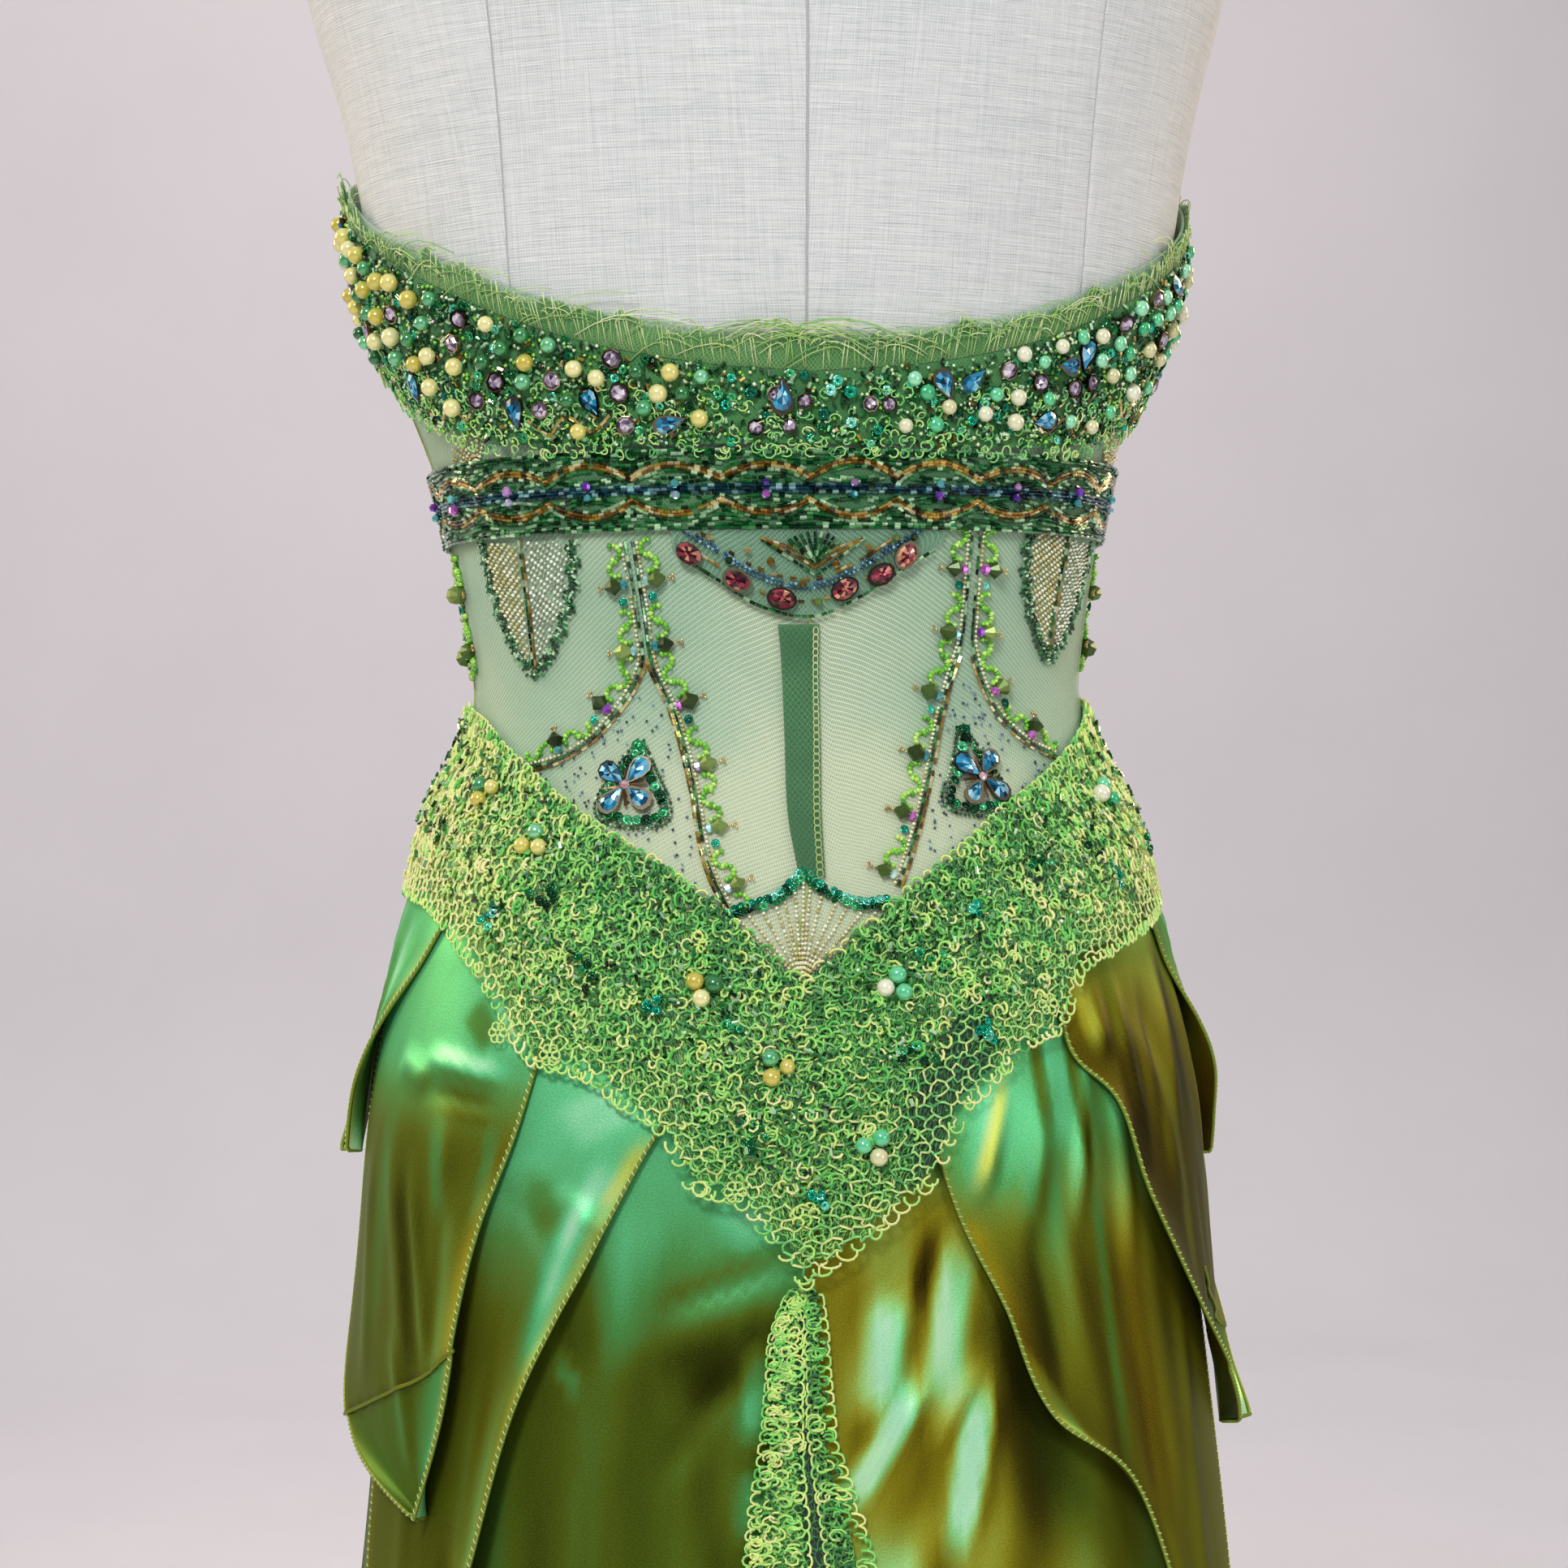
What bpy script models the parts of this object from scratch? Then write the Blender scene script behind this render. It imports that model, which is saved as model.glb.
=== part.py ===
"""Strapless beaded cocktail dress on a limbless dress form with a pole and a round foot.

Units are metres, +Z is up, and the origin is the centre of the foot on the floor. The back of the
dress faces -Y and its front faces +Y. A place on the cloth is an angle in degrees, counted from the
centre back and growing towards +X, with a height, and a distance out from the figure's surface.
"""
import math
from typing import NamedTuple

import bmesh
import bpy
from mathutils import Vector

# Driving sizes
WALL = 0.0010
LAYER_GAP = 0.0008
SEAM_GAP = 0.0003
FORM_CLEARANCE = 0.0012
CUP_ROOM = 0.0030
TRIM_INSIDE = 0.0018
FRONT_LIFT = 0.0010
CENTRE_DRIFT = -3.5
SIDE_SEAM = 92.0
HIP_HEIGHT = 0.860
HEM_HEIGHT = 0.462
FORM_BOTTOM = 0.745
FORM_TOP = 1.515
FORM_COLUMNS = 24
SQUARENESS = 0.92

# Stand
FOOT_RADIUS = 0.175
FOOT_RIM = 0.009
FOOT_HUB_HEIGHT = 0.034
FOOT_HUB_RADIUS = 0.026
POLE_RADIUS = 0.0125
POLE_COLLAR_RADIUS = 0.019
POLE_COLLAR_HEIGHT = 0.030
CAP_RADIUS = 0.0565
CAP_HEIGHT = 0.016
KNOB_RADIUS = 0.017
KNOB_HEIGHT = 0.040
TURNED_STEPS = 20

# Trimmings
BAND_HEIGHT = 1.1105
BAND_HALF = 0.0145
BAND_WAVE = 0.032
YOKE_INSIDE_TOP = 0.0018
YOKE_INSIDE_LOW = 0.0076
YOKE_OVERLAP = 0.010
PETAL_TUCK = 0.016
SWAG_DROP = 0.006


class Section(NamedTuple):
    """One level section of the dress form."""

    height: float
    half_width: float
    back_depth: float
    front_depth: float


class Ease(NamedTuple):
    """How far the skirt stands off the hip section at one height."""

    height: float
    side: float
    back: float
    front: float


class Edge(NamedTuple):
    """One point of an edge line: an angle and its height."""

    angle: float
    height: float


class Fold(NamedTuple):
    """One soft ridge of the skirt, which grows from its start height to the hem."""

    angle: float
    half_width: float
    depth: float
    start: float


class Bust(NamedTuple):
    """The fullness of the form's bust, one each side of the centre front."""

    from_front: float
    height: float
    depth: float
    spread_angle: float
    spread_height: float
    centre_dip: float


class Petal(NamedTuple):
    """One leaf-shaped skirt petal between two edge lines, each from its top to its tip."""

    name: str
    layer: int
    lower_angle_edge: tuple
    upper_angle_edge: tuple
    curl_lower: float
    curl_upper: float


class StripEnd(NamedTuple):
    """The two side angles of a narrow strip at one height."""

    height: float
    left: float
    right: float


SECTIONS = (
    Section(0.745, 0.1390, 0.1120, 0.1040),
    Section(0.800, 0.1480, 0.1235, 0.1120),
    Section(0.860, 0.1515, 0.1290, 0.1150),
    Section(0.900, 0.1500, 0.1265, 0.1150),
    Section(0.940, 0.1440, 0.1180, 0.1120),
    Section(0.970, 0.1356, 0.1080, 0.1070),
    Section(1.000, 0.1258, 0.0965, 0.1010),
    Section(1.035, 0.1172, 0.0865, 0.0965),
    Section(1.060, 0.1192, 0.0845, 0.0965),
    Section(1.090, 0.1240, 0.0855, 0.0990),
    Section(1.120, 0.1300, 0.0880, 0.1040),
    Section(1.150, 0.1410, 0.0910, 0.1090),
    Section(1.180, 0.1545, 0.0945, 0.1120),
    Section(1.210, 0.1600, 0.0980, 0.1130),
    Section(1.240, 0.1650, 0.1015, 0.1110),
    Section(1.275, 0.1725, 0.1050, 0.1050),
    Section(1.310, 0.1810, 0.1060, 0.0960),
    Section(1.345, 0.1865, 0.1010, 0.0850),
    Section(1.375, 0.1830, 0.0910, 0.0740),
    Section(1.398, 0.1680, 0.0810, 0.0660),
    Section(1.415, 0.1430, 0.0730, 0.0610),
    Section(1.430, 0.1120, 0.0670, 0.0580),
    Section(1.445, 0.0840, 0.0620, 0.0570),
    Section(1.462, 0.0660, 0.0580, 0.0570),
    Section(1.485, 0.0590, 0.0550, 0.0560),
    Section(1.515, 0.0580, 0.0540, 0.0550),
)
FORM_HEIGHTS = (
    0.745, 0.780, 0.815, 0.850, 0.880, 0.905, 0.928, 0.948, 0.965, 0.982, 0.998, 1.014, 1.029, 1.044,
    1.060, 1.080, 1.105, 1.130, 1.155, 1.180, 1.205, 1.230, 1.258, 1.290, 1.322, 1.352, 1.376, 1.394,
    1.408, 1.421, 1.434, 1.448, 1.465, 1.487, 1.515,
)
BUST = Bust(
    from_front=36.0, height=1.212, depth=0.031, spread_angle=24.0, spread_height=0.057, centre_dip=0.12,
)
BUST_SEAM = 180.0 - BUST.from_front
EASES = (
    Ease(0.440, 0.0450, 0.0400, 0.0450),
    Ease(0.520, 0.0320, 0.0290, 0.0330),
    Ease(0.600, 0.0210, 0.0190, 0.0230),
    Ease(0.696, 0.0110, 0.0110, 0.0140),
    Ease(0.740, 0.0075, 0.0080, 0.0100),
    Ease(0.800, 0.0040, 0.0050, 0.0065),
    Ease(0.860, 0.0020, 0.0025, 0.0035),
    Ease(0.900, 0.0008, 0.0012, 0.0012),
    Ease(0.935, 0.0, 0.0, 0.0),
)
FOLDS = (
    Fold(-168.0, 7.0, 0.014, 0.86),
    Fold(-149.0, 8.0, 0.016, 0.80),
    Fold(-131.0, 6.5, 0.012, 0.84),
    Fold(-114.0, 8.0, 0.015, 0.78),
    Fold(-97.0, 7.0, 0.012, 0.82),
    Fold(-79.0, 8.0, 0.016, 0.80),
    Fold(-60.0, 7.0, 0.012, 0.78),
    Fold(-42.0, 6.0, 0.014, 0.86),
    Fold(-27.0, 5.5, 0.015, 0.87),
    Fold(-14.0, 5.0, 0.012, 0.83),
    Fold(7.0, 5.5, 0.014, 0.84),
    Fold(19.0, 5.5, 0.016, 0.87),
    Fold(34.0, 6.0, 0.013, 0.84),
    Fold(51.0, 7.0, 0.015, 0.80),
    Fold(69.0, 7.5, 0.012, 0.78),
    Fold(88.0, 8.0, 0.016, 0.82),
    Fold(106.0, 7.0, 0.012, 0.80),
    Fold(123.0, 8.0, 0.015, 0.84),
    Fold(141.0, 7.0, 0.013, 0.78),
    Fold(159.0, 7.5, 0.016, 0.83),
    Fold(176.0, 6.5, 0.012, 0.80),
)
FOLD_GROWTH = 1.15
FOLD_MOST = 0.0165

# Edge lines of the bodice and its trimmings
TOP_EDGE = (
    Edge(0.0, 1.166), Edge(15.0, 1.169), Edge(32.0, 1.1775), Edge(50.0, 1.1925), Edge(74.0, 1.2140),
    Edge(92.0, 1.2330), Edge(112.0, 1.2470), Edge(132.0, 1.2590), Edge(146.0, 1.2620),
    Edge(162.0, 1.2500), Edge(180.0, 1.2320),
)
BORDER_LOW = (
    Edge(0.0, 1.1265), Edge(40.0, 1.1275), Edge(58.0, 1.1330), Edge(75.0, 1.1445), Edge(92.0, 1.1620),
    Edge(112.0, 1.1820), Edge(146.0, 1.2080), Edge(180.0, 1.1800),
)
EDGING_DROP = (Edge(0.0, 0.0135), Edge(40.0, 0.0120), Edge(75.0, 0.0075), Edge(180.0, 0.0070))
YOKE_TOP = (
    Edge(-90.0, 1.0340), Edge(-72.0, 1.0270), Edge(-52.0, 1.0080), Edge(-40.0, 0.9935),
    Edge(-24.0, 0.9750), Edge(-15.0, 0.9610), Edge(-8.0, 0.9450), Edge(-3.0, 0.9320),
    Edge(3.8, 0.9490), Edge(12.0, 0.9650), Edge(30.0, 0.9910), Edge(50.0, 1.0100), Edge(75.0, 1.0300),
    Edge(90.0, 1.0340),
)
YOKE_LOW = (
    Edge(-90.0, 0.9640), Edge(-71.0, 0.9590), Edge(-61.0, 0.9510), Edge(-51.0, 0.9350),
    Edge(-40.0, 0.9060), Edge(-31.0, 0.9010), Edge(-20.0, 0.8820), Edge(-17.0, 0.8640),
    Edge(-10.5, 0.8580), Edge(-7.0, 0.8450), Edge(-3.5, 0.8305), Edge(1.0, 0.8410),
    Edge(11.0, 0.8660), Edge(14.5, 0.8870), Edge(24.0, 0.9070), Edge(31.0, 0.9130),
    Edge(37.0, 0.9340), Edge(48.0, 0.9420), Edge(66.0, 0.9520), Edge(76.0, 0.9600),
    Edge(90.0, 0.9640),
)
SWAG_EDGE = (
    Edge(-21.5, 1.0925), Edge(-15.0, 1.0835), Edge(-7.8, 1.0727), Edge(0.0, 1.0683),
    Edge(7.0, 1.0750), Edge(13.6, 1.0845), Edge(22.0, 1.0955),
)
PLACKET = (
    StripEnd(0.969, -2.8, 0.2), StripEnd(0.992, -4.0, 0.3), StripEnd(1.020, -4.1, 0.8),
    StripEnd(1.050, -4.3, 1.1), StripEnd(1.061, -4.6, 1.2),
)
TAIL = (
    StripEnd(0.480, -12.0, 4.5), StripEnd(0.560, -11.0, 3.6), StripEnd(0.650, -10.8, 3.0),
    StripEnd(0.733, -10.2, 1.9), StripEnd(0.770, -8.5, -0.8), StripEnd(0.797, -7.6, -1.5),
    StripEnd(0.811, -7.2, -1.6), StripEnd(0.8275, -5.2, -2.0),
)
TAIL_RIDGES = (0.0, 0.0012, 0.0054, 0.0056, 0.0012, 0.0)
TAIL_SLACK = 0.15

PETALS = (
    Petal(
        "petal_back_left_inner", 1,
        (
            Edge(-44, 0.922), Edge(-60, 0.880), Edge(-71, 0.810),
            Edge(-73, 0.730), Edge(-67, 0.665), Edge(-57.5, 0.628),
        ),
        (
            Edge(-19, 0.900), Edge(-24.5, 0.873), Edge(-31, 0.838),
            Edge(-40, 0.788), Edge(-46, 0.725), Edge(-55.5, 0.628),
        ),
        0.0, 0.008,
    ),
    Petal(
        "petal_back_left_middle", 2,
        (
            Edge(-80, 0.972), Edge(-91, 0.910), Edge(-94, 0.850),
            Edge(-93, 0.800), Edge(-84, 0.768), Edge(-58, 0.742),
        ),
        (
            Edge(-38, 0.922), Edge(-42, 0.883), Edge(-47, 0.850),
            Edge(-49, 0.820), Edge(-51, 0.780), Edge(-55, 0.742),
        ),
        0.003, 0.008,
    ),
    Petal(
        "petal_left_outer", 3,
        (Edge(-98, 0.978), Edge(-110, 0.950), Edge(-114, 0.918), Edge(-110, 0.890), Edge(-98, 0.862)),
        (Edge(-60, 0.965), Edge(-68, 0.940), Edge(-80, 0.914), Edge(-90, 0.886), Edge(-96, 0.862)),
        0.008, 0.005,
    ),
    Petal(
        "petal_back_right_inner", 1,
        (
            Edge(11, 0.882), Edge(14.5, 0.850), Edge(20, 0.818),
            Edge(25, 0.780), Edge(39, 0.742), Edge(49.5, 0.628),
        ),
        (
            Edge(40, 0.925), Edge(56, 0.880), Edge(67, 0.810),
            Edge(69, 0.730), Edge(62, 0.665), Edge(51.5, 0.628),
        ),
        0.008, 0.0,
    ),
    Petal(
        "petal_back_right_middle", 2,
        (
            Edge(33, 0.945), Edge(33.5, 0.910), Edge(41, 0.888),
            Edge(45, 0.850), Edge(58, 0.800), Edge(79, 0.752),
        ),
        (
            Edge(76, 0.972), Edge(88, 0.910), Edge(92, 0.850),
            Edge(93, 0.800), Edge(90, 0.770), Edge(82, 0.752),
        ),
        0.007, 0.012,
    ),
    Petal(
        "petal_right_outer", 3,
        (Edge(62, 0.965), Edge(67, 0.935), Edge(78, 0.908), Edge(88, 0.880), Edge(94, 0.852)),
        (Edge(94, 0.978), Edge(106, 0.950), Edge(110, 0.915), Edge(106, 0.885), Edge(96, 0.852)),
        0.010, 0.010,
    ),
    Petal(
        "petal_front_left_middle", 2,
        (
            Edge(-142, 0.925), Edge(-139, 0.880), Edge(-134, 0.845),
            Edge(-131, 0.810), Edge(-129, 0.775), Edge(-123, 0.738),
        ),
        (
            Edge(-101, 0.966), Edge(-98.5, 0.910), Edge(-98, 0.850),
            Edge(-99, 0.800), Edge(-104, 0.765), Edge(-120, 0.738),
        ),
        0.007, 0.0,
    ),
    Petal(
        "petal_front_left_inner", 1,
        (
            Edge(-162, 0.900), Edge(-157, 0.865), Edge(-150, 0.825),
            Edge(-143, 0.780), Edge(-136, 0.720), Edge(-127.5, 0.632),
        ),
        (
            Edge(-134, 0.922), Edge(-121, 0.880), Edge(-111, 0.810),
            Edge(-109, 0.730), Edge(-115, 0.665), Edge(-125.5, 0.632),
        ),
        0.008, 0.0,
    ),
    Petal(
        "petal_front_right_middle", 2,
        (
            Edge(100, 0.966), Edge(98, 0.910), Edge(97.5, 0.850),
            Edge(99, 0.800), Edge(105, 0.765), Edge(121, 0.742),
        ),
        (
            Edge(141, 0.925), Edge(138, 0.880), Edge(134, 0.848),
            Edge(132, 0.812), Edge(129, 0.778), Edge(124, 0.742),
        ),
        0.0, 0.007,
    ),
    Petal(
        "petal_front_right_inner", 1,
        (
            Edge(134, 0.922), Edge(122, 0.880), Edge(112, 0.810),
            Edge(110, 0.730), Edge(116, 0.665), Edge(125.5, 0.630),
        ),
        (
            Edge(161, 0.900), Edge(156, 0.865), Edge(149, 0.825),
            Edge(142, 0.780), Edge(136, 0.720), Edge(127.5, 0.630),
        ),
        0.0, 0.008,
    ),
)
PETAL_COLUMNS = 6
PETAL_ROWS = 9
PETAL_STAND_OFF = 0.0020
PANEL_COLUMNS = 15
SIDE_FRONT_COLUMNS = 8
FRONT_COLUMNS = 5

PEARL_TRIOS = (
    Edge(-62.0, 1.000), Edge(-46.0, 0.981), Edge(-15.5, 0.930), Edge(-6.5, 0.903), Edge(3.5, 0.876),
    Edge(7.5, 0.930), Edge(60.0, 0.996), Edge(118.0, 0.996), Edge(165.0, 0.930), Edge(-176.0, 0.900),
    Edge(-165.0, 0.930), Edge(-120.0, 0.998),
)
PEARL_RAISE = 0.0045
PEARL_REACH = 0.011


def read_table(rows, key, column):
    """Reads one column of a table at a key, along a smooth curve through the rows."""
    keys = [row[0] for row in rows]
    values = [row[column] for row in rows]
    key = min(max(key, keys[0]), keys[-1])
    last = len(rows) - 2
    index = 0
    while index < last and key > keys[index + 1]:
        index += 1

    def slope(place):
        before = max(place - 1, 0)
        after = min(place + 1, len(rows) - 1)
        return (values[after] - values[before]) / (keys[after] - keys[before])

    span = keys[index + 1] - keys[index]
    t = (key - keys[index]) / span
    start = (2 * t**3 - 3 * t**2 + 1) * values[index] + (t**3 - 2 * t**2 + t) * span * slope(index)
    end = (3 * t**2 - 2 * t**3) * values[index + 1] + (t**3 - t**2) * span * slope(index + 1)
    return start + end


def read_straight(rows, key, column):
    """Reads one column of a table at a key, with straight runs between the rows."""
    if key <= rows[0][0]:
        return rows[0][column]
    for low, high in zip(rows, rows[1:]):
        if key <= high[0]:
            t = (key - low[0]) / (high[0] - low[0])
            return low[column] + t * (high[column] - low[column])
    return rows[-1][column]


def blend(low, high, t):
    """Mixes two values, with t from 0 to 1."""
    return low + (high - low) * t


def ramp(low, high, value):
    """Goes softly from 0 to 1 as a value goes from low to high."""
    t = min(max((value - low) / (high - low), 0.0), 1.0)
    return t * t * (3 - 2 * t)


def wrapped(angle):
    """Brings an angle into the range from -180 to 180 degrees."""
    return (angle + 180.0) % 360.0 - 180.0


def soft_power(value):
    """Squares up a sine or a cosine a little, keeping its sign."""
    return math.copysign(abs(value) ** SQUARENESS, value)


def section_point(angle, height, with_ease):
    """The point of the figure's surface, or of the skirt's, at an angle and a height."""
    level = max(height, HIP_HEIGHT) if with_ease else height
    half_width = read_table(SECTIONS, level, 1)
    back = read_table(SECTIONS, level, 2)
    front = read_table(SECTIONS, level, 3)
    if with_ease:
        half_width += read_table(EASES, height, 1)
        back += read_table(EASES, height, 2)
        front += read_table(EASES, height, 3)
    turn = math.radians(angle)
    across = soft_power(math.sin(turn))
    along = soft_power(math.cos(turn))
    y = -back * along if along > 0 else -front * along
    from_front = 180.0 - abs(wrapped(angle))
    if from_front < BUST.from_front:
        fullness = 1.0 - BUST.centre_dip * ramp(BUST.from_front, 0.0, from_front)
    else:
        fullness = math.exp(-(((from_front - BUST.from_front) / BUST.spread_angle) ** 2))
    if along < 0:
        y += BUST.depth * fullness * math.exp(-(((level - BUST.height) / BUST.spread_height) ** 2))
    return Vector((half_width * across, y, height))


def place(angle, height, out=0.0, with_ease=False):
    """The point at a distance out from the figure or the skirt, along the surface's normal."""
    turn_step = 0.5
    height_step = 0.002
    around = section_point(angle + turn_step, height, with_ease)
    around -= section_point(angle - turn_step, height, with_ease)
    up = section_point(angle, height + height_step, with_ease)
    up -= section_point(angle, height - height_step, with_ease)
    return section_point(angle, height, with_ease) + around.cross(up).normalized() * out


def fold_out(angle, height):
    """How far the skirt's ridges stand out at a place."""
    total = 0.0
    for fold in FOLDS:
        away = wrapped(angle - fold.angle) / fold.half_width
        growth = max(fold.start - height, 0.0) / (fold.start - HEM_HEIGHT)
        total += fold.depth * growth**FOLD_GROWTH * math.exp(-away * away)
    return total


def fold_envelope(height):
    """The most that any ridge stands out at a height, which the petals clear."""
    highest = max(fold.start for fold in FOLDS)
    return FOLD_MOST * (max(highest - height, 0.0) / (highest - HEM_HEIGHT)) ** FOLD_GROWTH


def mirrored_edge(rows, angle):
    """Reads an edge line that is the same at the front as at the back."""
    angle = wrapped(angle)
    if angle > 90.0:
        angle = 180.0 - angle
    elif angle < -90.0:
        angle = -180.0 - angle
    return read_straight(rows, angle, 1)


def top_edge(angle):
    """The height of the dress's top edge."""
    return read_table(TOP_EDGE, abs(wrapped(angle)), 1)


def yoke_top(angle):
    """The height of the lace yoke's upper edge."""
    return mirrored_edge(YOKE_TOP, angle)


def yoke_low(angle):
    """The height of the lace yoke's lower edge."""
    return mirrored_edge(YOKE_LOW, angle)


def towards_back(angle):
    """How near a place is to the centre back: 1 there, and 0 from the side seams on."""
    return max(1.0 - abs(wrapped(angle)) / SIDE_SEAM, 0.0)


def drifted(angle, height):
    """Moves an angle of the panels with the centre back seam, which drifts left below the waist."""
    return angle + CENTRE_DRIFT * ramp(0.99, 0.94, height) * towards_back(angle)


def waist_seam(angle):
    """The height of the seam between bodice and skirt, which the yoke covers."""
    return yoke_top(angle + CENTRE_DRIFT * towards_back(angle)) - YOKE_OVERLAP


def seam_angles(start, end, columns, radius=0.13):
    """Column angles from seam to seam, short of each seam by half its gap."""
    turn = math.degrees(SEAM_GAP / 2 / radius)
    return even_steps(start + turn, end - turn, columns)


def even_steps(start, end, count):
    """Evenly spaced values from start to end, both ends included."""
    return [blend(start, end, index / count) for index in range(count + 1)]


def fabric_material(name, colour, roughness, metallic=0.0):
    """A Principled material with a plain colour."""
    material = bpy.data.materials.new(name)
    material.use_nodes = True
    shader = material.node_tree.nodes["Principled BSDF"]
    shader.inputs["Base Color"].default_value = (*colour, 1.0)
    shader.inputs["Roughness"].default_value = roughness
    shader.inputs["Metallic"].default_value = metallic
    material.diffuse_color = (*colour, 1.0)
    return material


def keep_object(name, mesh, material, collection, smooth=True):
    """Links a finished mesh as a named object of the dress."""
    mesh.materials.append(material)
    if smooth:
        mesh.shade_smooth()
    made = bpy.data.objects.new(name, mesh)
    collection.objects.link(made)
    return made


def wall_piece(name, material, collection, columns, rows, inner, outer, open_cells=None):
    """A closed cloth wall between two grids of points.

    inner and outer give the point of a column and a row. open_cells maps the cells that are cut
    through to the share of the cell that stays as a border.
    """
    open_cells = open_cells or {}
    work = bmesh.new()
    inside = [[work.verts.new(inner(i, j)) for j in range(rows + 1)] for i in range(columns + 1)]
    outside = [[work.verts.new(outer(i, j)) for j in range(rows + 1)] for i in range(columns + 1)]
    for i in range(columns):
        for j in range(rows):
            back = [inside[i][j], inside[i + 1][j], inside[i + 1][j + 1], inside[i][j + 1]]
            face = [outside[i][j], outside[i + 1][j], outside[i + 1][j + 1], outside[i][j + 1]]
            if (i, j) in open_cells:
                cut_cell(work, back, face, open_cells[(i, j)])
            else:
                work.faces.new(face)
                work.faces.new(back[::-1])
    rim = [(i, 0) for i in range(columns)] + [(columns, j) for j in range(rows)]
    rim += [(i, rows) for i in range(columns, 0, -1)] + [(0, j) for j in range(rows, 0, -1)]
    for (i, j), (k, m) in zip(rim, rim[1:] + rim[:1]):
        work.faces.new((inside[i][j], inside[k][m], outside[k][m], outside[i][j]))
    bmesh.ops.recalc_face_normals(work, faces=work.faces)
    mesh = bpy.data.meshes.new(name)
    work.to_mesh(mesh)
    work.free()
    return keep_object(name, mesh, material, collection)


def cut_cell(work, back, face, border):
    """Opens one cell of a wall: a ring on each side and four walls through it."""
    rings = []
    for corners in (back, face):
        middle = sum((corner.co for corner in corners), Vector()) / 4
        rings.append([work.verts.new(middle.lerp(corner.co, 1.0 - 2 * border)) for corner in corners])
    for k in range(4):
        after = (k + 1) % 4
        work.faces.new((face[k], face[after], rings[1][after], rings[1][k]))
        work.faces.new((back[after], back[k], rings[0][k], rings[0][after]))
        work.faces.new((rings[1][k], rings[1][after], rings[0][after], rings[0][k]))


def panel(name, material, collection, angles, fractions, low, high, inside, outside, with_ease,
          open_cells=None, shift=None):
    """A wall between two edge lines, over a run of angles and a run of height fractions."""

    def at(i, j, out):
        height = blend(low(angles[i]), high(angles[i]), fractions[j])
        angle = angles[i] if shift is None else shift(angles[i], height)
        return place(angle, height, out(angle, height, i, j), with_ease)

    return wall_piece(
        name, material, collection, len(angles) - 1, len(fractions) - 1,
        lambda i, j: at(i, j, inside), lambda i, j: at(i, j, outside), open_cells,
    )


def level(distance):
    """A distance out that is the same all over a panel."""
    return lambda angle, height, i, j: distance


def turned_piece(name, material, collection, profile, height=0.0):
    """A turned piece: a profile of (radius, height) from top to bottom, swept round the axis."""
    work = bmesh.new()
    points = [work.verts.new((radius, 0.0, z)) for radius, z in profile]
    for first, second in zip(points, points[1:]):
        work.edges.new((first, second))
    mesh = bpy.data.meshes.new(name)
    work.to_mesh(mesh)
    work.free()
    turned = keep_object(name, mesh, material, collection, smooth=False)
    turned.location.z = height
    screw = turned.modifiers.new("turn", "SCREW")
    screw.steps = TURNED_STEPS
    screw.render_steps = TURNED_STEPS
    screw.use_merge_vertices = True
    screw.merge_threshold = 0.00005
    return turned


def make_torso(material, collection):
    """The linen-covered torso, a closed solid just inside the dress."""
    work = bmesh.new()
    rings = []

    def clearance(angle, height):
        from_front = 180.0 - abs(wrapped(angle))
        beside = ramp(118.0, 70.0, from_front)
        return FORM_CLEARANCE + CUP_ROOM * beside * ramp(1.12, 1.17, height) * ramp(1.30, 1.25, height)

    for height in FORM_HEIGHTS:
        angles = [360.0 * k / FORM_COLUMNS for k in range(FORM_COLUMNS)]
        rings.append([work.verts.new(place(angle, height, -clearance(angle, height))) for angle in angles])
    for ring in (rings[0], rings[-1]):
        ring_height = FORM_BOTTOM if ring is rings[0] else FORM_TOP
        for point in ring:
            point.co.z = ring_height
    for low, high in zip(rings, rings[1:]):
        for k in range(FORM_COLUMNS):
            after = (k + 1) % FORM_COLUMNS
            work.faces.new((low[k], low[after], high[after], high[k]))
    work.faces.new(rings[0][::-1])
    work.faces.new(rings[-1])
    bmesh.ops.recalc_face_normals(work, faces=work.faces)
    mesh = bpy.data.meshes.new("form_torso")
    work.to_mesh(mesh)
    work.free()
    keep_object("form_torso", mesh, material, collection)


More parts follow.
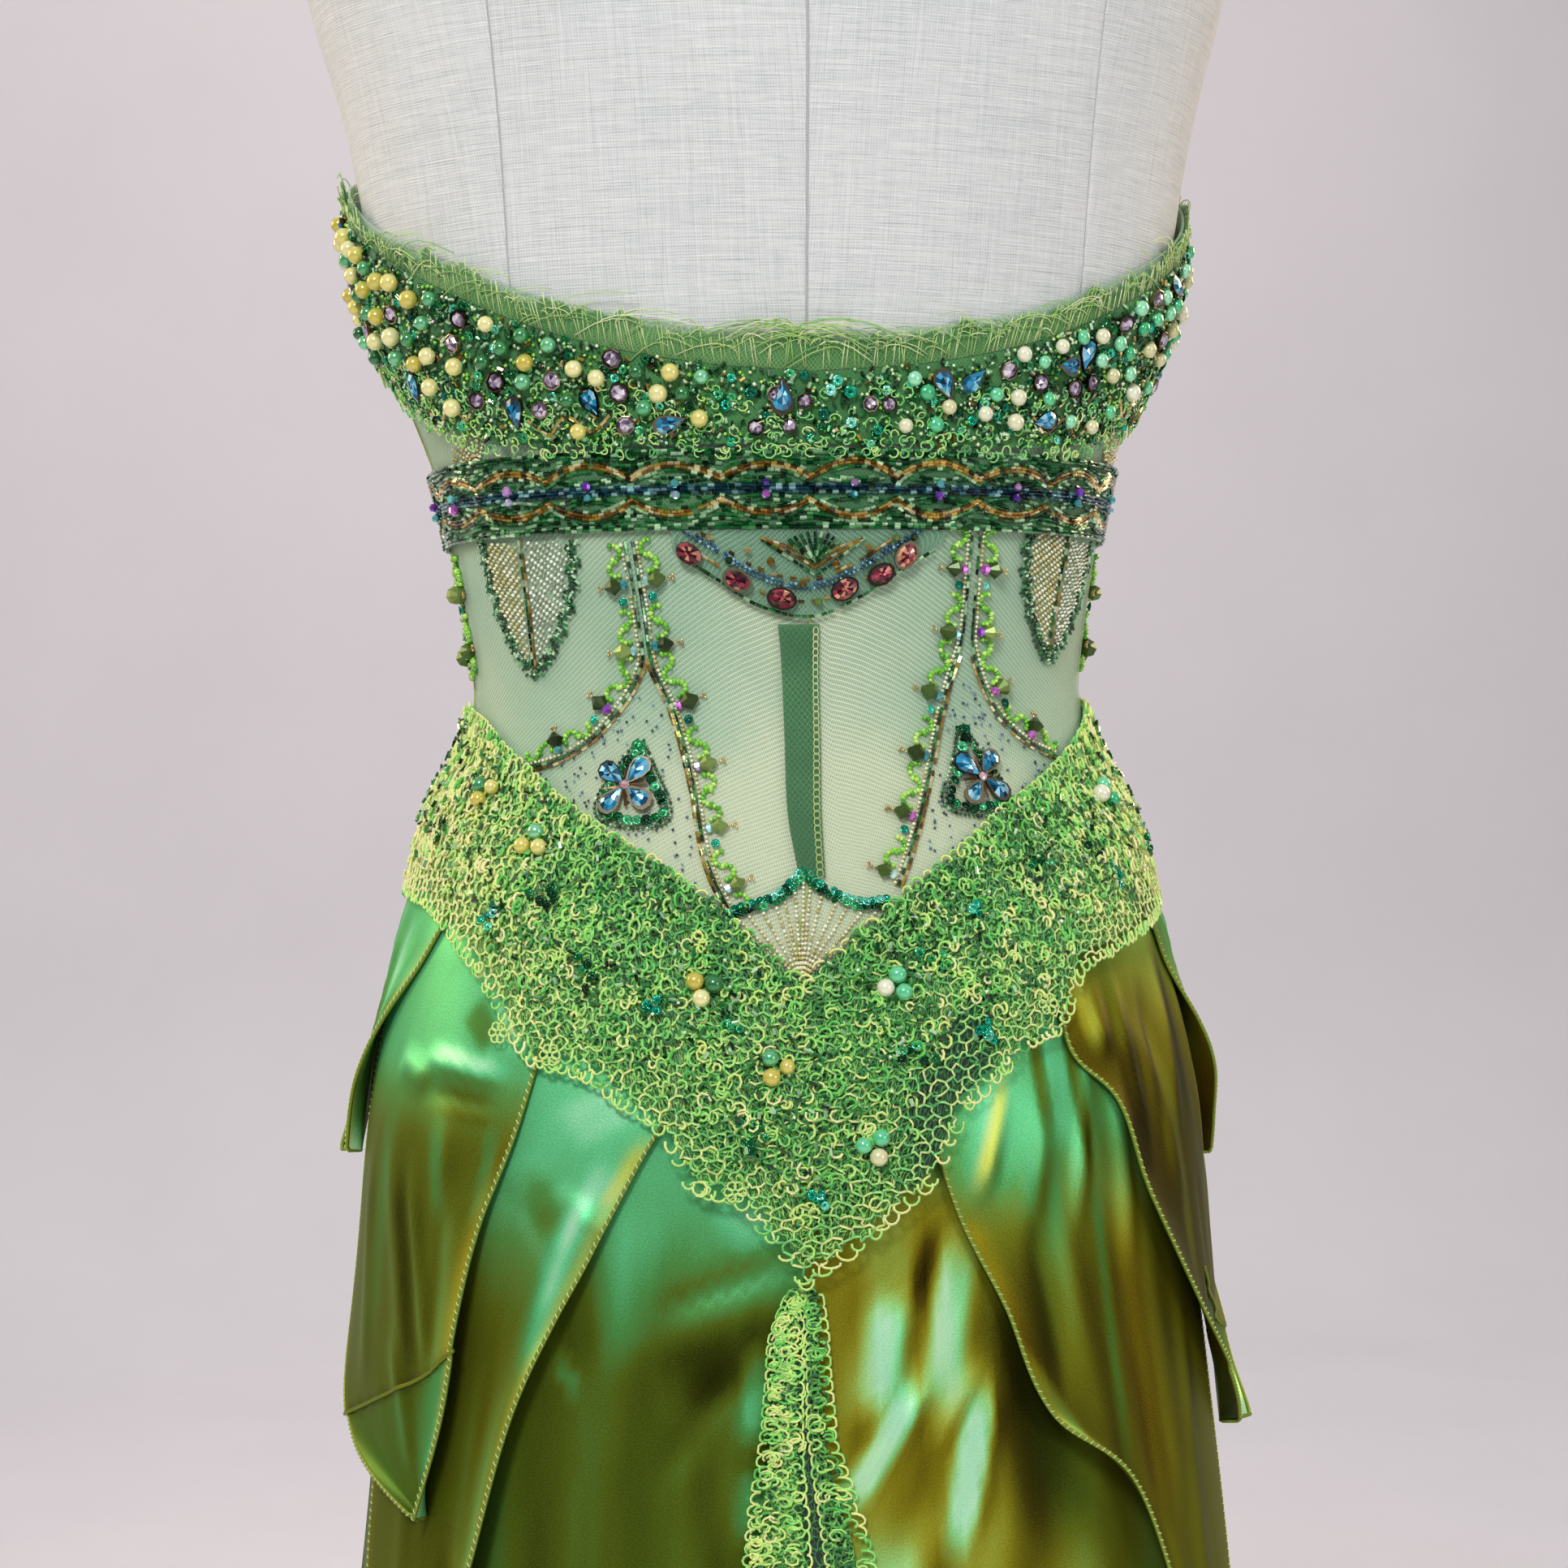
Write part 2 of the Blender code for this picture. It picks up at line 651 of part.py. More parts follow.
def make_stand(metal, wood, collection):
    """The neck cap, the pole with its collar, and the round foot."""
    turned_piece("form_neck_cap", wood, collection, [
        (0.0, CAP_HEIGHT + KNOB_HEIGHT),
        (KNOB_RADIUS * 0.7, CAP_HEIGHT + KNOB_HEIGHT * 0.93),
        (KNOB_RADIUS, CAP_HEIGHT + KNOB_HEIGHT * 0.65),
        (KNOB_RADIUS * 0.5, CAP_HEIGHT + KNOB_HEIGHT * 0.25),
        (KNOB_RADIUS * 0.8, CAP_HEIGHT),
        (CAP_RADIUS * 0.9, CAP_HEIGHT * 0.85),
        (CAP_RADIUS, CAP_HEIGHT * 0.4),
        (CAP_RADIUS * 0.96, 0.0),
        (0.0, 0.0),
    ], FORM_TOP + SEAM_GAP)
    pole_top = FORM_BOTTOM - SEAM_GAP
    pole_bottom = FOOT_HUB_HEIGHT + SEAM_GAP
    turned_piece("form_pole", metal, collection, [
        (0.0, pole_top),
        (POLE_COLLAR_RADIUS, pole_top),
        (POLE_COLLAR_RADIUS, pole_top - POLE_COLLAR_HEIGHT),
        (POLE_RADIUS, pole_top - POLE_COLLAR_HEIGHT * 1.2),
        (POLE_RADIUS, pole_bottom + POLE_COLLAR_HEIGHT * 0.6),
        (POLE_COLLAR_RADIUS, pole_bottom + POLE_COLLAR_HEIGHT * 0.5),
        (POLE_COLLAR_RADIUS, pole_bottom),
        (0.0, pole_bottom),
    ])
    turned_piece("form_base", metal, collection, [
        (0.0, FOOT_HUB_HEIGHT),
        (FOOT_HUB_RADIUS * 0.9, FOOT_HUB_HEIGHT),
        (FOOT_HUB_RADIUS, FOOT_HUB_HEIGHT * 0.92),
        (FOOT_HUB_RADIUS * 1.25, FOOT_HUB_HEIGHT * 0.62),
        (FOOT_RADIUS * 0.45, FOOT_HUB_HEIGHT * 0.45),
        (FOOT_RADIUS * 0.96, FOOT_RIM),
        (FOOT_RADIUS, FOOT_RIM * 0.6),
        (FOOT_RADIUS, 0.0),
        (0.0, 0.0),
    ])


def make_bodice(net, collection):
    """Two sheer back panels, two side fronts and a centre front, seamed edge to edge."""
    fractions = (0.0, 0.08, 0.17, 0.27, 0.36, 0.44, 0.52, 0.62, 0.74, 0.87, 1.0)
    spans = (
        ("bodice_back_left", -SIDE_SEAM, 0.0, PANEL_COLUMNS),
        ("bodice_back_right", 0.0, SIDE_SEAM, PANEL_COLUMNS),
        ("bodice_side_front_right", SIDE_SEAM, BUST_SEAM, SIDE_FRONT_COLUMNS),
        ("bodice_front", BUST_SEAM, 360.0 - BUST_SEAM, 2 * FRONT_COLUMNS),
        ("bodice_side_front_left", -BUST_SEAM, -SIDE_SEAM, SIDE_FRONT_COLUMNS),
    )
    for name, start, end, columns in spans:
        angles = seam_angles(start, end, columns)
        panel(name, net, collection, angles, fractions, waist_seam, top_edge,
              level(0.0), level(WALL), False, shift=drifted)


def make_edging(net, collection):
    """The doubled net strip along the top edge, with its raw edge up."""

    def low(angle):
        return top_edge(angle) - read_table(EDGING_DROP, abs(wrapped(angle)), 1)

    for name, start, end, columns, lift in trim_halves("net_edging"):
        panel(name, net, collection, seam_angles(start, end, columns), (0.0, 1.0), low, top_edge,
              level(TRIM_INSIDE + lift), level(TRIM_INSIDE + lift + WALL), False)


def trim_halves(name):
    """The back and front half of a trimming: name, start and end angle, columns, and lift."""
    return (
        (name + "_back", -SIDE_SEAM, SIDE_SEAM, 40, 0.0),
        (name + "_front", SIDE_SEAM, 360.0 - SIDE_SEAM, 26, FRONT_LIFT),
    )


def bead_raise(i, j, last_row):
    """How far the border's outer point is raised by the large bead that sits on it."""
    if j in (0, last_row):
        return 0.0004
    heights = (0.0042, 0.0012, 0.0030, 0.0018, 0.0046, 0.0008, 0.0036)
    return heights[(i * 3 + j * 5 + (i * j) % 4) % len(heights)]


def make_border(beads, collection):
    """The border of pearls and set stones below the net edging."""

    def low(angle):
        return read_table(BORDER_LOW, abs(wrapped(angle)), 1)

    def high(angle):
        return top_edge(angle) - read_table(EDGING_DROP, abs(wrapped(angle)), 1) - SEAM_GAP

    rows = 3
    for name, start, end, columns, lift in trim_halves("bead_border"):

        def outside(angle, height, i, j, lift=lift):
            return TRIM_INSIDE + lift + WALL + bead_raise(i, j, rows)

        panel(name, beads, collection, seam_angles(start, end, columns), even_steps(0.0, 1.0, rows),
              low, high, level(TRIM_INSIDE + lift), outside, False)


def make_band(beads, collection):
    """The beaded wave band under the bust, with raised edges and a raised wave."""
    fractions = (0.0, 0.25, 0.5, 0.75, 1.0)
    mean_radius = 0.115
    cord = 0.0014

    def low(angle):
        return BAND_HEIGHT - BAND_HALF

    def high(angle):
        return BAND_HEIGHT + BAND_HALF

    for name, start, end, columns, lift in trim_halves("wave_band"):

        def outside(angle, height, i, j, lift=lift):
            wave = abs(math.sin(math.pi * math.radians(angle) * mean_radius / BAND_WAVE))
            raises = (cord, cord * wave, cord, cord * wave, cord)
            return TRIM_INSIDE + lift + WALL + raises[j]

        panel(name, beads, collection, seam_angles(start, end, columns * 3 // 4), fractions, low, high,
              level(TRIM_INSIDE + lift), outside, False)


def make_swag(beads, collection):
    """The swag of set oval stones that hangs in a V from the wave band."""
    angles = even_steps(SWAG_EDGE[0].angle, SWAG_EDGE[-1].angle, 16)
    stone = 0.0035

    def low(angle):
        return read_table(SWAG_EDGE, angle, 1) - SWAG_DROP

    def high(angle):
        return BAND_HEIGHT - BAND_HALF - SEAM_GAP

    def outside(angle, height, i, j):
        raised = stone if j == 1 and i % 2 == 0 else 0.0006
        return TRIM_INSIDE + WALL + raised

    panel("jewel_swag", beads, collection, angles, (0.0, 0.3, 1.0), low, high,
          level(TRIM_INSIDE), outside, False)


def strip_piece(name, material, collection, ends, columns, steps, inside, outside, with_ease,
                open_cells=None):
    """A narrow strip whose side angles come from a table of heights."""
    heights = even_steps(ends[0].height, ends[-1].height, steps)

    def at(i, j, out):
        height = heights[j]
        angle = blend(read_table(ends, height, 1), read_table(ends, height, 2), i / columns)
        return place(angle, height, out(angle, height, i, j), with_ease)

    return wall_piece(
        name, material, collection, columns, steps,
        lambda i, j: at(i, j, inside), lambda i, j: at(i, j, outside), open_cells,
    )


def make_placket(net, collection):
    """The doubled net strip down the centre back."""
    strip_piece("back_placket", net, collection, PLACKET, 3, 6,
                level(TRIM_INSIDE), level(TRIM_INSIDE + WALL), False)


def make_tail(lace, collection):
    """The lace tail over the skirt's centre back seam: two soft ridges, with its open cells cut."""
    steps = 15

    def inside(angle, height, i, j):
        ridge = TAIL_RIDGES[i] * ramp(0.8275, 0.78, height)
        return WALL + SEAM_GAP + fold_out(angle, height) + TAIL_SLACK * fold_envelope(height) + ridge

    def outside(angle, height, i, j):
        return inside(angle, height, i, j) + WALL

    columns = len(TAIL_RIDGES) - 1
    cells = {(i, j): 0.24 for j in range(1, steps - 1) for i in (0, columns - 1)}
    strip_piece("lace_tail", lace, collection, TAIL, columns, steps, inside, outside, True, cells)


def pearl_raise(angle, height):
    """How far a trio of pearls raises the yoke's outer point near it."""
    here = place(angle, height, 0.0, True)
    best = min((place(trio.angle, trio.height, 0.0, True) - here).length for trio in PEARL_TRIOS)
    return PEARL_RAISE * (1.0 - ramp(PEARL_REACH * 0.4, PEARL_REACH, best))


def make_yoke(lace, collection):
    """The corded lace yoke over the hips, a back half and a front half with open cells at the edge."""
    fractions = (0.0, 0.11, 0.23, 0.38, 0.54, 0.70, 0.85, 1.0)
    top_row = len(fractions) - 1

    def inside(angle, height, i, j):
        down = 1.0 - fractions[j]
        return blend(YOKE_INSIDE_TOP, YOKE_INSIDE_LOW, ramp(0.12, 0.62, down))

    def outside(angle, height, i, j):
        texture = 0.0006 if (i + j) % 2 == 0 and 0 < j < top_row else 0.0
        return inside(angle, height, i, j) + WALL + 0.0004 + texture + pearl_raise(angle, height)

    halves = (
        ("lace_yoke_back", -90.0, 90.0, 32, lambda i, j: j == 1 or (j == 2 and 16 <= i <= 24)),
        ("lace_yoke_front", 90.0, 270.0, 22, lambda i, j: j == 1),
    )
    for name, start, end, columns, is_open in halves:
        cells = {(i, j): 0.2 for i in range(columns) for j in range(3) if is_open(i, j)}
        panel(name, lace, collection, seam_angles(start, end, columns), fractions, yoke_low, yoke_top,
              inside, outside, True, cells)


def front_angles(side):
    """Column angles of a front skirt panel, which meet the columns of the bodice above it."""
    outer = seam_angles(SIDE_SEAM, BUST_SEAM, SIDE_FRONT_COLUMNS)
    inner = seam_angles(BUST_SEAM, 180.0, FRONT_COLUMNS)
    angles = [*outer[:-1], BUST_SEAM, *inner[1:]]
    return angles if side > 0 else [360.0 - angle for angle in reversed(angles)]


def make_skirt(satin, collection):
    """Four satin skirt panels from the waist seam to the hem, with soft ridges."""
    fractions = (0.0, 0.14, 0.28, 0.41, 0.53, 0.63, 0.71, 0.78, 0.85, 0.92, 1.0)

    def inside(angle, height, i, j):
        return fold_out(angle, height)

    def outside(angle, height, i, j):
        return fold_out(angle, height) + WALL

    spans = (
        ("skirt_back_left", seam_angles(-SIDE_SEAM, 0.0, PANEL_COLUMNS)),
        ("skirt_back_right", seam_angles(0.0, SIDE_SEAM, PANEL_COLUMNS)),
        ("skirt_front_right", front_angles(1.0)),
        ("skirt_front_left", front_angles(-1.0)),
    )
    for name, angles in spans:
        panel(name, satin, collection, angles, fractions,
              lambda angle: HEM_HEIGHT, lambda angle: waist_seam(angle) - SEAM_GAP,
              inside, outside, True, shift=drifted)


def read_edge(points, t):
    """A point on a smooth line through an edge's points, with t from 0 at its top to 1 at its tip."""
    rows = [(index / (len(points) - 1), point.angle, point.height) for index, point in enumerate(points)]
    return read_table(rows, t, 1), read_table(rows, t, 2)


def make_petal(petal, satin, collection):
    """One satin petal, tucked under the yoke, with its free edges curled outwards."""

    def spot(i, j):
        down = 1.0 - j / PETAL_ROWS
        across = i / PETAL_COLUMNS
        low_angle, low_height = read_edge(petal.lower_angle_edge, down)
        high_angle, high_height = read_edge(petal.upper_angle_edge, down)
        angle = blend(low_angle, high_angle, across)
        height = blend(low_height, high_height, across)
        top_angle = blend(petal.lower_angle_edge[0].angle, petal.upper_angle_edge[0].angle, across)
        top_height = blend(petal.lower_angle_edge[0].height, petal.upper_angle_edge[0].height, across)
        height += (1.0 - down) ** 3 * (yoke_low(top_angle) + PETAL_TUCK - top_height)
        return angle, height, down, across

    def out(i, j):
        angle, height, down, across = spot(i, j)
        curl = petal.curl_lower * max(1.0 - across * 3.0, 0.0) ** 2
        curl += petal.curl_upper * max(across * 3.0 - 2.0, 0.0) ** 2
        stand_off = PETAL_STAND_OFF * petal.layer * ramp(0.935, 0.85, height)
        distance = petal.layer * (WALL + LAYER_GAP)
        return angle, height, distance + fold_envelope(height) + stand_off + curl * ramp(0.25, 0.75, down)

    def inner(i, j):
        angle, height, distance = out(i, j)
        return place(angle, height, distance, True)

    def outer(i, j):
        angle, height, distance = out(i, j)
        return place(angle, height, distance + WALL, True)

    wall_piece(petal.name, satin, collection, PETAL_COLUMNS, PETAL_ROWS, inner, outer)


def main():
    """Clears the scene and builds every piece of the dress and its form."""
    for leftover in list(bpy.data.objects):
        bpy.data.objects.remove(leftover, do_unlink=True)
    collection = bpy.data.collections.new("beaded_dress_on_form")
    bpy.context.scene.collection.children.link(collection)

    linen = fabric_material("linen", (0.62, 0.60, 0.62), 0.9)
    wood = fabric_material("wood", (0.30, 0.17, 0.09), 0.5)
    metal = fabric_material("metal", (0.05, 0.05, 0.055), 0.4, 1.0)
    net = fabric_material("net", (0.42, 0.55, 0.42), 0.8)
    dark_net = fabric_material("dark_net", (0.12, 0.30, 0.12), 0.8)
    beads = fabric_material("beads", (0.05, 0.22, 0.09), 0.25)
    lace = fabric_material("lace", (0.25, 0.42, 0.08), 0.8)
    satin = fabric_material("satin", (0.22, 0.36, 0.08), 0.3)

    make_torso(linen, collection)
    make_stand(metal, wood, collection)
    make_bodice(net, collection)
    make_edging(dark_net, collection)
    make_border(beads, collection)
    make_band(beads, collection)
    make_swag(beads, collection)
    make_placket(dark_net, collection)
    make_yoke(lace, collection)
    make_tail(lace, collection)
    make_skirt(satin, collection)
    for petal in PETALS:
        make_petal(petal, satin, collection)


main()
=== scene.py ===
"""Finished looks of a beaded cocktail dress on a limbless dress form.

Units are metres in the part's own frame: +Z is up and the dress's back faces -Y. A place on the cloth
is an angle in degrees from the centre back, growing towards +X, with a height over the floor and a
distance out from the figure's surface, as in the part's source.
"""
import logging
import math
from dataclasses import dataclass
from enum import Enum
from typing import Callable, Optional, Sequence

import bpy
import numpy as np
from mathutils import Euler, Matrix, Vector


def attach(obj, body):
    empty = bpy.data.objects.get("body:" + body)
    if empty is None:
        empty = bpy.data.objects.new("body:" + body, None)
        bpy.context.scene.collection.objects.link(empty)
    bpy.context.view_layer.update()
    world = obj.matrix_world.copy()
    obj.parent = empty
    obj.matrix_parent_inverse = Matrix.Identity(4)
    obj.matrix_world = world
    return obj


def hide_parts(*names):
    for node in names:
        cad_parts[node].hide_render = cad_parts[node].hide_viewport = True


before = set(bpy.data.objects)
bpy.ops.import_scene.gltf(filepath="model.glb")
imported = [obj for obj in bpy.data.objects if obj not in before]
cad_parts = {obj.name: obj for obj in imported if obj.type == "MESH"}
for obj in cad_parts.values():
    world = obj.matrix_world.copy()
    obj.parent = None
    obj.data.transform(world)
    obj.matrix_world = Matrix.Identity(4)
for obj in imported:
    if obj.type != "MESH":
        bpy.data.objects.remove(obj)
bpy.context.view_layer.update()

LOG = logging.getLogger("beaded_dress")
BODY = "root"
MM = 0.001

# Sizes of the cloth and the form, as the part's source has them
WALL = 0.0010
FORM_CLEARANCE = 0.0012
CUP_ROOM = 0.0030
TRIM_INSIDE = 0.0018
FRONT_LIFT = 0.0010
CENTRE_DRIFT = -3.5
SIDE_SEAM = 92.0
BUST_SEAM = 144.0
HIP_HEIGHT = 0.860
HEM_HEIGHT = 0.462
FORM_BOTTOM = 0.745
FORM_TOP = 1.515
SQUARENESS = 0.92
BAND_HEIGHT = 1.1105
BAND_HALF = 0.0145
BAND_WAVE = 0.032
YOKE_INSIDE_TOP = 0.0018
YOKE_INSIDE_LOW = 0.0076
YOKE_OVERLAP = 0.010
PETAL_TUCK = 0.016
PETAL_STAND_OFF = 0.0020
SEAM_GAP = 0.0003
SEAM_DEGREES = 0.07
FOLD_GROWTH = 1.15
FOLD_MOST = 0.0165
TAIL_SLACK = 0.15

# Millimetres round the figure that one degree makes: at the waist, over the bust and folds, and at the hips
WAIST_DEGREE_MM = 2.0
BUST_DEGREE_MM = 2.2
HIP_DEGREE_MM = 2.3

# Columns: height, half width, back depth, front depth
SECTIONS = np.array((
    (0.745, 0.1390, 0.1120, 0.1040), (0.800, 0.1480, 0.1235, 0.1120), (0.860, 0.1515, 0.1290, 0.1150),
    (0.900, 0.1500, 0.1265, 0.1150), (0.940, 0.1440, 0.1180, 0.1120), (0.970, 0.1356, 0.1080, 0.1070),
    (1.000, 0.1258, 0.0965, 0.1010), (1.035, 0.1172, 0.0865, 0.0965), (1.060, 0.1192, 0.0845, 0.0965),
    (1.090, 0.1240, 0.0855, 0.0990), (1.120, 0.1300, 0.0880, 0.1040), (1.150, 0.1410, 0.0910, 0.1090),
    (1.180, 0.1545, 0.0945, 0.1120), (1.210, 0.1600, 0.0980, 0.1130), (1.240, 0.1650, 0.1015, 0.1110),
    (1.275, 0.1725, 0.1050, 0.1050), (1.310, 0.1810, 0.1060, 0.0960), (1.345, 0.1865, 0.1010, 0.0850),
    (1.375, 0.1830, 0.0910, 0.0740), (1.398, 0.1680, 0.0810, 0.0660), (1.415, 0.1430, 0.0730, 0.0610),
    (1.430, 0.1120, 0.0670, 0.0580), (1.445, 0.0840, 0.0620, 0.0570), (1.462, 0.0660, 0.0580, 0.0570),
    (1.485, 0.0590, 0.0550, 0.0560), (1.515, 0.0580, 0.0540, 0.0550),
))
# Columns: height, and the skirt's ease over the hip section at the side, the back and the front
EASES = np.array((
    (0.440, 0.0450, 0.0400, 0.0450), (0.520, 0.0320, 0.0290, 0.0330), (0.600, 0.0210, 0.0190, 0.0230),
    (0.696, 0.0110, 0.0110, 0.0140), (0.740, 0.0075, 0.0080, 0.0100), (0.800, 0.0040, 0.0050, 0.0065),
    (0.860, 0.0020, 0.0025, 0.0035), (0.900, 0.0008, 0.0012, 0.0012), (0.935, 0.0, 0.0, 0.0),
))
# Columns: angle, half width, depth at the hem, and the height where the ridge starts
FOLDS = np.array((
    (-168.0, 7.0, 0.014, 0.86), (-149.0, 8.0, 0.016, 0.80), (-131.0, 6.5, 0.012, 0.84),
    (-114.0, 8.0, 0.015, 0.78), (-97.0, 7.0, 0.012, 0.82), (-79.0, 8.0, 0.016, 0.80),
    (-60.0, 7.0, 0.012, 0.78), (-42.0, 6.0, 0.014, 0.86), (-27.0, 5.5, 0.015, 0.87),
    (-14.0, 5.0, 0.012, 0.83), (7.0, 5.5, 0.014, 0.84), (19.0, 5.5, 0.016, 0.87),
    (34.0, 6.0, 0.013, 0.84), (51.0, 7.0, 0.015, 0.80), (69.0, 7.5, 0.012, 0.78),
    (88.0, 8.0, 0.016, 0.82), (106.0, 7.0, 0.012, 0.80), (123.0, 8.0, 0.015, 0.84),
    (141.0, 7.0, 0.013, 0.78), (159.0, 7.5, 0.016, 0.83), (176.0, 6.5, 0.012, 0.80),
))
# Edge lines. Columns: angle, height
TOP_EDGE = np.array((
    (0.0, 1.166), (15.0, 1.169), (32.0, 1.1775), (50.0, 1.1925), (74.0, 1.2140), (92.0, 1.2330),
    (112.0, 1.2470), (132.0, 1.2590), (146.0, 1.2620), (162.0, 1.2500), (180.0, 1.2320),
))
BORDER_LOW = np.array((
    (0.0, 1.1265), (40.0, 1.1275), (58.0, 1.1330), (75.0, 1.1445), (92.0, 1.1620), (112.0, 1.1820),
    (146.0, 1.2080), (180.0, 1.1800),
))
EDGING_DROP = np.array(((0.0, 0.0135), (40.0, 0.0120), (75.0, 0.0075), (180.0, 0.0070)))
YOKE_TOP = np.array((
    (-90.0, 1.0340), (-72.0, 1.0270), (-52.0, 1.0080), (-40.0, 0.9935), (-24.0, 0.9750),
    (-15.0, 0.9610), (-8.0, 0.9450), (-3.0, 0.9320), (3.8, 0.9490), (12.0, 0.9650), (30.0, 0.9910),
    (50.0, 1.0100), (75.0, 1.0300), (90.0, 1.0340),
))
YOKE_LOW = np.array((
    (-90.0, 0.9640), (-71.0, 0.9590), (-61.0, 0.9510), (-51.0, 0.9350), (-40.0, 0.9060),
    (-31.0, 0.9010), (-20.0, 0.8820), (-17.0, 0.8640), (-10.5, 0.8580), (-7.0, 0.8450),
    (-3.5, 0.8305), (1.0, 0.8410), (11.0, 0.8660), (14.5, 0.8870), (24.0, 0.9070), (31.0, 0.9130),
    (37.0, 0.9340), (48.0, 0.9420), (66.0, 0.9520), (76.0, 0.9600), (90.0, 0.9640),
))
SWAG_EDGE = np.array((
    (-21.5, 1.0925), (-15.0, 1.0835), (-7.8, 1.0727), (0.0, 1.0683), (7.0, 1.0750), (13.6, 1.0845),
    (22.0, 1.0955),
))
# Columns: height, left angle, right angle
PLACKET = np.array((
    (0.969, -2.8, 0.2), (0.992, -4.0, 0.3), (1.020, -4.1, 0.8), (1.050, -4.3, 1.1), (1.061, -4.6, 1.2),
))
TAIL = np.array((
    (0.480, -12.0, 4.5), (0.560, -11.0, 3.6), (0.650, -10.8, 3.0), (0.733, -10.2, 1.9),
    (0.770, -8.5, -0.8), (0.797, -7.6, -1.5), (0.811, -7.2, -1.6), (0.8275, -5.2, -2.0),
))
TAIL_RIDGES = (0.0, 0.0012, 0.0054, 0.0056, 0.0012, 0.0)


def ramp(low: float, high: float, value: np.ndarray) -> np.ndarray:
    """Goes softly from 0 to 1 as a value goes from low to high.

    Args:
        low: The value where the ramp is 0.
        high: The value where the ramp is 1.
        value: One value or an array of them.

    Returns:
        The ramp at each value.
    """
    t = np.clip((np.asarray(value, float) - low) / (high - low), 0.0, 1.0)
    return t * t * (3 - 2 * t)


def read_smooth(rows: np.ndarray, key: np.ndarray, column: int) -> np.ndarray:
    """Reads one column of a table along a smooth curve through its rows.

    Args:
        rows: The table, with rising keys in its first column.
        key: The keys to read at.
        column: The column to read.

    Returns:
        The value at each key.
    """
    keys, values = rows[:, 0], rows[:, column]
    last = len(keys) - 1
    before = np.maximum(np.arange(last + 1) - 1, 0)
    after = np.minimum(np.arange(last + 1) + 1, last)
    slopes = (values[after] - values[before]) / (keys[after] - keys[before])
    key = np.clip(np.asarray(key, float), keys[0], keys[-1])
    index = np.clip(np.searchsorted(keys, key, side="left") - 1, 0, last - 1)
    span = keys[index + 1] - keys[index]
    t = (key - keys[index]) / span
    start = (2 * t**3 - 3 * t**2 + 1) * values[index] + (t**3 - 2 * t**2 + t) * span * slopes[index]
    end = (3 * t**2 - 2 * t**3) * values[index + 1] + (t**3 - t**2) * span * slopes[index + 1]
    return start + end


def read_straight(rows: np.ndarray, key: np.ndarray) -> np.ndarray:
    """Reads an edge line with straight runs between its rows."""
    return np.interp(key, rows[:, 0], rows[:, 1])


def wrapped(angle: np.ndarray) -> np.ndarray:
    """Brings angles into the range from -180 to 180 degrees."""
    return (np.asarray(angle, float) + 180.0) % 360.0 - 180.0


def unit(vectors: np.ndarray) -> np.ndarray:
    """Scales vectors to a length of 1."""
    return vectors / np.maximum(np.linalg.norm(vectors, axis=-1, keepdims=True), 1e-12)


@dataclass
class Spots:
    """Places on the cloth, each with its direction along the cloth, up it and out of it."""

    points: np.ndarray
    along: np.ndarray
    up: np.ndarray
    out: np.ndarray

    def __len__(self) -> int:
        """The number of places."""
        return len(self.points)

    def kept(self, chosen: np.ndarray) -> "Spots":
        """The places that a mask or an index chooses."""
        return Spots(self.points[chosen], self.along[chosen], self.up[chosen], self.out[chosen])

    def moved(self, along: np.ndarray = 0.0, up: np.ndarray = 0.0, out: np.ndarray = 0.0) -> "Spots":
        """Moves every place along its own directions.

        Args:
            along: Distance along the cloth, one or one for each place.
            up: Distance up the cloth.
            out: Distance out of the cloth.

        Returns:
            The moved places.
        """
        steps = [np.broadcast_to(np.asarray(s, float), (len(self),))[:, None] for s in (along, up, out)]
        points = self.points + self.along * steps[0] + self.up * steps[1] + self.out * steps[2]
        return Spots(points, self.along, self.up, self.out)

    def turned(self, angle: np.ndarray) -> "Spots":
        """Turns the directions in the cloth's plane.

        Args:
            angle: Radians, one or one for each place.

        Returns:
            The same places with turned directions.
        """
        angle = np.broadcast_to(np.asarray(angle, float), (len(self),))[:, None]
        along = self.along * np.cos(angle) + self.up * np.sin(angle)
        up = self.up * np.cos(angle) - self.along * np.sin(angle)
        return Spots(self.points, along, up, self.out)

    def tilted(self, amount: float, rng: np.random.Generator) -> "Spots":
        """Tips every place a little at random, as sewn beads never sit level.

        Args:
            amount: The size of the tip, about in radians.
            rng: The source of the draws.

        Returns:
            The same places with tipped directions.
        """
        out = unit(self.out + rng.normal(0.0, amount, self.out.shape))
        along = unit(self.along - out * np.sum(self.along * out, axis=1, keepdims=True))
        return Spots(self.points, along, np.cross(out, along), out)


def gathered_spots(groups: Sequence[Spots]) -> Spots:
    """Joins several groups of places to one."""
    return Spots(
        *(np.concatenate([getattr(g, name) for g in groups]) for name in ("points", "along", "up", "out"))
    )


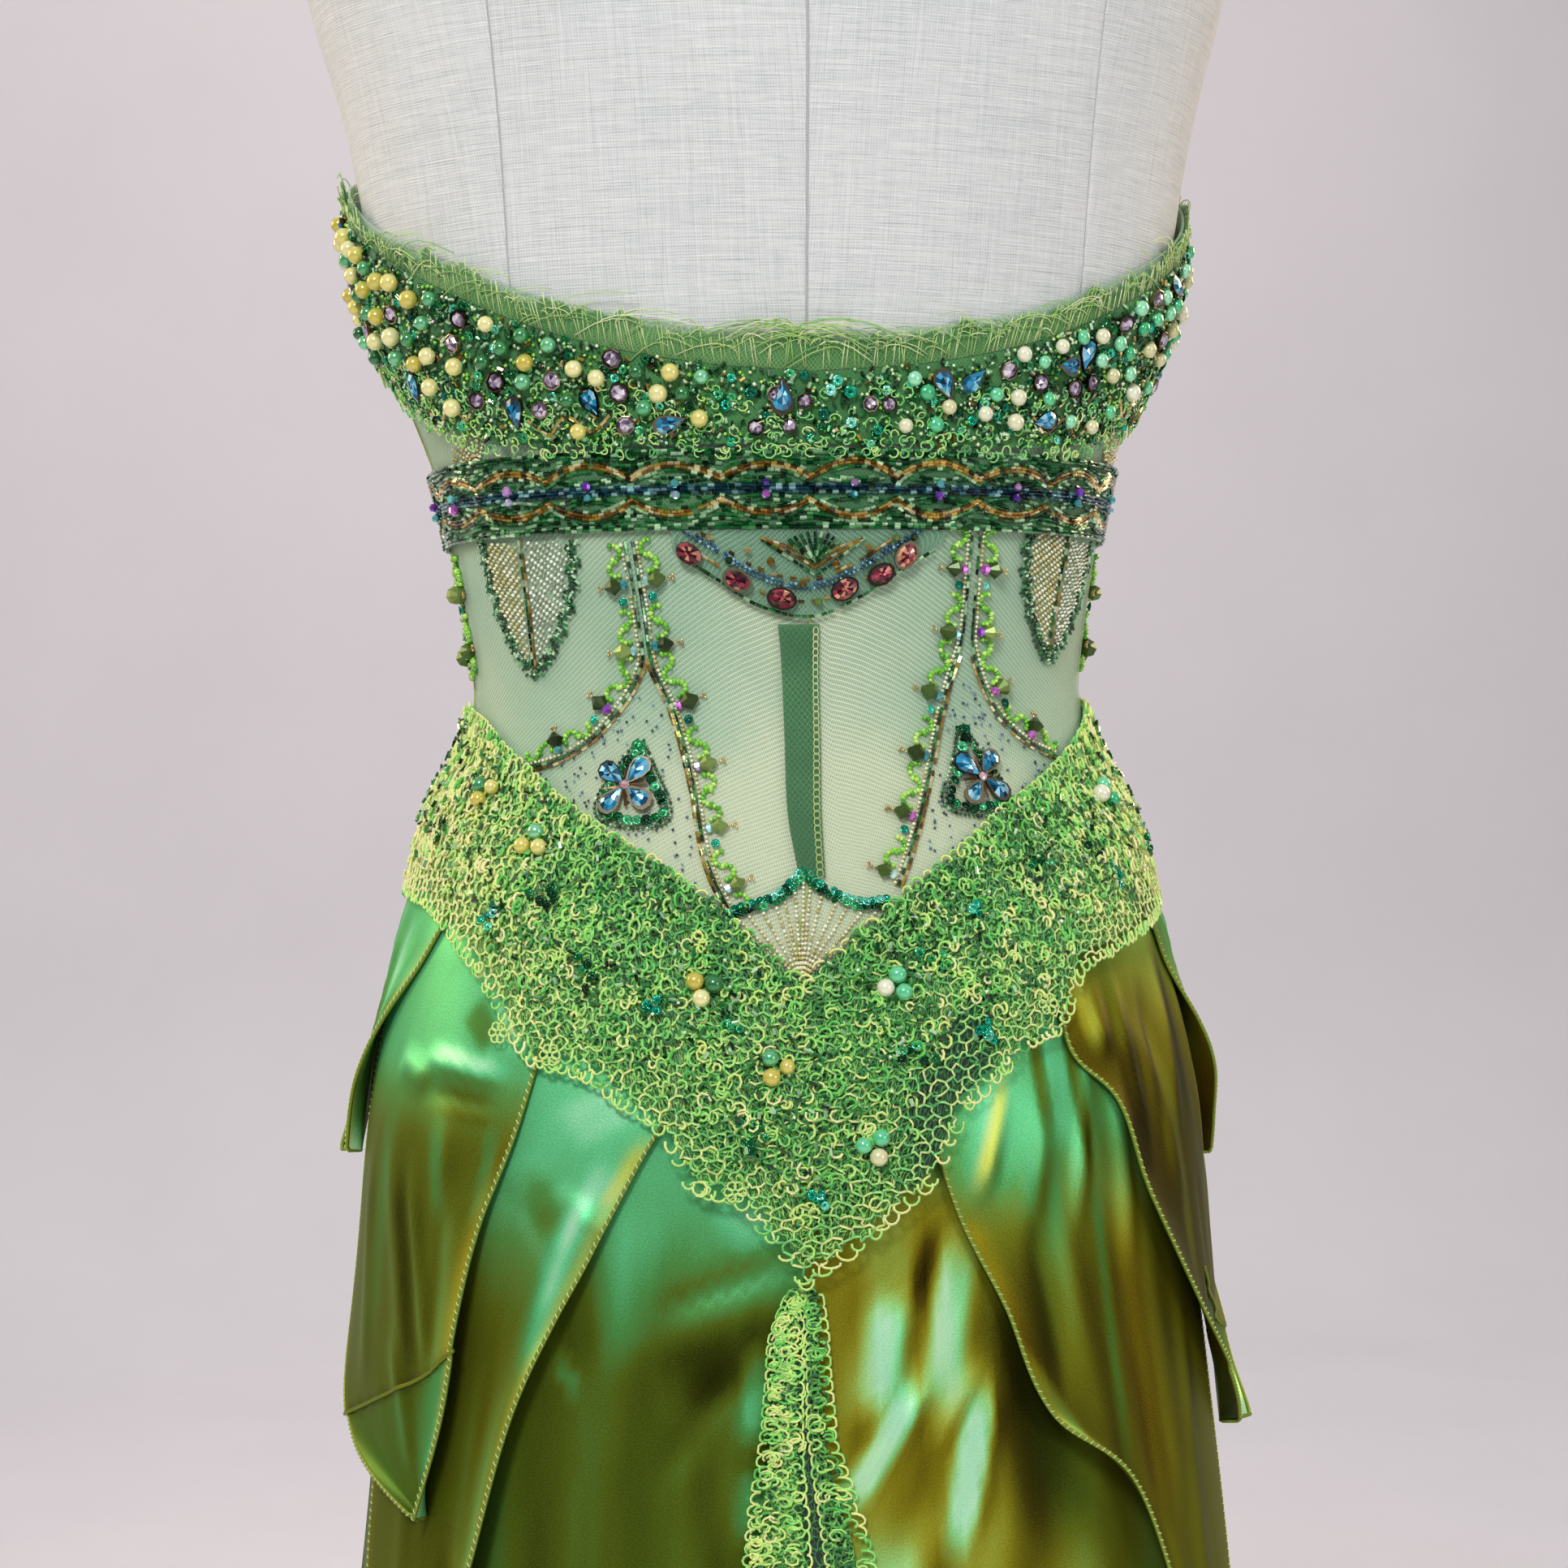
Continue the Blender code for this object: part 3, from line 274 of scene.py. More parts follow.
class Figure:
    """The general figure that the dress is cut for, and the skirt's eased surface over it."""

    bust_from_front = 36.0
    bust_height = 1.212
    bust_depth = 0.031
    bust_spread_angle = 24.0
    bust_spread_height = 0.057
    bust_centre_dip = 0.12

    def surface(self, angle: np.ndarray, height: np.ndarray, eased: bool = False) -> np.ndarray:
        """Points of the figure's surface, or of the skirt's.

        Args:
            angle: Degrees from the centre back.
            height: Metres over the floor.
            eased: Whether the skirt's ease is added.

        Returns:
            The points.
        """
        angle, height = np.broadcast_arrays(np.asarray(angle, float), np.asarray(height, float))
        level = np.maximum(height, HIP_HEIGHT) if eased else height
        half_width, back, front = (read_smooth(SECTIONS, level, c) for c in (1, 2, 3))
        if eased:
            half_width = half_width + read_smooth(EASES, height, 1)
            back = back + read_smooth(EASES, height, 2)
            front = front + read_smooth(EASES, height, 3)
        turn = np.radians(angle)
        across = np.copysign(np.abs(np.sin(turn)) ** SQUARENESS, np.sin(turn))
        along = np.copysign(np.abs(np.cos(turn)) ** SQUARENESS, np.cos(turn))
        y = np.where(along > 0, -back * along, -front * along)
        from_front = 180.0 - np.abs(wrapped(angle))
        inner = 1.0 - self.bust_centre_dip * ramp(self.bust_from_front, 0.0, from_front)
        outer = np.exp(-(((from_front - self.bust_from_front) / self.bust_spread_angle) ** 2))
        fullness = np.where(from_front < self.bust_from_front, inner, outer)
        rise = np.exp(-(((level - self.bust_height) / self.bust_spread_height) ** 2))
        y = y + np.where(along < 0, self.bust_depth * fullness * rise, 0.0)
        return np.stack((half_width * across, y, height), axis=-1)

    def spots(
        self, angle: np.ndarray, height: np.ndarray, out: np.ndarray = 0.0, eased: bool = False
    ) -> Spots:
        """Places at a distance out from the surface, with their directions.

        Args:
            angle: Degrees from the centre back.
            height: Metres over the floor.
            out: Metres out from the surface.
            eased: Whether the skirt's ease is added.

        Returns:
            The places, in the shape of the given arrays.
        """
        around = self.surface(angle + 0.5, height, eased) - self.surface(angle - 0.5, height, eased)
        rise = self.surface(angle, height + 0.002, eased) - self.surface(angle, height - 0.002, eased)
        normal = unit(np.cross(around, rise))
        along = unit(around)
        points = self.surface(angle, height, eased)
        points = points + normal * np.broadcast_to(np.asarray(out, float), points.shape[:-1])[..., None]
        return Spots(points, along, np.cross(normal, along), normal)


FIGURE = Figure()


class Tape:
    """A tape measure round the figure at one height, from the centre front round to itself."""

    def __init__(self, height: float) -> None:
        """Lays the tape.

        Args:
            height: The height of the tape.
        """
        self.angles = np.linspace(-180.0, 180.0, 721)
        points = FIGURE.surface(self.angles, np.full(721, height))
        steps = np.linalg.norm(np.diff(points, axis=0), axis=1)
        self.lengths = np.concatenate(([0.0], np.cumsum(steps)))
        self.lengths -= self.lengths[360]
        self.girth = self.lengths[-1] - self.lengths[0]

    def angle(self, length: np.ndarray) -> np.ndarray:
        """The angle at a length along the tape from the centre back."""
        half = self.girth / 2
        return np.interp((np.asarray(length) + half) % self.girth - half, self.lengths, self.angles)

    def length(self, angle: np.ndarray) -> np.ndarray:
        """The length along the tape at an angle."""
        return np.interp(wrapped(angle), self.angles, self.lengths)


def mirrored(angle: np.ndarray) -> np.ndarray:
    """Folds front angles onto the back, for edge lines that are alike on both."""
    angle = wrapped(angle)
    return np.where(angle > 90.0, 180.0 - angle, np.where(angle < -90.0, -180.0 - angle, angle))


def top_edge(angle: np.ndarray) -> np.ndarray:
    """The height of the dress's top edge."""
    return read_smooth(TOP_EDGE, np.abs(wrapped(angle)), 1)


def edging_low(angle: np.ndarray) -> np.ndarray:
    """The height of the net edging's lower edge."""
    return top_edge(angle) - read_smooth(EDGING_DROP, np.abs(wrapped(angle)), 1)


def border_low(angle: np.ndarray) -> np.ndarray:
    """The height of the bead border's lower edge."""
    return read_smooth(BORDER_LOW, np.abs(wrapped(angle)), 1)


def yoke_top(angle: np.ndarray) -> np.ndarray:
    """The height of the lace yoke's upper edge."""
    return read_straight(YOKE_TOP, mirrored(angle))


def yoke_low(angle: np.ndarray) -> np.ndarray:
    """The height of the lace yoke's lower edge."""
    return read_straight(YOKE_LOW, mirrored(angle))


def towards_back(angle: np.ndarray) -> np.ndarray:
    """How near a place is to the centre back: 1 there and 0 from the side seams on."""
    return np.maximum(1.0 - np.abs(wrapped(angle)) / SIDE_SEAM, 0.0)


def drifted(angle: np.ndarray, height: np.ndarray) -> np.ndarray:
    """Moves a panel's angle with the centre back seam, which drifts left below the waist."""
    return angle + CENTRE_DRIFT * ramp(0.99, 0.94, height) * towards_back(angle)


def waist_seam(angle: np.ndarray) -> np.ndarray:
    """The height of the seam between bodice and skirt, under the yoke."""
    return yoke_top(angle + CENTRE_DRIFT * towards_back(angle)) - YOKE_OVERLAP


def fold_out(angle: np.ndarray, height: np.ndarray) -> np.ndarray:
    """How far the skirt's soft ridges stand out at a place.

    Args:
        angle: Angles.
        height: Heights over the floor.

    Returns:
        Metres out at each place.
    """
    total = np.zeros(np.broadcast(angle, height).shape)
    for at, half_width, depth, start in FOLDS:
        away = wrapped(angle - at) / half_width
        growth = np.maximum(start - height, 0.0) / (start - HEM_HEIGHT)
        total = total + depth * growth**FOLD_GROWTH * np.exp(-away * away)
    return total


def fold_envelope(height: np.ndarray) -> np.ndarray:
    """The most that a ridge stands out at a height, which the petals clear."""
    highest = FOLDS[:, 3].max()
    return FOLD_MOST * (np.maximum(highest - height, 0.0) / (highest - HEM_HEIGHT)) ** FOLD_GROWTH


def front_lift(angle: np.ndarray) -> np.ndarray:
    """How much further out the trimmings lie over the front than over the back."""
    return FRONT_LIFT * ramp(88.0, 96.0, np.abs(wrapped(angle)))


def yoke_inside(angle: np.ndarray, height: np.ndarray) -> np.ndarray:
    """How far out the lace yoke's inner face lies, further where it covers the petals."""
    low, top = yoke_low(angle), yoke_top(angle)
    down = 1.0 - (height - low) / (top - low)
    return YOKE_INSIDE_TOP + (YOKE_INSIDE_LOW - YOKE_INSIDE_TOP) * ramp(0.12, 0.62, down)


# Colours and materials


def linear(hex_colour: str) -> tuple[float, float, float, float]:
    """Turns an sRGB hex colour to linear values.

    Args:
        hex_colour: Six hex digits after a hash.

    Returns:
        Red, green, blue and an alpha of 1.
    """
    parts = [int(hex_colour[i:i + 2], 16) / 255 for i in (1, 3, 5)]
    turned = [c / 12.92 if c <= 0.04045 else ((c + 0.055) / 1.055) ** 2.4 for c in parts]
    return (*turned, 1.0)


Socket = bpy.types.NodeSocket


def add_node(
    tree: bpy.types.NodeTree, kind: str, inputs: object = (), output: object = 0, **settings: object
) -> Socket:
    """Adds one shader node with its settings, and with links or values at its inputs.

    Args:
        tree: The material's node tree.
        kind: The node's type, without its first part.
        inputs: Sockets to link or values to set, in order or by name.
        output: The output that is wanted, by number or name.
        settings: Properties of the node. "colours" fills a ramp with evenly spaced sRGB hex colours.

    Returns:
        The wanted output socket.
    """
    node = tree.nodes.new(f"ShaderNode{kind}")
    colours = settings.pop("colours", ())
    for key, value in settings.items():
        setattr(node, key, value)
    for index, colour in enumerate(colours):
        position = index / (len(colours) - 1)
        elements = node.color_ramp.elements
        element = elements[index] if index < 2 else elements.new(position)
        element.position, element.color = position, linear(colour)
    for key, value in inputs.items() if isinstance(inputs, dict) else enumerate(inputs):
        if isinstance(value, Socket):
            tree.links.new(value, node.inputs[key])
        else:
            node.inputs[key].default_value = value
    return node.outputs[output]


def blended(tree: bpy.types.NodeTree, start: float, *parts: tuple[Socket, float]) -> Socket:
    """Adds up sockets by their weights.

    Args:
        tree: The material's node tree.
        start: The number that the sum starts from.
        parts: Sockets with their weights.

    Returns:
        The sum's socket.
    """
    total = start
    for socket, weight in parts:
        total = add_node(tree, "Math", (socket, weight, total), operation="MULTIPLY_ADD")
    return total


def threads(tree: bpy.types.NodeTree, across: tuple[float, float], pitch_mm: float) -> Socket:
    """Evenly spaced threads of a cloth, from the places that it carries.

    Args:
        tree: The material's node tree.
        across: The direction from thread to thread, along and up the cloth.
        pitch_mm: The distance from thread to thread.

    Returns:
        A socket that is 1 on a thread's middle and 0 between two threads.
    """
    place = add_node(tree, "Attribute", output="Vector", attribute_name="cloth")
    way = add_node(tree, "VectorMath", (place, (*across, 0.0)), "Value", operation="DOT_PRODUCT")
    return add_node(
        tree, "Math", (add_node(tree, "Math", (way, 2.0 / pitch_mm), operation="MULTIPLY"), 1.0),
        operation="PINGPONG"
    )


def patches(
    tree: bpy.types.NodeTree, size_mm: tuple[float, float], detail: float = 2.0, cloth: bool = True,
    twist: float = 0.0
) -> Socket:
    """Soft uneven patches of a size.

    Args:
        tree: The material's node tree.
        size_mm: Their size along and up the cloth, or level and upright in space.
        detail: How many finer layers they have.
        cloth: Whether they lie in the cloth's own places and not in space.
        twist: How far they are pulled out of line.

    Returns:
        A socket with values round 0.5.
    """
    if cloth:
        place = add_node(tree, "Attribute", output="Vector", attribute_name="cloth")
        scale = (1.0 / size_mm[0], 1.0 / size_mm[1], 1.0)
    else:
        place = add_node(tree, "TexCoord", output="Object")
        scale = (1.0 / size_mm[0] / MM, 1.0 / size_mm[0] / MM, 1.0 / size_mm[1] / MM)
    place = add_node(tree, "VectorMath", (place, scale), operation="MULTIPLY")
    return add_node(tree, "TexNoise", {"Vector": place, "Scale": 1.0, "Detail": detail, "Distortion": twist})


SOFT = (("Sheen Weight", 0.3), ("Sheen Roughness", 0.5))
LACQUERED = (("Coat Weight", 0.8), ("Coat Roughness", 0.04))
SATIN_GLOSS = (("Anisotropic", 0.4), ("Specular IOR Level", 0.18), ("Specular Tint", "#b4d45c"))
DIELECTRIC_IOR = 1.5


@dataclass(frozen=True)
class Finish:
    """What every finish shares: its name, its colours, and its shader's constant values."""

    name: str
    colours: tuple
    roughness: float = 0.5
    metallic: float = 0.0
    relief_mm: float = 0.0
    constants: tuple = ()

    def pattern(self, tree: bpy.types.NodeTree) -> tuple[Socket, Optional[Socket]]:
        """The value that picks the colour, here the tone that each part carries, and the relief's height."""
        return add_node(tree, "Attribute", output="Fac", attribute_name="tone"), None

    def refine(
        self, tree: bpy.types.NodeTree, shader: bpy.types.Node, value: Socket, height: Optional[Socket]
    ) -> None:
        """Adds what only this finish has, once its colour is joined."""

    def material(self) -> bpy.types.Material:
        """Makes the material once, with its colour, relief and constants.

        Returns:
            The material.
        """
        if self.name in bpy.data.materials:
            return bpy.data.materials[self.name]
        material = bpy.data.materials.new(self.name)
        material.use_nodes = True
        tree = material.node_tree
        shader = tree.nodes["Principled BSDF"]
        fixed = {"Roughness": self.roughness, "Metallic": self.metallic, **dict(self.constants)}
        if not self.metallic:
            fixed["IOR"] = DIELECTRIC_IOR
        for key, value in fixed.items():
            shader.inputs[key].default_value = linear(value) if isinstance(value, str) else value
        value, height = self.pattern(tree)
        if height is not None:
            relief = add_node(
                tree, "Bump", {"Height": height, "Strength": 1.0, "Distance": self.relief_mm * MM}
            )
            tree.links.new(relief, shader.inputs["Normal"])
        tree.links.new(
            add_node(tree, "ValToRGB", (value,), colours=self.colours), shader.inputs["Base Color"]
        )
        self.refine(tree, shader, value, height)
        return material


@dataclass(frozen=True)
class SlubLinen(Finish):
    """Undyed linen, plainly woven from uneven yarn: the eye sees a fine grid with thick slubs in it."""

    constants: tuple = SOFT
    yarn_mm: float = 1.05  # drawn at nearly twice the real spacing, so that the render shows it

    def pattern(self, tree: bpy.types.NodeTree) -> tuple[Socket, Optional[Socket]]:
        """Weaves warp and weft, with slubs in both directions.

        Args:
            tree: The material's node tree.

        Returns:
            The value that picks the colour, and the height of the relief.
        """
        warp, weft = (threads(tree, way, self.yarn_mm) for way in ((1.0, 0.0), (0.0, 1.0)))
        slubs, warp_slubs = (patches(tree, size, 3.0, twist=1.3) for size in ((24.0, 0.65), (0.65, 31.0)))
        cloudy = patches(tree, (90.0, 70.0))
        woven = blended(
            tree, -0.30, (warp, 0.13), (weft, 0.15), (slubs, 0.72), (warp_slubs, 0.50), (cloudy, 0.10)
        )
        return woven, woven


@dataclass(frozen=True)
class SheerNet(Finish):
    """Fine net: slanting threads with light between them, so that what lies below shows through."""

    constants: tuple = SOFT
    pitch_mm: float = 1.25  # coarser than the real 0.9 mm mesh, so that the slant of the threads shows
    cover: float = 0.4  # the share of what lies below that the space between the threads hides

    def pattern(self, tree: bpy.types.NodeTree) -> tuple[Socket, Optional[Socket]]:
        """Crosses two sets of slanting threads.

        Args:
            tree: The material's node tree.

        Returns:
            The value that picks the colour, and the height of the relief.
        """
        first, second = (threads(tree, (0.78, way), self.pitch_mm) for way in (0.62, -0.62))
        crossed = add_node(tree, "Math", (first, second), operation="MAXIMUM")
        mask = add_node(tree, "Math", (crossed, 3.0), operation="POWER")
        uneven = patches(tree, (60.0, 40.0))
        paler = add_node(tree, "Attribute", output="Fac", attribute_name="tone")
        return blended(tree, 0.02, (mask, 0.24), (uneven, 0.75), (paler, 1.0)), mask

    def refine(
        self, tree: bpy.types.NodeTree, shader: bpy.types.Node, value: Socket, height: Optional[Socket]
    ) -> None:
        """Opens the space between the threads."""
        if self.cover < 1.0:
            tree.links.new(
                blended(tree, self.cover, (height, 0.7 * (1.0 - self.cover))), shader.inputs["Alpha"]
            )


@dataclass(frozen=True)
class CellLace(Finish):
    """Cotton lace in uneven looped cells: pale raised cords, darker gaps that are partly the lace's own green
    ground and partly painted shade below the cords, and holes where it is open.
    """

    constants: tuple = SOFT
    cell_mm: float = 3.3

    def pattern(self, tree: bpy.types.NodeTree) -> tuple[Socket, Optional[Socket]]:
        """Lays a coarse and a fine net of bent cells over each other.

        Args:
            tree: The material's node tree.

        Returns:
            The value that picks the colour, and the height of the relief.
        """
        nets = []
        for size, most in ((self.cell_mm, 0.19), (self.cell_mm * 0.6, 0.26)):
            cloth = add_node(tree, "Attribute", output="Vector", attribute_name="cloth")
            place = add_node(tree, "VectorMath", (cloth, (1 / size, 1 / size, 0.0)), operation="MULTIPLY")
            wobble = add_node(tree, "TexNoise", {"Vector": place, "Scale": 1.1, "Detail": 1.0}, "Color")
            bent = add_node(tree, "VectorMath", (wobble, (1.1, 1.1, 0.0), place), operation="MULTIPLY_ADD")
            away = add_node(
                tree, "TexVoronoi", {"Vector": bent, "Scale": 1.0}, "Distance",
                voronoi_dimensions="2D", feature="DISTANCE_TO_EDGE",
            )
            nets.append(add_node(tree, "MapRange", {0: away, 1: most, 2: 0.04, 3: 0.0, 4: 1.0}))
        fine = add_node(tree, "Math", (nets[1], 0.62), operation="MULTIPLY")
        cords = add_node(tree, "Math", (nets[0], fine), operation="MAXIMUM")
        tone = add_node(tree, "Attribute", output="Fac", attribute_name="tone")
        uneven = patches(tree, (9.0, 7.0))
        # Between the cords the value falls to the ramp's near-black greens: painted shade in the gaps
        return blended(tree, -0.27, (cords, 0.62), (tone, 0.45), (uneven, 0.35)), cords

    def refine(
        self, tree: bpy.types.NodeTree, shader: bpy.types.Node, value: Socket, height: Optional[Socket]
    ) -> None:
        """Cuts the cells' holes where the lace is open.

        Args:
            tree: The material's node tree.
            shader: Its shader.
            value: The value that picks the colour; it is not used here.
            height: The height of the relief.
        """
        gap = add_node(tree, "Math", (height, 0.3, -1.0), operation="MULTIPLY_ADD")
        gap = add_node(tree, "Math", (gap, height), operation="ADD")
        opened = add_node(tree, "Attribute", output="Fac", attribute_name="open")
        cut = add_node(tree, "Math", (opened, gap, 1.0), operation="MULTIPLY_ADD", use_clamp=True)
        tree.links.new(cut, shader.inputs["Alpha"])


@dataclass(frozen=True)
class ShotSatin(Finish):
    """Satin woven with warp and weft of unlike colours: broad soft gloss, and a colour from olive to mint
    that holds painted highlights and painted shade.
    """

    constants: tuple = SATIN_GLOSS
    gilt: tuple = ()
    float_mm: float = 0.9  # the float of the yarns, drawn coarser than the real 0.3 mm

    def pattern(self, tree: bpy.types.NodeTree) -> tuple[Socket, Optional[Socket]]:
        """Picks the colour from the tone that each piece carries, painted highlights and painted shade from
        how the cloth lies, with soft patches and a fine grain.

        Args:
            tree: The material's node tree.

        Returns:
            The value that picks the colour, and the height of the relief.
        """
        grain = patches(tree, (self.float_mm, self.float_mm / 1.6))
        soft = patches(tree, (14.0, 46.0))
        tone = add_node(tree, "Attribute", output="Fac", attribute_name="tone")
        return blended(tree, -0.17, (tone, 1.0), (soft, 0.10), (grain, 0.24)), grain

    def refine(
        self, tree: bpy.types.NodeTree, shader: bpy.types.Node, value: Socket, height: Optional[Socket]
    ) -> None:
        """Mixes the gold in: partly the golden yarn's own colour, partly a painted warm glint where the cloth
        curls or turns to the light.

        Args:
            tree: The material's node tree.
            shader: Its shader.
            value: The value that picks the colour.
            height: The height of the relief; it is not used here.
        """
        green = shader.inputs["Base Color"].links[0].from_socket
        golden = add_node(tree, "ValToRGB", (value,), colours=self.gilt)
        # The gold share: partly the golden yarn, partly a painted warm glint
        share = add_node(tree, "Attribute", output="Fac", attribute_name="gilt")
        mixed = add_node(tree, "Mix", {0: share, 6: green, 7: golden}, 2, data_type="RGBA")
        tree.links.new(mixed, shader.inputs["Base Color"])


@dataclass(frozen=True)
class Yarn(Finish):
    """Twisted cotton or silk thread: matt, with a soft fuzz and a colour that differs from cord to cord, as
    dyed yarn does.
    """

    constants: tuple = SOFT
    twist_mm: float = 0.8  # drawn coarser than the real twist

    def pattern(self, tree: bpy.types.NodeTree) -> tuple[Socket, Optional[Socket]]:
        """Dyes each cord by its tone and adds the twist."""
        twist = patches(tree, (self.twist_mm, self.twist_mm), cloth=False)
        tone = add_node(tree, "Attribute", output="Fac", attribute_name="tone")
        return blended(tree, -0.17, (tone, 1.0), (twist, 0.35)), twist


@dataclass(frozen=True)
class Bead(Finish):
    """Pressed or cut glass, lacquer or foil beads: small bright highlights, and no two quite alike."""

    constants: tuple = LACQUERED

    def refine(
        self, tree: bpy.types.NodeTree, shader: bpy.types.Node, value: Socket, height: Optional[Socket]
    ) -> None:
        """Makes the gloss a little uneven."""
        speck = patches(tree, (1.1, 1.1), 1.0, cloth=False)
        tree.links.new(blended(tree, self.roughness - 0.06, (speck, 0.12)), shader.inputs["Roughness"])


@dataclass(frozen=True)
class Grained(Finish):
    """A hard finish with a grain of its own: lacquered beech, sprayed steel, or matt paper."""

    grain_mm: tuple = (2.0, 16.0)

    def pattern(self, tree: bpy.types.NodeTree) -> tuple[Socket, Optional[Socket]]:
        """Runs the grain upright."""
        grain = patches(tree, self.grain_mm, 3.0, cloth=False)
        return grain, grain


LINEN = SlubLinen("slub_linen", ("#8b9091", "#babebe", "#d8dad9", "#eaeae8", "#f8f8f4"), 0.92, relief_mm=0.40)
NET = SheerNet("sea_green_silk_net", ("#7fb894", "#b8dcb8", "#e6f2cc"), 0.7, relief_mm=0.12, cover=0.24)
EDGING_NET = SheerNet(
    "doubled_green_net", ("#246430", "#5da054", "#c8e49c"), 0.75, relief_mm=0.15, cover=0.38
)
BORDER_NET = SheerNet("border_ground_net", ("#1d4d26", "#3b7d40", "#79b46a"), 0.8, relief_mm=0.15, cover=1.0)
BAND_NET = SheerNet("band_ground_net", ("#1e4628", "#427a4c", "#84b47c"), 0.8, relief_mm=0.15, cover=0.8)
SWAG_NET = SheerNet("swag_net", ("#4f8a6a", "#7fb292", "#b2d4b0"), 0.75, relief_mm=0.15, cover=0.2)
PLACKET_NET = SheerNet(
    "doubled_dark_net", ("#12422a", "#357a48", "#80b87c"), 0.75, relief_mm=0.15, pitch_mm=1.6, cover=0.40
)
# The darkest stops are painted shade: the gaps between the cords, the holes of the bare mesh and the tail's
# slit
LACE_GROUND = CellLace(
    "cell_lace", ("#0a2a12", "#1e6e32", "#4fac4c", "#96d25c", "#d2e876", "#f2f090"), 0.8, relief_mm=0.55,
)
# From near-black olive, painted shade, through olive and green to near-white mint, painted highlight; the
# gold runs from dark brown to a pale yellow painted glint
SATIN = ShotSatin(
    "shot_satin", ("#0f1203", "#333b0c", "#566a1c", "#529a50", "#6cd694", "#bdf9d0"), 0.39, 0.42, 0.05,
    gilt=("#241903", "#57460b", "#8a7e16", "#b2ac30", "#d8e25c", "#f0faa2"),
)
LACE_CORD = Yarn("lace_cord", ("#14702c", "#5ed656", "#b4f47c", "#e8f888", "#fbf8b0"), 0.8, relief_mm=0.12)
PALE_LACE_CORD = Yarn("pale_lace_cord", ("#34a050", "#88e478", "#caf288", "#f2f6a0"), 0.8, relief_mm=0.12)
RAW_THREAD = Yarn("raw_net_thread", ("#4f9a44", "#84c064", "#c0de84", "#f2f4c4"), 0.8, relief_mm=0.05)
SEWING_THREAD = Yarn("sewing_thread", ("#7f9c44", "#b3c46c", "#e8e6ae"), 0.8, relief_mm=0.05)
BEECH = Grained("stained_beech", ("#3c2010", "#5f3a1c", "#8c5a2e"), 0.4, relief_mm=0.08, constants=LACQUERED)
STEEL = Grained("sprayed_steel", ("#131416", "#1b1c1f", "#2a2b30"), 0.42, relief_mm=0.05, grain_mm=(1.6, 1.6))
PAPER = Grained("studio_paper", ("#e4e1e5", "#e8e5e9", "#ece9ed"), 0.95, grain_mm=(300.0, 300.0))


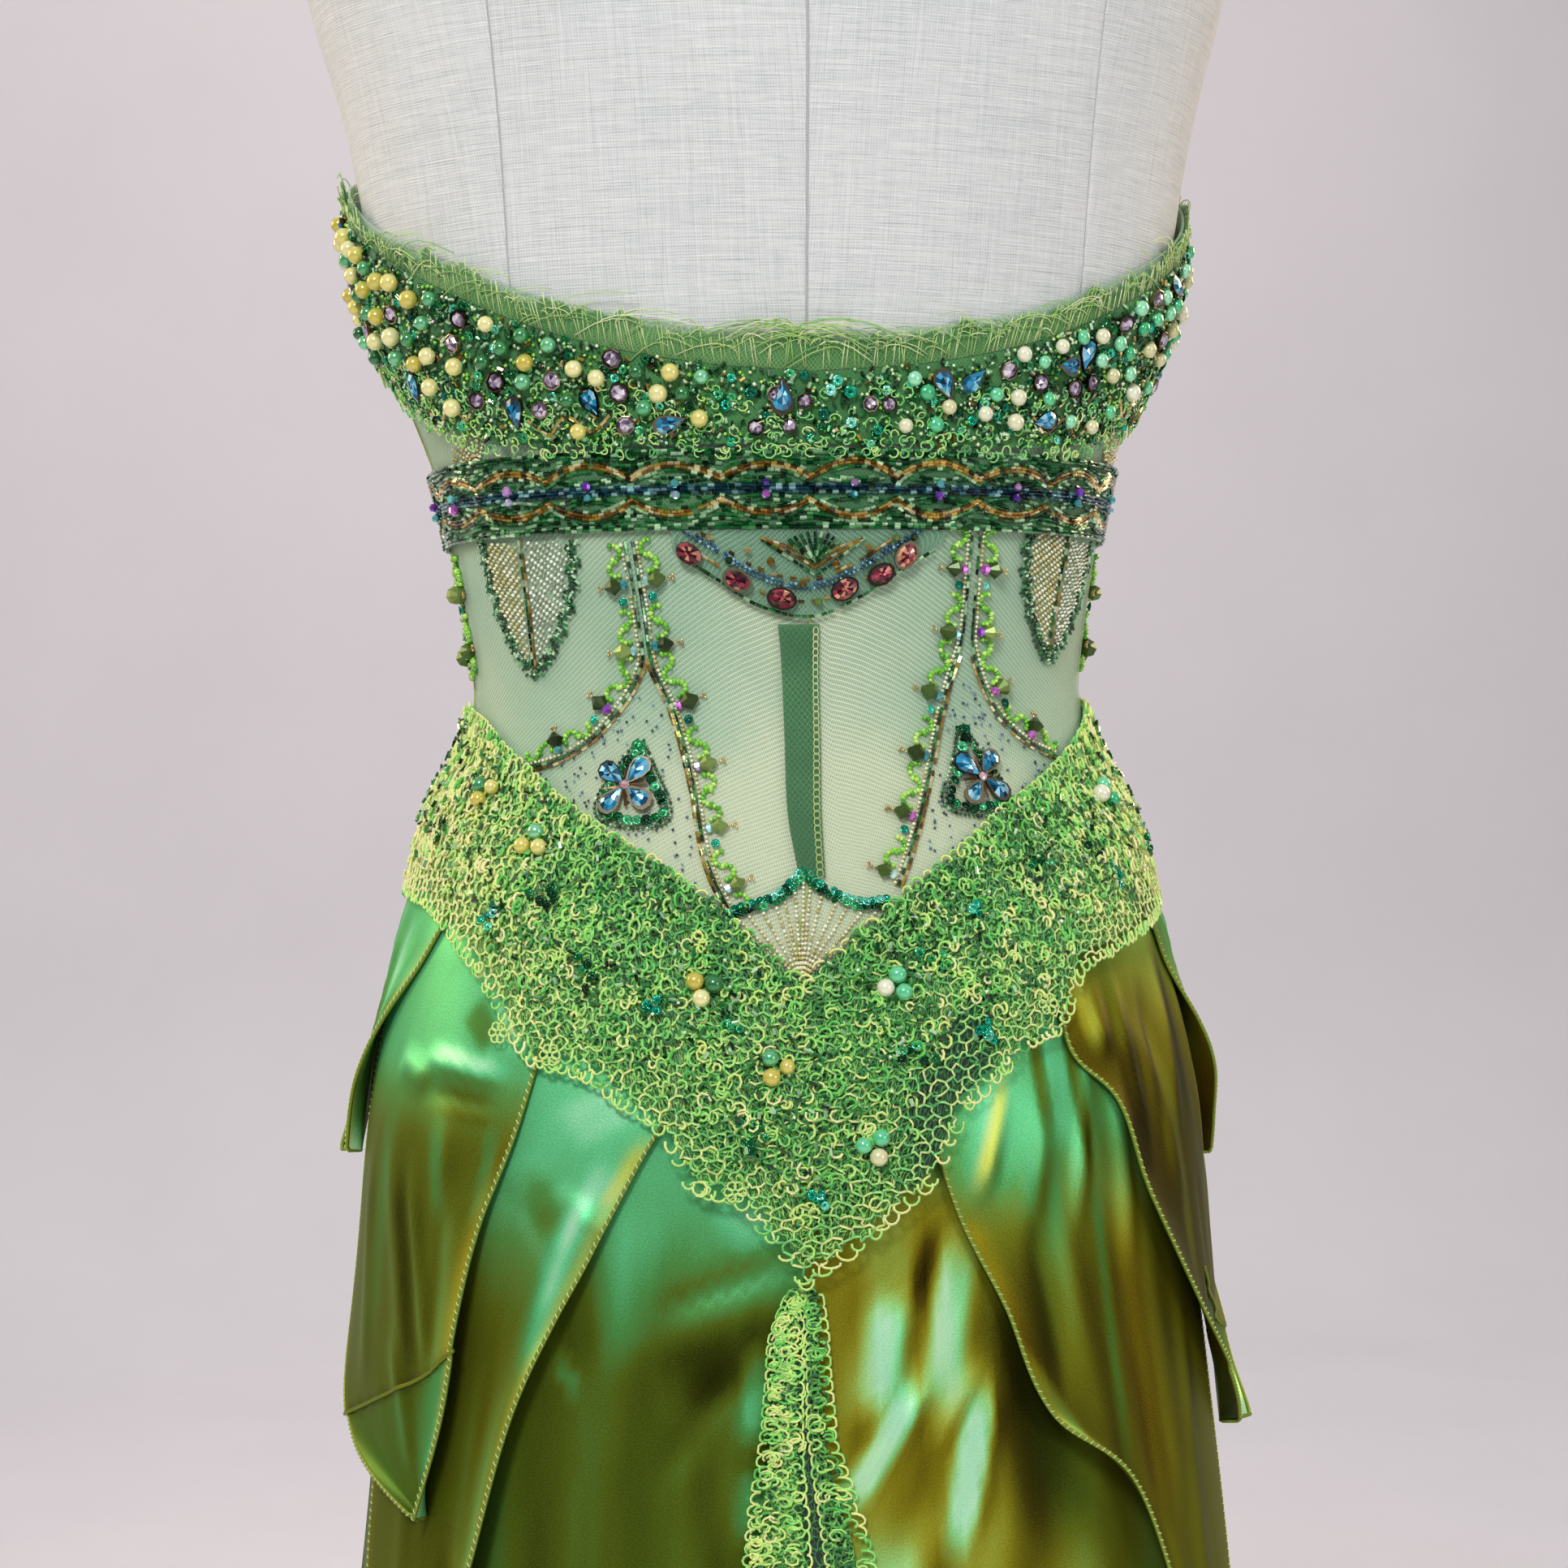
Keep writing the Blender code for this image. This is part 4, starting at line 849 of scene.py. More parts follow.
class Glaze(Enum):
    """The finishes of the beads, pearls, stones and sequins."""

    # The near-white last stops of the green, bronze and navy glass are painted glints: a bead that draws a
    # tone near 1 is coloured whole in one
    GREEN = Bead("green_lined_glass", ("#021608", "#0c4c24", "#2c8c48", "#dcffd4"), 0.14, 0.45)
    BRONZE = Bead("bronze_lined_glass", ("#34200a", "#8c6426", "#cca648", "#fff4c8"), 0.18, 0.6)
    NAVY = Bead("navy_iris_glass", ("#061018", "#0f3244", "#1d5c6c", "#b4e6e6"), 0.16, 0.5)
    PALE = Bead("pale_gold_glass", ("#b9a85c", "#e4d89c", "#f6eec8", "#fffbe6"), 0.22, 0.12)
    SILVER = Bead("silver_lined_glass", ("#9ca088", "#d2d8be", "#eef2de", "#fdfff6"), 0.2, 0.15)
    MIST = Bead("pale_green_glass", ("#86b272", "#bcdc9c", "#e0f0be", "#fafce4"), 0.22, 0.15)
    LIME = Bead("lime_glass", ("#3f9612", "#6cc424", "#92de40", "#ccf476"), 0.2, 0.1)
    IRIS = Bead("blue_iris_glass", ("#10304c", "#246090", "#4a88b0", "#9fcfe6"), 0.18, 0.4)
    INK = Bead("ink_blue_glass", ("#10233a", "#28486a", "#4f76a0", "#a8c8e0"), 0.2, 0.35)
    OLIVE = Bead("olive_matt_glass", ("#1c2a0a", "#38501a", "#567030", "#96ae5e"), 0.3, 0.4, constants=())
    GOLD = Bead("gold_lined_glass", ("#a9782c", "#d9ab5a", "#f8dfa0"), 0.18, 0.8)
    VIOLET = Bead("violet_aurora_glass", ("#3a1a80", "#8a3fc8", "#d268d0", "#b4f0f0"), 0.1, 0.55)
    AQUA = Bead("aqua_aurora_glass", ("#1f7f8a", "#6fd0d0", "#e0faf2"), 0.1, 0.45)
    TEAL = Bead("teal_foil", ("#064a3c", "#0e9a78", "#30d0a6", "#9afce4"), 0.16, 0.75, constants=())
    FOREST = Bead("forest_foil", ("#032012", "#0a5430", "#188048", "#5cd492"), 0.16, 0.7, constants=())
    GILT_PEARL = Bead("gilt_pearl", ("#d2c250", "#e6d86e", "#f2e88e", "#faf4b4"), 0.2, 0.2)
    MOSS_PEARL = Bead("moss_pearl", ("#2c6a3c", "#469a5c", "#66c286", "#98e8b4"), 0.22, 0.5)
    MINT_PEARL = Bead("mint_pearl", ("#3cb878", "#58cf90", "#7ce2a8", "#a6f2c4"), 0.2, 0.25)
    CREAM_PEARL = Bead("cream_pearl", ("#dcd596", "#efecc4", "#fdfce8"), 0.22, 0.15)
    # The crystals' ramps run from dark to near white: with one tone a facet they give painted reflections,
    # dark and bright facets for sparkle
    LILAC = Bead("lilac_crystal", ("#1c1420", "#7c6484", "#d8c4dc", "#ffffff"), 0.04, 0.4)
    BLUE = Bead("blue_crystal", ("#01141e", "#04567c", "#0ea6d8", "#d0faff"), 0.04, 0.4)
    GARNET = Bead("garnet_crystal", ("#0e0206", "#54081e", "#b4304e", "#ffc890"), 0.04, 0.4)
    ROSE = Bead("rose_crystal", ("#b06a7c", "#f8d3da"), 0.06, 0.4)
    COPPER = Bead("rose_gold_glass", ("#7c4a34", "#c08a6a", "#f6d6bc"), 0.2, 0.8)
    SETTING = Bead("plated_brass", ("#2f2820", "#6c604e", "#b8aa8a"), 0.28, 1.0, constants=())


# Meshes


@dataclass(frozen=True)
class Shape:
    """A small closed shape that is repeated: its points, and its faces in groups of equal size."""

    vertices: np.ndarray
    faces: tuple


def turned_shape(profile: Sequence[tuple[float, float]], sides: int, ring: bool = False) -> Shape:
    """Turns a profile round Z.

    Args:
        profile: Rows of (radius, z) from the bottom up the outside. A radius of 0 closes in a point.
        sides: The number of sides.
        ring: Whether the profile closes on itself, as a ring's does.

    Returns:
        The shape.
    """
    vertices, rows = [], []
    for radius, z in profile:
        if radius == 0.0:
            rows.append([len(vertices)] * sides)
            vertices.append((0.0, 0.0, z))
            continue
        rows.append(list(range(len(vertices), len(vertices) + sides)))
        for k in range(sides):
            turn = 2 * math.pi * k / sides
            vertices.append((radius * math.cos(turn), radius * math.sin(turn), z))
    quads, triangles, ends = [], [], []
    pairs = list(zip(rows, rows[1:])) + ([(rows[-1], rows[0])] if ring else [])
    for low, high in pairs:
        for k in range(sides):
            after = (k + 1) % sides
            if low[k] == low[after]:
                triangles.append((low[k], high[after], high[k]))
            elif high[k] == high[after]:
                triangles.append((low[k], low[after], high[k]))
            else:
                quads.append((low[k], low[after], high[after], high[k]))
    if not ring:
        if rows[0][0] != rows[0][-1]:
            ends.append(rows[0][::-1])
        if rows[-1][0] != rows[-1][-1]:
            ends.append(rows[-1])
    groups = tuple(np.array(g, np.int64) for g in (quads, triangles, ends) if g)
    return Shape(np.array(vertices, float), groups)


def stone_shape(outline: np.ndarray, levels: Sequence[tuple[float, float]]) -> Shape:
    """Builds a cut stone from its outline.

    Args:
        outline: The outline's points, anticlockwise.
        levels: Rows of (scale, z) from the back to the table.

    Returns:
        The shape.
    """
    count = len(outline)
    vertices = np.concatenate([np.c_[outline * scale, np.full(count, z)] for scale, z in levels])
    quads = []
    for level in range(len(levels) - 1):
        for k in range(count):
            after = (k + 1) % count
            low, high = level * count, (level + 1) * count
            quads.append((low + k, low + after, high + after, high + k))
    last = (len(levels) - 1) * count
    ends = [list(range(count))[::-1], list(range(last, last + count))]
    return Shape(vertices, (np.array(quads, np.int64), np.array(ends, np.int64)))


def oval_outline(count: int, width: float = 1.0) -> np.ndarray:
    """An oval of half length 1 and a half width, anticlockwise."""
    turn = 2 * np.pi * np.arange(count) / count
    return np.c_[width * np.cos(turn), np.sin(turn)]


def pear_outline(count: int) -> np.ndarray:
    """A teardrop of half length 1 with its tip at +Y, anticlockwise."""
    turn = 2 * np.pi * (np.arange(count)) / count
    return np.c_[-0.86 * np.sin(turn) * np.sin(turn / 2) ** 1.4, np.cos(turn)]


def mesh_piece(
    name: str,
    vertices: np.ndarray,
    groups: Sequence[np.ndarray],
    finish: Finish,
    smooth: bool = True,
    crease_degrees: float = 0.0,
) -> bpy.types.Object:
    """Makes an object from arrays of points and faces.

    Args:
        name: The piece's name.
        vertices: Its points.
        groups: Its faces, in arrays of equal corner counts.
        finish: The finish that it takes.
        smooth: Whether its faces are shaded smooth.
        crease_degrees: Edges sharper than this stay sharp, if it isn't 0.

    Returns:
        The object.
    """
    mesh = bpy.data.meshes.new(name)
    mesh.vertices.add(len(vertices))
    mesh.vertices.foreach_set("co", np.asarray(vertices, np.float32).ravel())
    corners = np.concatenate([g.ravel() for g in groups]).astype(np.int32)
    totals = np.concatenate([np.full(len(g), g.shape[1]) for g in groups])
    starts = np.concatenate(([0], np.cumsum(totals)[:-1])).astype(np.int32)
    mesh.loops.add(len(corners))
    mesh.loops.foreach_set("vertex_index", corners)
    mesh.polygons.add(len(totals))
    mesh.polygons.foreach_set("loop_start", starts)
    mesh.polygons.foreach_set("use_smooth", np.full(len(totals), smooth))
    mesh.update(calc_edges=True)
    mesh.materials.append(finish.material())
    if crease_degrees:
        mesh.set_sharp_from_angle(angle=math.radians(crease_degrees))
    piece = bpy.data.objects.new(name, mesh)
    bpy.context.scene.collection.objects.link(piece)
    return piece


def keep_values(piece: bpy.types.Object, name: str, values: np.ndarray, domain: str = "POINT") -> None:
    """Stores one number or one vector for each point or face of a piece, for its material.

    Args:
        piece: The piece.
        name: The attribute's name.
        values: The values.
        domain: Whether they are the points' or the faces'.
    """
    values = np.asarray(values, np.float32)
    kind, key = ("FLOAT", "value") if values.ndim == 1 else ("FLOAT_VECTOR", "vector")
    piece.data.attributes.new(name, kind, domain).data.foreach_set(key, values.ravel())


def settle(piece: bpy.types.Object, slot: str, *nodes: str) -> bpy.types.Object:
    """Fixes a finished piece to the dress.

    Args:
        piece: The piece.
        slot: The record's material slot; it is not used.
        nodes: The CAD nodes that it stands for.

    Returns:
        The piece.
    """
    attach(piece, BODY)
    if nodes:
        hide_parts(*nodes)
    LOG.info("%s: %d points", piece.name, len(piece.data.vertices))
    return piece


class Cut(Enum):
    """The shapes of bead, stone and sequin that the dress carries."""

    SEED = "seed"
    BUGLE = "bugle"
    PEARL = "pearl"
    BICONE = "bicone"
    FACETED = "faceted"
    CUP = "cup"
    ROUND_STONE = "round_stone"
    OVAL_STONE = "oval_stone"
    PEAR_STONE = "pear_stone"
    ROUND_COLLET = "round_collet"
    OVAL_COLLET = "oval_collet"
    PEAR_COLLET = "pear_collet"


SHAPES = {
    Cut.SEED: turned_shape(((0.0, -0.6), (1.0, 0.0), (0.0, 0.6)), 6),
    Cut.BUGLE: turned_shape(((1.0, -0.5), (1.0, 0.5)), 4),
    Cut.PEARL: turned_shape(
        ((0.0, -1.0), (0.6, -0.8), (0.95, -0.3), (0.95, 0.3), (0.72, 0.69), (0.38, 0.92), (0.0, 1.0)), 11
    ),
    Cut.BICONE: turned_shape(((0.2, -1.0), (1.0, 0.0), (0.2, 1.0)), 8),
    Cut.FACETED: turned_shape(((0.45, -0.9), (0.95, -0.35), (0.95, 0.35), (0.45, 0.9)), 6),
    Cut.CUP: turned_shape(((0.2, 0.0), (1.0, 0.42), (0.96, 0.58), (0.2, 0.14)), 7, ring=True),
    Cut.ROUND_STONE: stone_shape(oval_outline(8), ((0.7, 0.0), (1.0, 0.42), (0.64, 0.8), (0.1, 0.9))),
    Cut.OVAL_STONE: stone_shape(
        oval_outline(12, 0.72), ((0.7, 0.0), (1.0, 0.4), (0.68, 0.7), (0.3, 0.78), (0.1, 0.8))
    ),
    Cut.PEAR_STONE: stone_shape(pear_outline(12), ((0.7, 0.0), (1.0, 0.4), (0.6, 0.7), (0.1, 0.8))),
    Cut.ROUND_COLLET: turned_shape(((0.8, -0.25), (1.14, 0.1), (1.16, 0.62), (1.02, 0.66), (0.96, 0.2)), 8),
    Cut.OVAL_COLLET: stone_shape(
        oval_outline(12, 0.72), ((0.8, -0.2), (1.14, 0.05), (1.16, 0.45), (1.02, 0.45))
    ),
    Cut.PEAR_COLLET: stone_shape(pear_outline(12), ((0.8, -0.2), (1.16, 0.05), (1.18, 0.4), (1.02, 0.4))),
}
ROUNDED = (Cut.SEED, Cut.PEARL, Cut.CUP)
STRUNG = (Cut.SEED, Cut.BUGLE, Cut.BICONE, Cut.FACETED)
STONES = (Cut.ROUND_STONE, Cut.OVAL_STONE, Cut.PEAR_STONE)
SEED_MM, BUGLE_MM = (0.85, 0.85, 1.5), (0.62, 0.62, 2.2)


class BeadBox:
    """The beads of one assembly, sorted by cut and finish, and joined to one piece for each pair."""

    def __init__(self, name: str, slot: str, seed: int) -> None:
        """Opens an empty box.

        Args:
            name: The first part of its pieces' names.
            slot: The record's material slot of its pieces.
            seed: The seed of its random draws.
        """
        self.name, self.slot, self.rng = name, slot, np.random.default_rng(seed)
        self.laid: dict[tuple[Cut, Glaze], list[tuple[np.ndarray, np.ndarray]]] = {}

    def tones(self, cut: Cut, count: int) -> np.ndarray:
        """Draws the beads' tones: the same at every corner of a bead, or one for each facet of a stone, which
        paints its facets dark and bright as painted reflections.

        Args:
            cut: The beads' shape.
            count: How many there are.

        Returns:
            Tones from 0 to 1, bead by bead.
        """
        if cut not in STONES:
            return np.broadcast_to(self.rng.random((count, 1)), (count, len(SHAPES[cut].vertices)))
        facets = sum(len(faces) for faces in SHAPES[cut].faces)
        return 0.15 * self.rng.random((count, 1)) + 0.85 * self.rng.random((count, facets))

    def lay(self, cut: Cut, glaze: Glaze, spots: Spots, size_mm: tuple = (), uneven: float = 0.08) -> None:
        """Lays beads at places: strung along them, or flat with their faces out.

        Args:
            cut: Their shape.
            glaze: Their finish.
            spots: Their places.
            size_mm: Half width, half depth and length if they are strung, or half sizes along, up and out.
            uneven: How much their sizes differ.
        """
        count = len(spots)
        size = np.array(size_mm or {Cut.SEED: SEED_MM, Cut.BUGLE: BUGLE_MM}[cut]) * MM
        axes = (spots.up, spots.out, spots.along) if cut in STRUNG else (spots.along, spots.up, spots.out)
        scale = 1.0 + self.rng.normal(0.0, uneven, (count, 1)).clip(-0.3, 0.3)
        frames = np.stack(axes, axis=1) * (size * scale)[:, :, None]
        made = np.einsum("vk,nkc->nvc", SHAPES[cut].vertices, frames) + spots.points[:, None]
        self.laid.setdefault((cut, glaze), []).append((made, self.tones(cut, count)))

    def row(
        self, cut: Cut, glaze: Glaze, line: tuple, out: float, pitch_mm: float = 0.0,
        side_mm: np.ndarray = 0.0, size_mm: tuple = (), skip: float = 0.0,
    ) -> None:
        """Strings beads along a line on the cloth.

        Args:
            cut: Their shape.
            glaze: Their finish.
            line: The line's angles and heights.
            out: The distance out from the figure.
            pitch_mm: The distance from bead to bead, or 0 for the cut's usual one.
            side_mm: How far to the left of the line the thread runs.
            size_mm: Their size, or the cut's usual one.
            skip: The share of beads that is missing.
        """
        pitch = pitch_mm or {Cut.SEED: 1.75, Cut.BUGLE: 2.45}.get(cut, 2.0)
        spots = threaded(line, pitch, out, side_mm)
        spots = spots.kept(self.rng.random(len(spots)) >= skip).tilted(0.06, self.rng)
        self.lay(cut, glaze, spots, size_mm)

    def stone(self, cut: Cut, glaze: Glaze, spots: Spots, size_mm: tuple) -> None:
        """Lays cut stones, each in its plated setting."""
        self.lay(cut, glaze, spots, size_mm, 0.03)
        self.lay(Cut(cut.value.replace("stone", "collet")), Glaze.SETTING, spots, size_mm, 0.03)

    def build(self) -> list[bpy.types.Object]:
        """Joins what was laid to one piece for each cut and finish.

        Returns:
            The pieces.
        """
        pieces = []
        for (cut, glaze), laid in self.laid.items():
            points = np.concatenate([made for made, _ in laid])
            tones = np.concatenate([tone for _, tone in laid])
            count, each = points.shape[:2]
            offsets = (np.arange(count) * each)[:, None, None]
            groups = [(g[None] + offsets).reshape(-1, g.shape[1]) for g in SHAPES[cut].faces]
            name = f"{self.name}_{glaze.name.lower()}_{cut.value}s"
            piece = mesh_piece(name, points.reshape(-1, 3), groups, glaze.value, cut in ROUNDED)
            if cut in STONES:
                # One tone a facet: painted reflections on the stones
                parts = np.split(tones, np.cumsum([len(faces) for faces in SHAPES[cut].faces])[:-1], axis=1)
                keep_values(piece, "tone", np.concatenate([part.ravel() for part in parts]), "FACE")
            else:
                keep_values(piece, "tone", tones.ravel())
            pieces.append(settle(piece, self.slot))
        return pieces


class CordSkein:
    """Gathers short or long cords of one finish, and joins them to one piece of thin tubes."""

    def __init__(self, name: str, finish: Finish, radius_mm: float, sides: int = 3) -> None:
        """Starts an empty skein.

        Args:
            name: The name of the piece that it becomes.
            finish: The cord's finish.
            radius_mm: The cord's radius.
            sides: The sides of its tube.
        """
        self.name, self.finish, self.radius, self.sides = name, finish, radius_mm * MM, sides
        self.points: list[np.ndarray] = []
        self.tones: list[np.ndarray] = []
        self.groups: list[np.ndarray] = []
        self.caps: list[np.ndarray] = []
        self.total = 0

    def add(self, paths: np.ndarray, outs: np.ndarray, tone: np.ndarray, thickness: np.ndarray = 1.0) -> None:
        """Adds cords with the same number of points each.

        Args:
            paths: The cords' points, cord by cord.
            outs: The direction out of the cloth at each point.
            tone: One tone for each cord.
            thickness: A factor for each point's radius.
        """
        cords, steps = paths.shape[:2]
        if not cords:
            return
        tangent = unit(np.gradient(paths, axis=1))
        across = unit(np.cross(outs, tangent))
        out = np.cross(tangent, across)
        radius = self.radius * np.broadcast_to(thickness, (cords, steps))[..., None]
        turns = 2 * np.pi * np.arange(self.sides) / self.sides
        ring = [paths + radius * (across * math.cos(t) + out * math.sin(t)) for t in turns]
        made = np.stack(ring, axis=2)
        number = np.arange(cords * steps * self.sides).reshape(cords, steps, self.sides) + self.total
        after = np.roll(number, -1, axis=2)
        quads = np.stack((number[:, :-1], after[:, :-1], after[:, 1:], number[:, 1:]), axis=-1)
        self.groups.append(quads.reshape(-1, 4))
        self.caps.append(np.concatenate((number[:, 0, ::-1], number[:, -1])))
        self.points.append(made.reshape(-1, 3))
        self.tones.append(np.repeat(np.broadcast_to(tone, (cords,)), steps * self.sides))
        self.total += cords * steps * self.sides

    def piece(self, slot: str, *nodes: str) -> bpy.types.Object:
        """Joins the skein to one settled piece.

        Args:
            slot: The record's material slot.
            nodes: The CAD nodes that it stands for.

        Returns:
            The piece.
        """
        groups = [np.concatenate(self.groups), np.concatenate(self.caps)]
        made = mesh_piece(self.name, np.concatenate(self.points), groups, self.finish)
        keep_values(made, "tone", np.concatenate(self.tones))
        return settle(made, slot, *nodes)


@dataclass
class FlatCut:
    """The size that a sheet of cloth was cut to, and how it is held."""

    width: float
    length: float
    held: str
    rests_on: tuple = ()
    area: Optional[float] = None


def cloth_wall(
    name: str,
    inner: np.ndarray,
    outer: np.ndarray,
    finish: Finish,
    cloth_mm: np.ndarray,
    marks: Optional[dict] = None,
) -> bpy.types.Object:
    """Makes a closed cloth wall between two grids of points.

    Args:
        name: The piece's name.
        inner: The inner face's points, by column and row.
        outer: The outer face's points.
        finish: The cloth's finish.
        cloth_mm: Millimetres along and up the cloth at each point.
        marks: Further values for each point, by the names that the finish reads.

    Returns:
        The object.
    """
    columns, rows = inner.shape[0], inner.shape[1]
    number = np.arange(columns * rows).reshape(columns, rows)
    face = number + columns * rows
    quads = [
        np.stack((face[:-1, :-1], face[1:, :-1], face[1:, 1:], face[:-1, 1:]), -1).reshape(-1, 4),
        np.stack((number[:-1, 1:], number[1:, 1:], number[1:, :-1], number[:-1, :-1]), -1).reshape(-1, 4),
        np.stack((face[:-1, 0], number[:-1, 0], number[1:, 0], face[1:, 0]), -1),
        np.stack((face[:-1, -1], face[1:, -1], number[1:, -1], number[:-1, -1]), -1),
        np.stack((face[0, :-1], face[0, 1:], number[0, 1:], number[0, :-1]), -1),
        np.stack((face[-1, :-1], number[-1, :-1], number[-1, 1:], face[-1, 1:]), -1),
    ]
    points = np.concatenate((inner.reshape(-1, 3), outer.reshape(-1, 3)))
    made = mesh_piece(name, points, [np.concatenate(quads)], finish, crease_degrees=55.0)
    places = np.concatenate((cloth_mm.reshape(-1, 2), cloth_mm.reshape(-1, 2)))
    keep_values(made, "cloth", np.c_[places, np.zeros(len(places))])
    for key, values in (marks or {}).items():
        keep_values(made, key, np.tile(values.ravel(), 2))
    return made


def smooth_line(places: Sequence[tuple[float, float]], step_mm: float = 1.0) -> tuple[np.ndarray, np.ndarray]:
    """Draws a smooth line on the cloth through a few chosen places.

    Args:
        places: Angles and heights.
        step_mm: The distance between the line's points.

    Returns:
        The line's angles and heights.
    """
    rows = np.array(places, float)
    steps = np.hypot(np.diff(rows[:, 0]) * WAIST_DEGREE_MM, np.diff(rows[:, 1]) * 1000.0)
    table = np.c_[np.concatenate(([0.0], np.cumsum(steps))), rows]
    keys = np.linspace(0.0, table[-1, 0], max(int(table[-1, 0] / step_mm), 2) + 1)
    return read_smooth(table, keys, 1), read_smooth(table, keys, 2)


def threaded(line: tuple, pitch_mm: float, out: float, side_mm: np.ndarray = 0.0) -> Spots:
    """Spaces places evenly along a line on the cloth, as beads on a thread.

    Args:
        line: The line's angles and heights.
        pitch_mm: The distance from bead to bead.
        out: The distance out from the figure, one or one for each point of the line.
        side_mm: How far to the left of the line the thread runs.

    Returns:
        The places: along follows the thread, up points to its left.
    """
    base = FIGURE.spots(line[0], line[1], out)
    tangent = unit(np.gradient(base.points, axis=0))
    across = unit(np.cross(base.out, tangent))
    side = np.broadcast_to(np.asarray(side_mm, float), (len(base),))[:, None] * MM
    path = base.points + across * side
    steps = np.linalg.norm(np.diff(path, axis=0), axis=1)
    arc = np.concatenate(([0.0], np.cumsum(steps)))
    count = max(int(round(arc[-1] / (pitch_mm * MM))), 1)
    at = (np.arange(count) + 0.5) * arc[-1] / count

    def read(values: np.ndarray) -> np.ndarray:
        """Reads vectors at the places along the thread."""
        return np.stack([np.interp(at, arc, values[:, c]) for c in range(3)], axis=1)

    along, out_of = unit(read(tangent)), unit(read(base.out))
    across = unit(np.cross(out_of, along))
    return Spots(read(path), along, across, out_of)


@dataclass
class Patch:
    """A small flat drawing board laid on the cloth, with its own millimetres across and up."""

    angle: float
    height: float
    turn: float = 0.0
    eased: bool = False

    def places(self, x_mm: np.ndarray, y_mm: np.ndarray) -> tuple[np.ndarray, np.ndarray]:
        """Turns millimetres on the board to places on the cloth.

        Args:
            x_mm: Millimetres across the board.
            y_mm: Millimetres up the board.

        Returns:
            Angles and heights.
        """
        x, y = np.asarray(x_mm, float), np.asarray(y_mm, float)
        cos, sin = math.cos(self.turn), math.sin(self.turn)
        across, up = x * cos - y * sin, x * sin + y * cos
        pair = FIGURE.surface(np.array([self.angle - 0.5, self.angle + 0.5]), self.height, self.eased)
        per_degree = float(np.linalg.norm(pair[1] - pair[0])) / MM
        return self.angle + across / per_degree, self.height + up * MM

    def spots(self, x_mm: np.ndarray, y_mm: np.ndarray, out: float) -> Spots:
        """Places on the cloth at points of the board, turned with the board."""
        angle, height = self.places(x_mm, y_mm)
        return FIGURE.spots(angle, height, out, self.eased).turned(self.turn)


def outward(distance_mm: float, way: float) -> tuple[np.ndarray, np.ndarray]:
    """One point of a board, at a distance from its middle."""
    return np.array([distance_mm * math.cos(way)]), np.array([distance_mm * math.sin(way)])


def measure_cloth(points: np.ndarray) -> np.ndarray:
    """Measures a grid of points along and up the cloth, from its middle column and first row.

    Args:
        points: Points by column and row.

    Returns:
        Millimetres along and up at each point.
    """
    along = np.linalg.norm(np.diff(points, axis=0), axis=-1)
    along = np.concatenate((np.zeros((1, points.shape[1])), np.cumsum(along, axis=0)))
    up = np.linalg.norm(np.diff(points, axis=1), axis=-1)
    up = np.concatenate((np.zeros((points.shape[0], 1)), np.cumsum(up, axis=1)), axis=1)
    return np.stack((along - along[len(along) // 2], up), axis=-1) / MM


def crease_out(
    rows: Sequence[tuple], angle: np.ndarray, height: np.ndarray, crisp: bool = False
) -> np.ndarray:
    """How far creases lift a cloth, each a soft ridge or trough that fades out at both ends.

    Args:
        rows: For each crease its two ends as angle and height, half width and depth in mm. A trough's
            depth is below 0.
        angle: Angles of the places.
        height: Their heights.
        crisp: Whether each is flat on top, with steeper sides.

    Returns:
        Metres out at each place.
    """
    total = np.zeros(np.broadcast(angle, height).shape)
    for angle_0, height_0, angle_1, height_1, half_width, depth in rows:
        run = np.array(((angle_1 - angle_0) * BUST_DEGREE_MM, (height_1 - height_0) / MM))
        x, y = wrapped(angle - angle_0) * BUST_DEGREE_MM, (height - height_0) / MM
        t = (x * run[0] + y * run[1]) / (run @ run)
        aside = np.hypot(x - t * run[0], y - t * run[1]) / half_width
        profile = ramp(1.45, 0.45, aside) if crisp else np.exp(-aside * aside)
        total += depth * MM * profile * ramp(-0.25, 0.25, t) * ramp(1.25, 0.75, t)
    return total


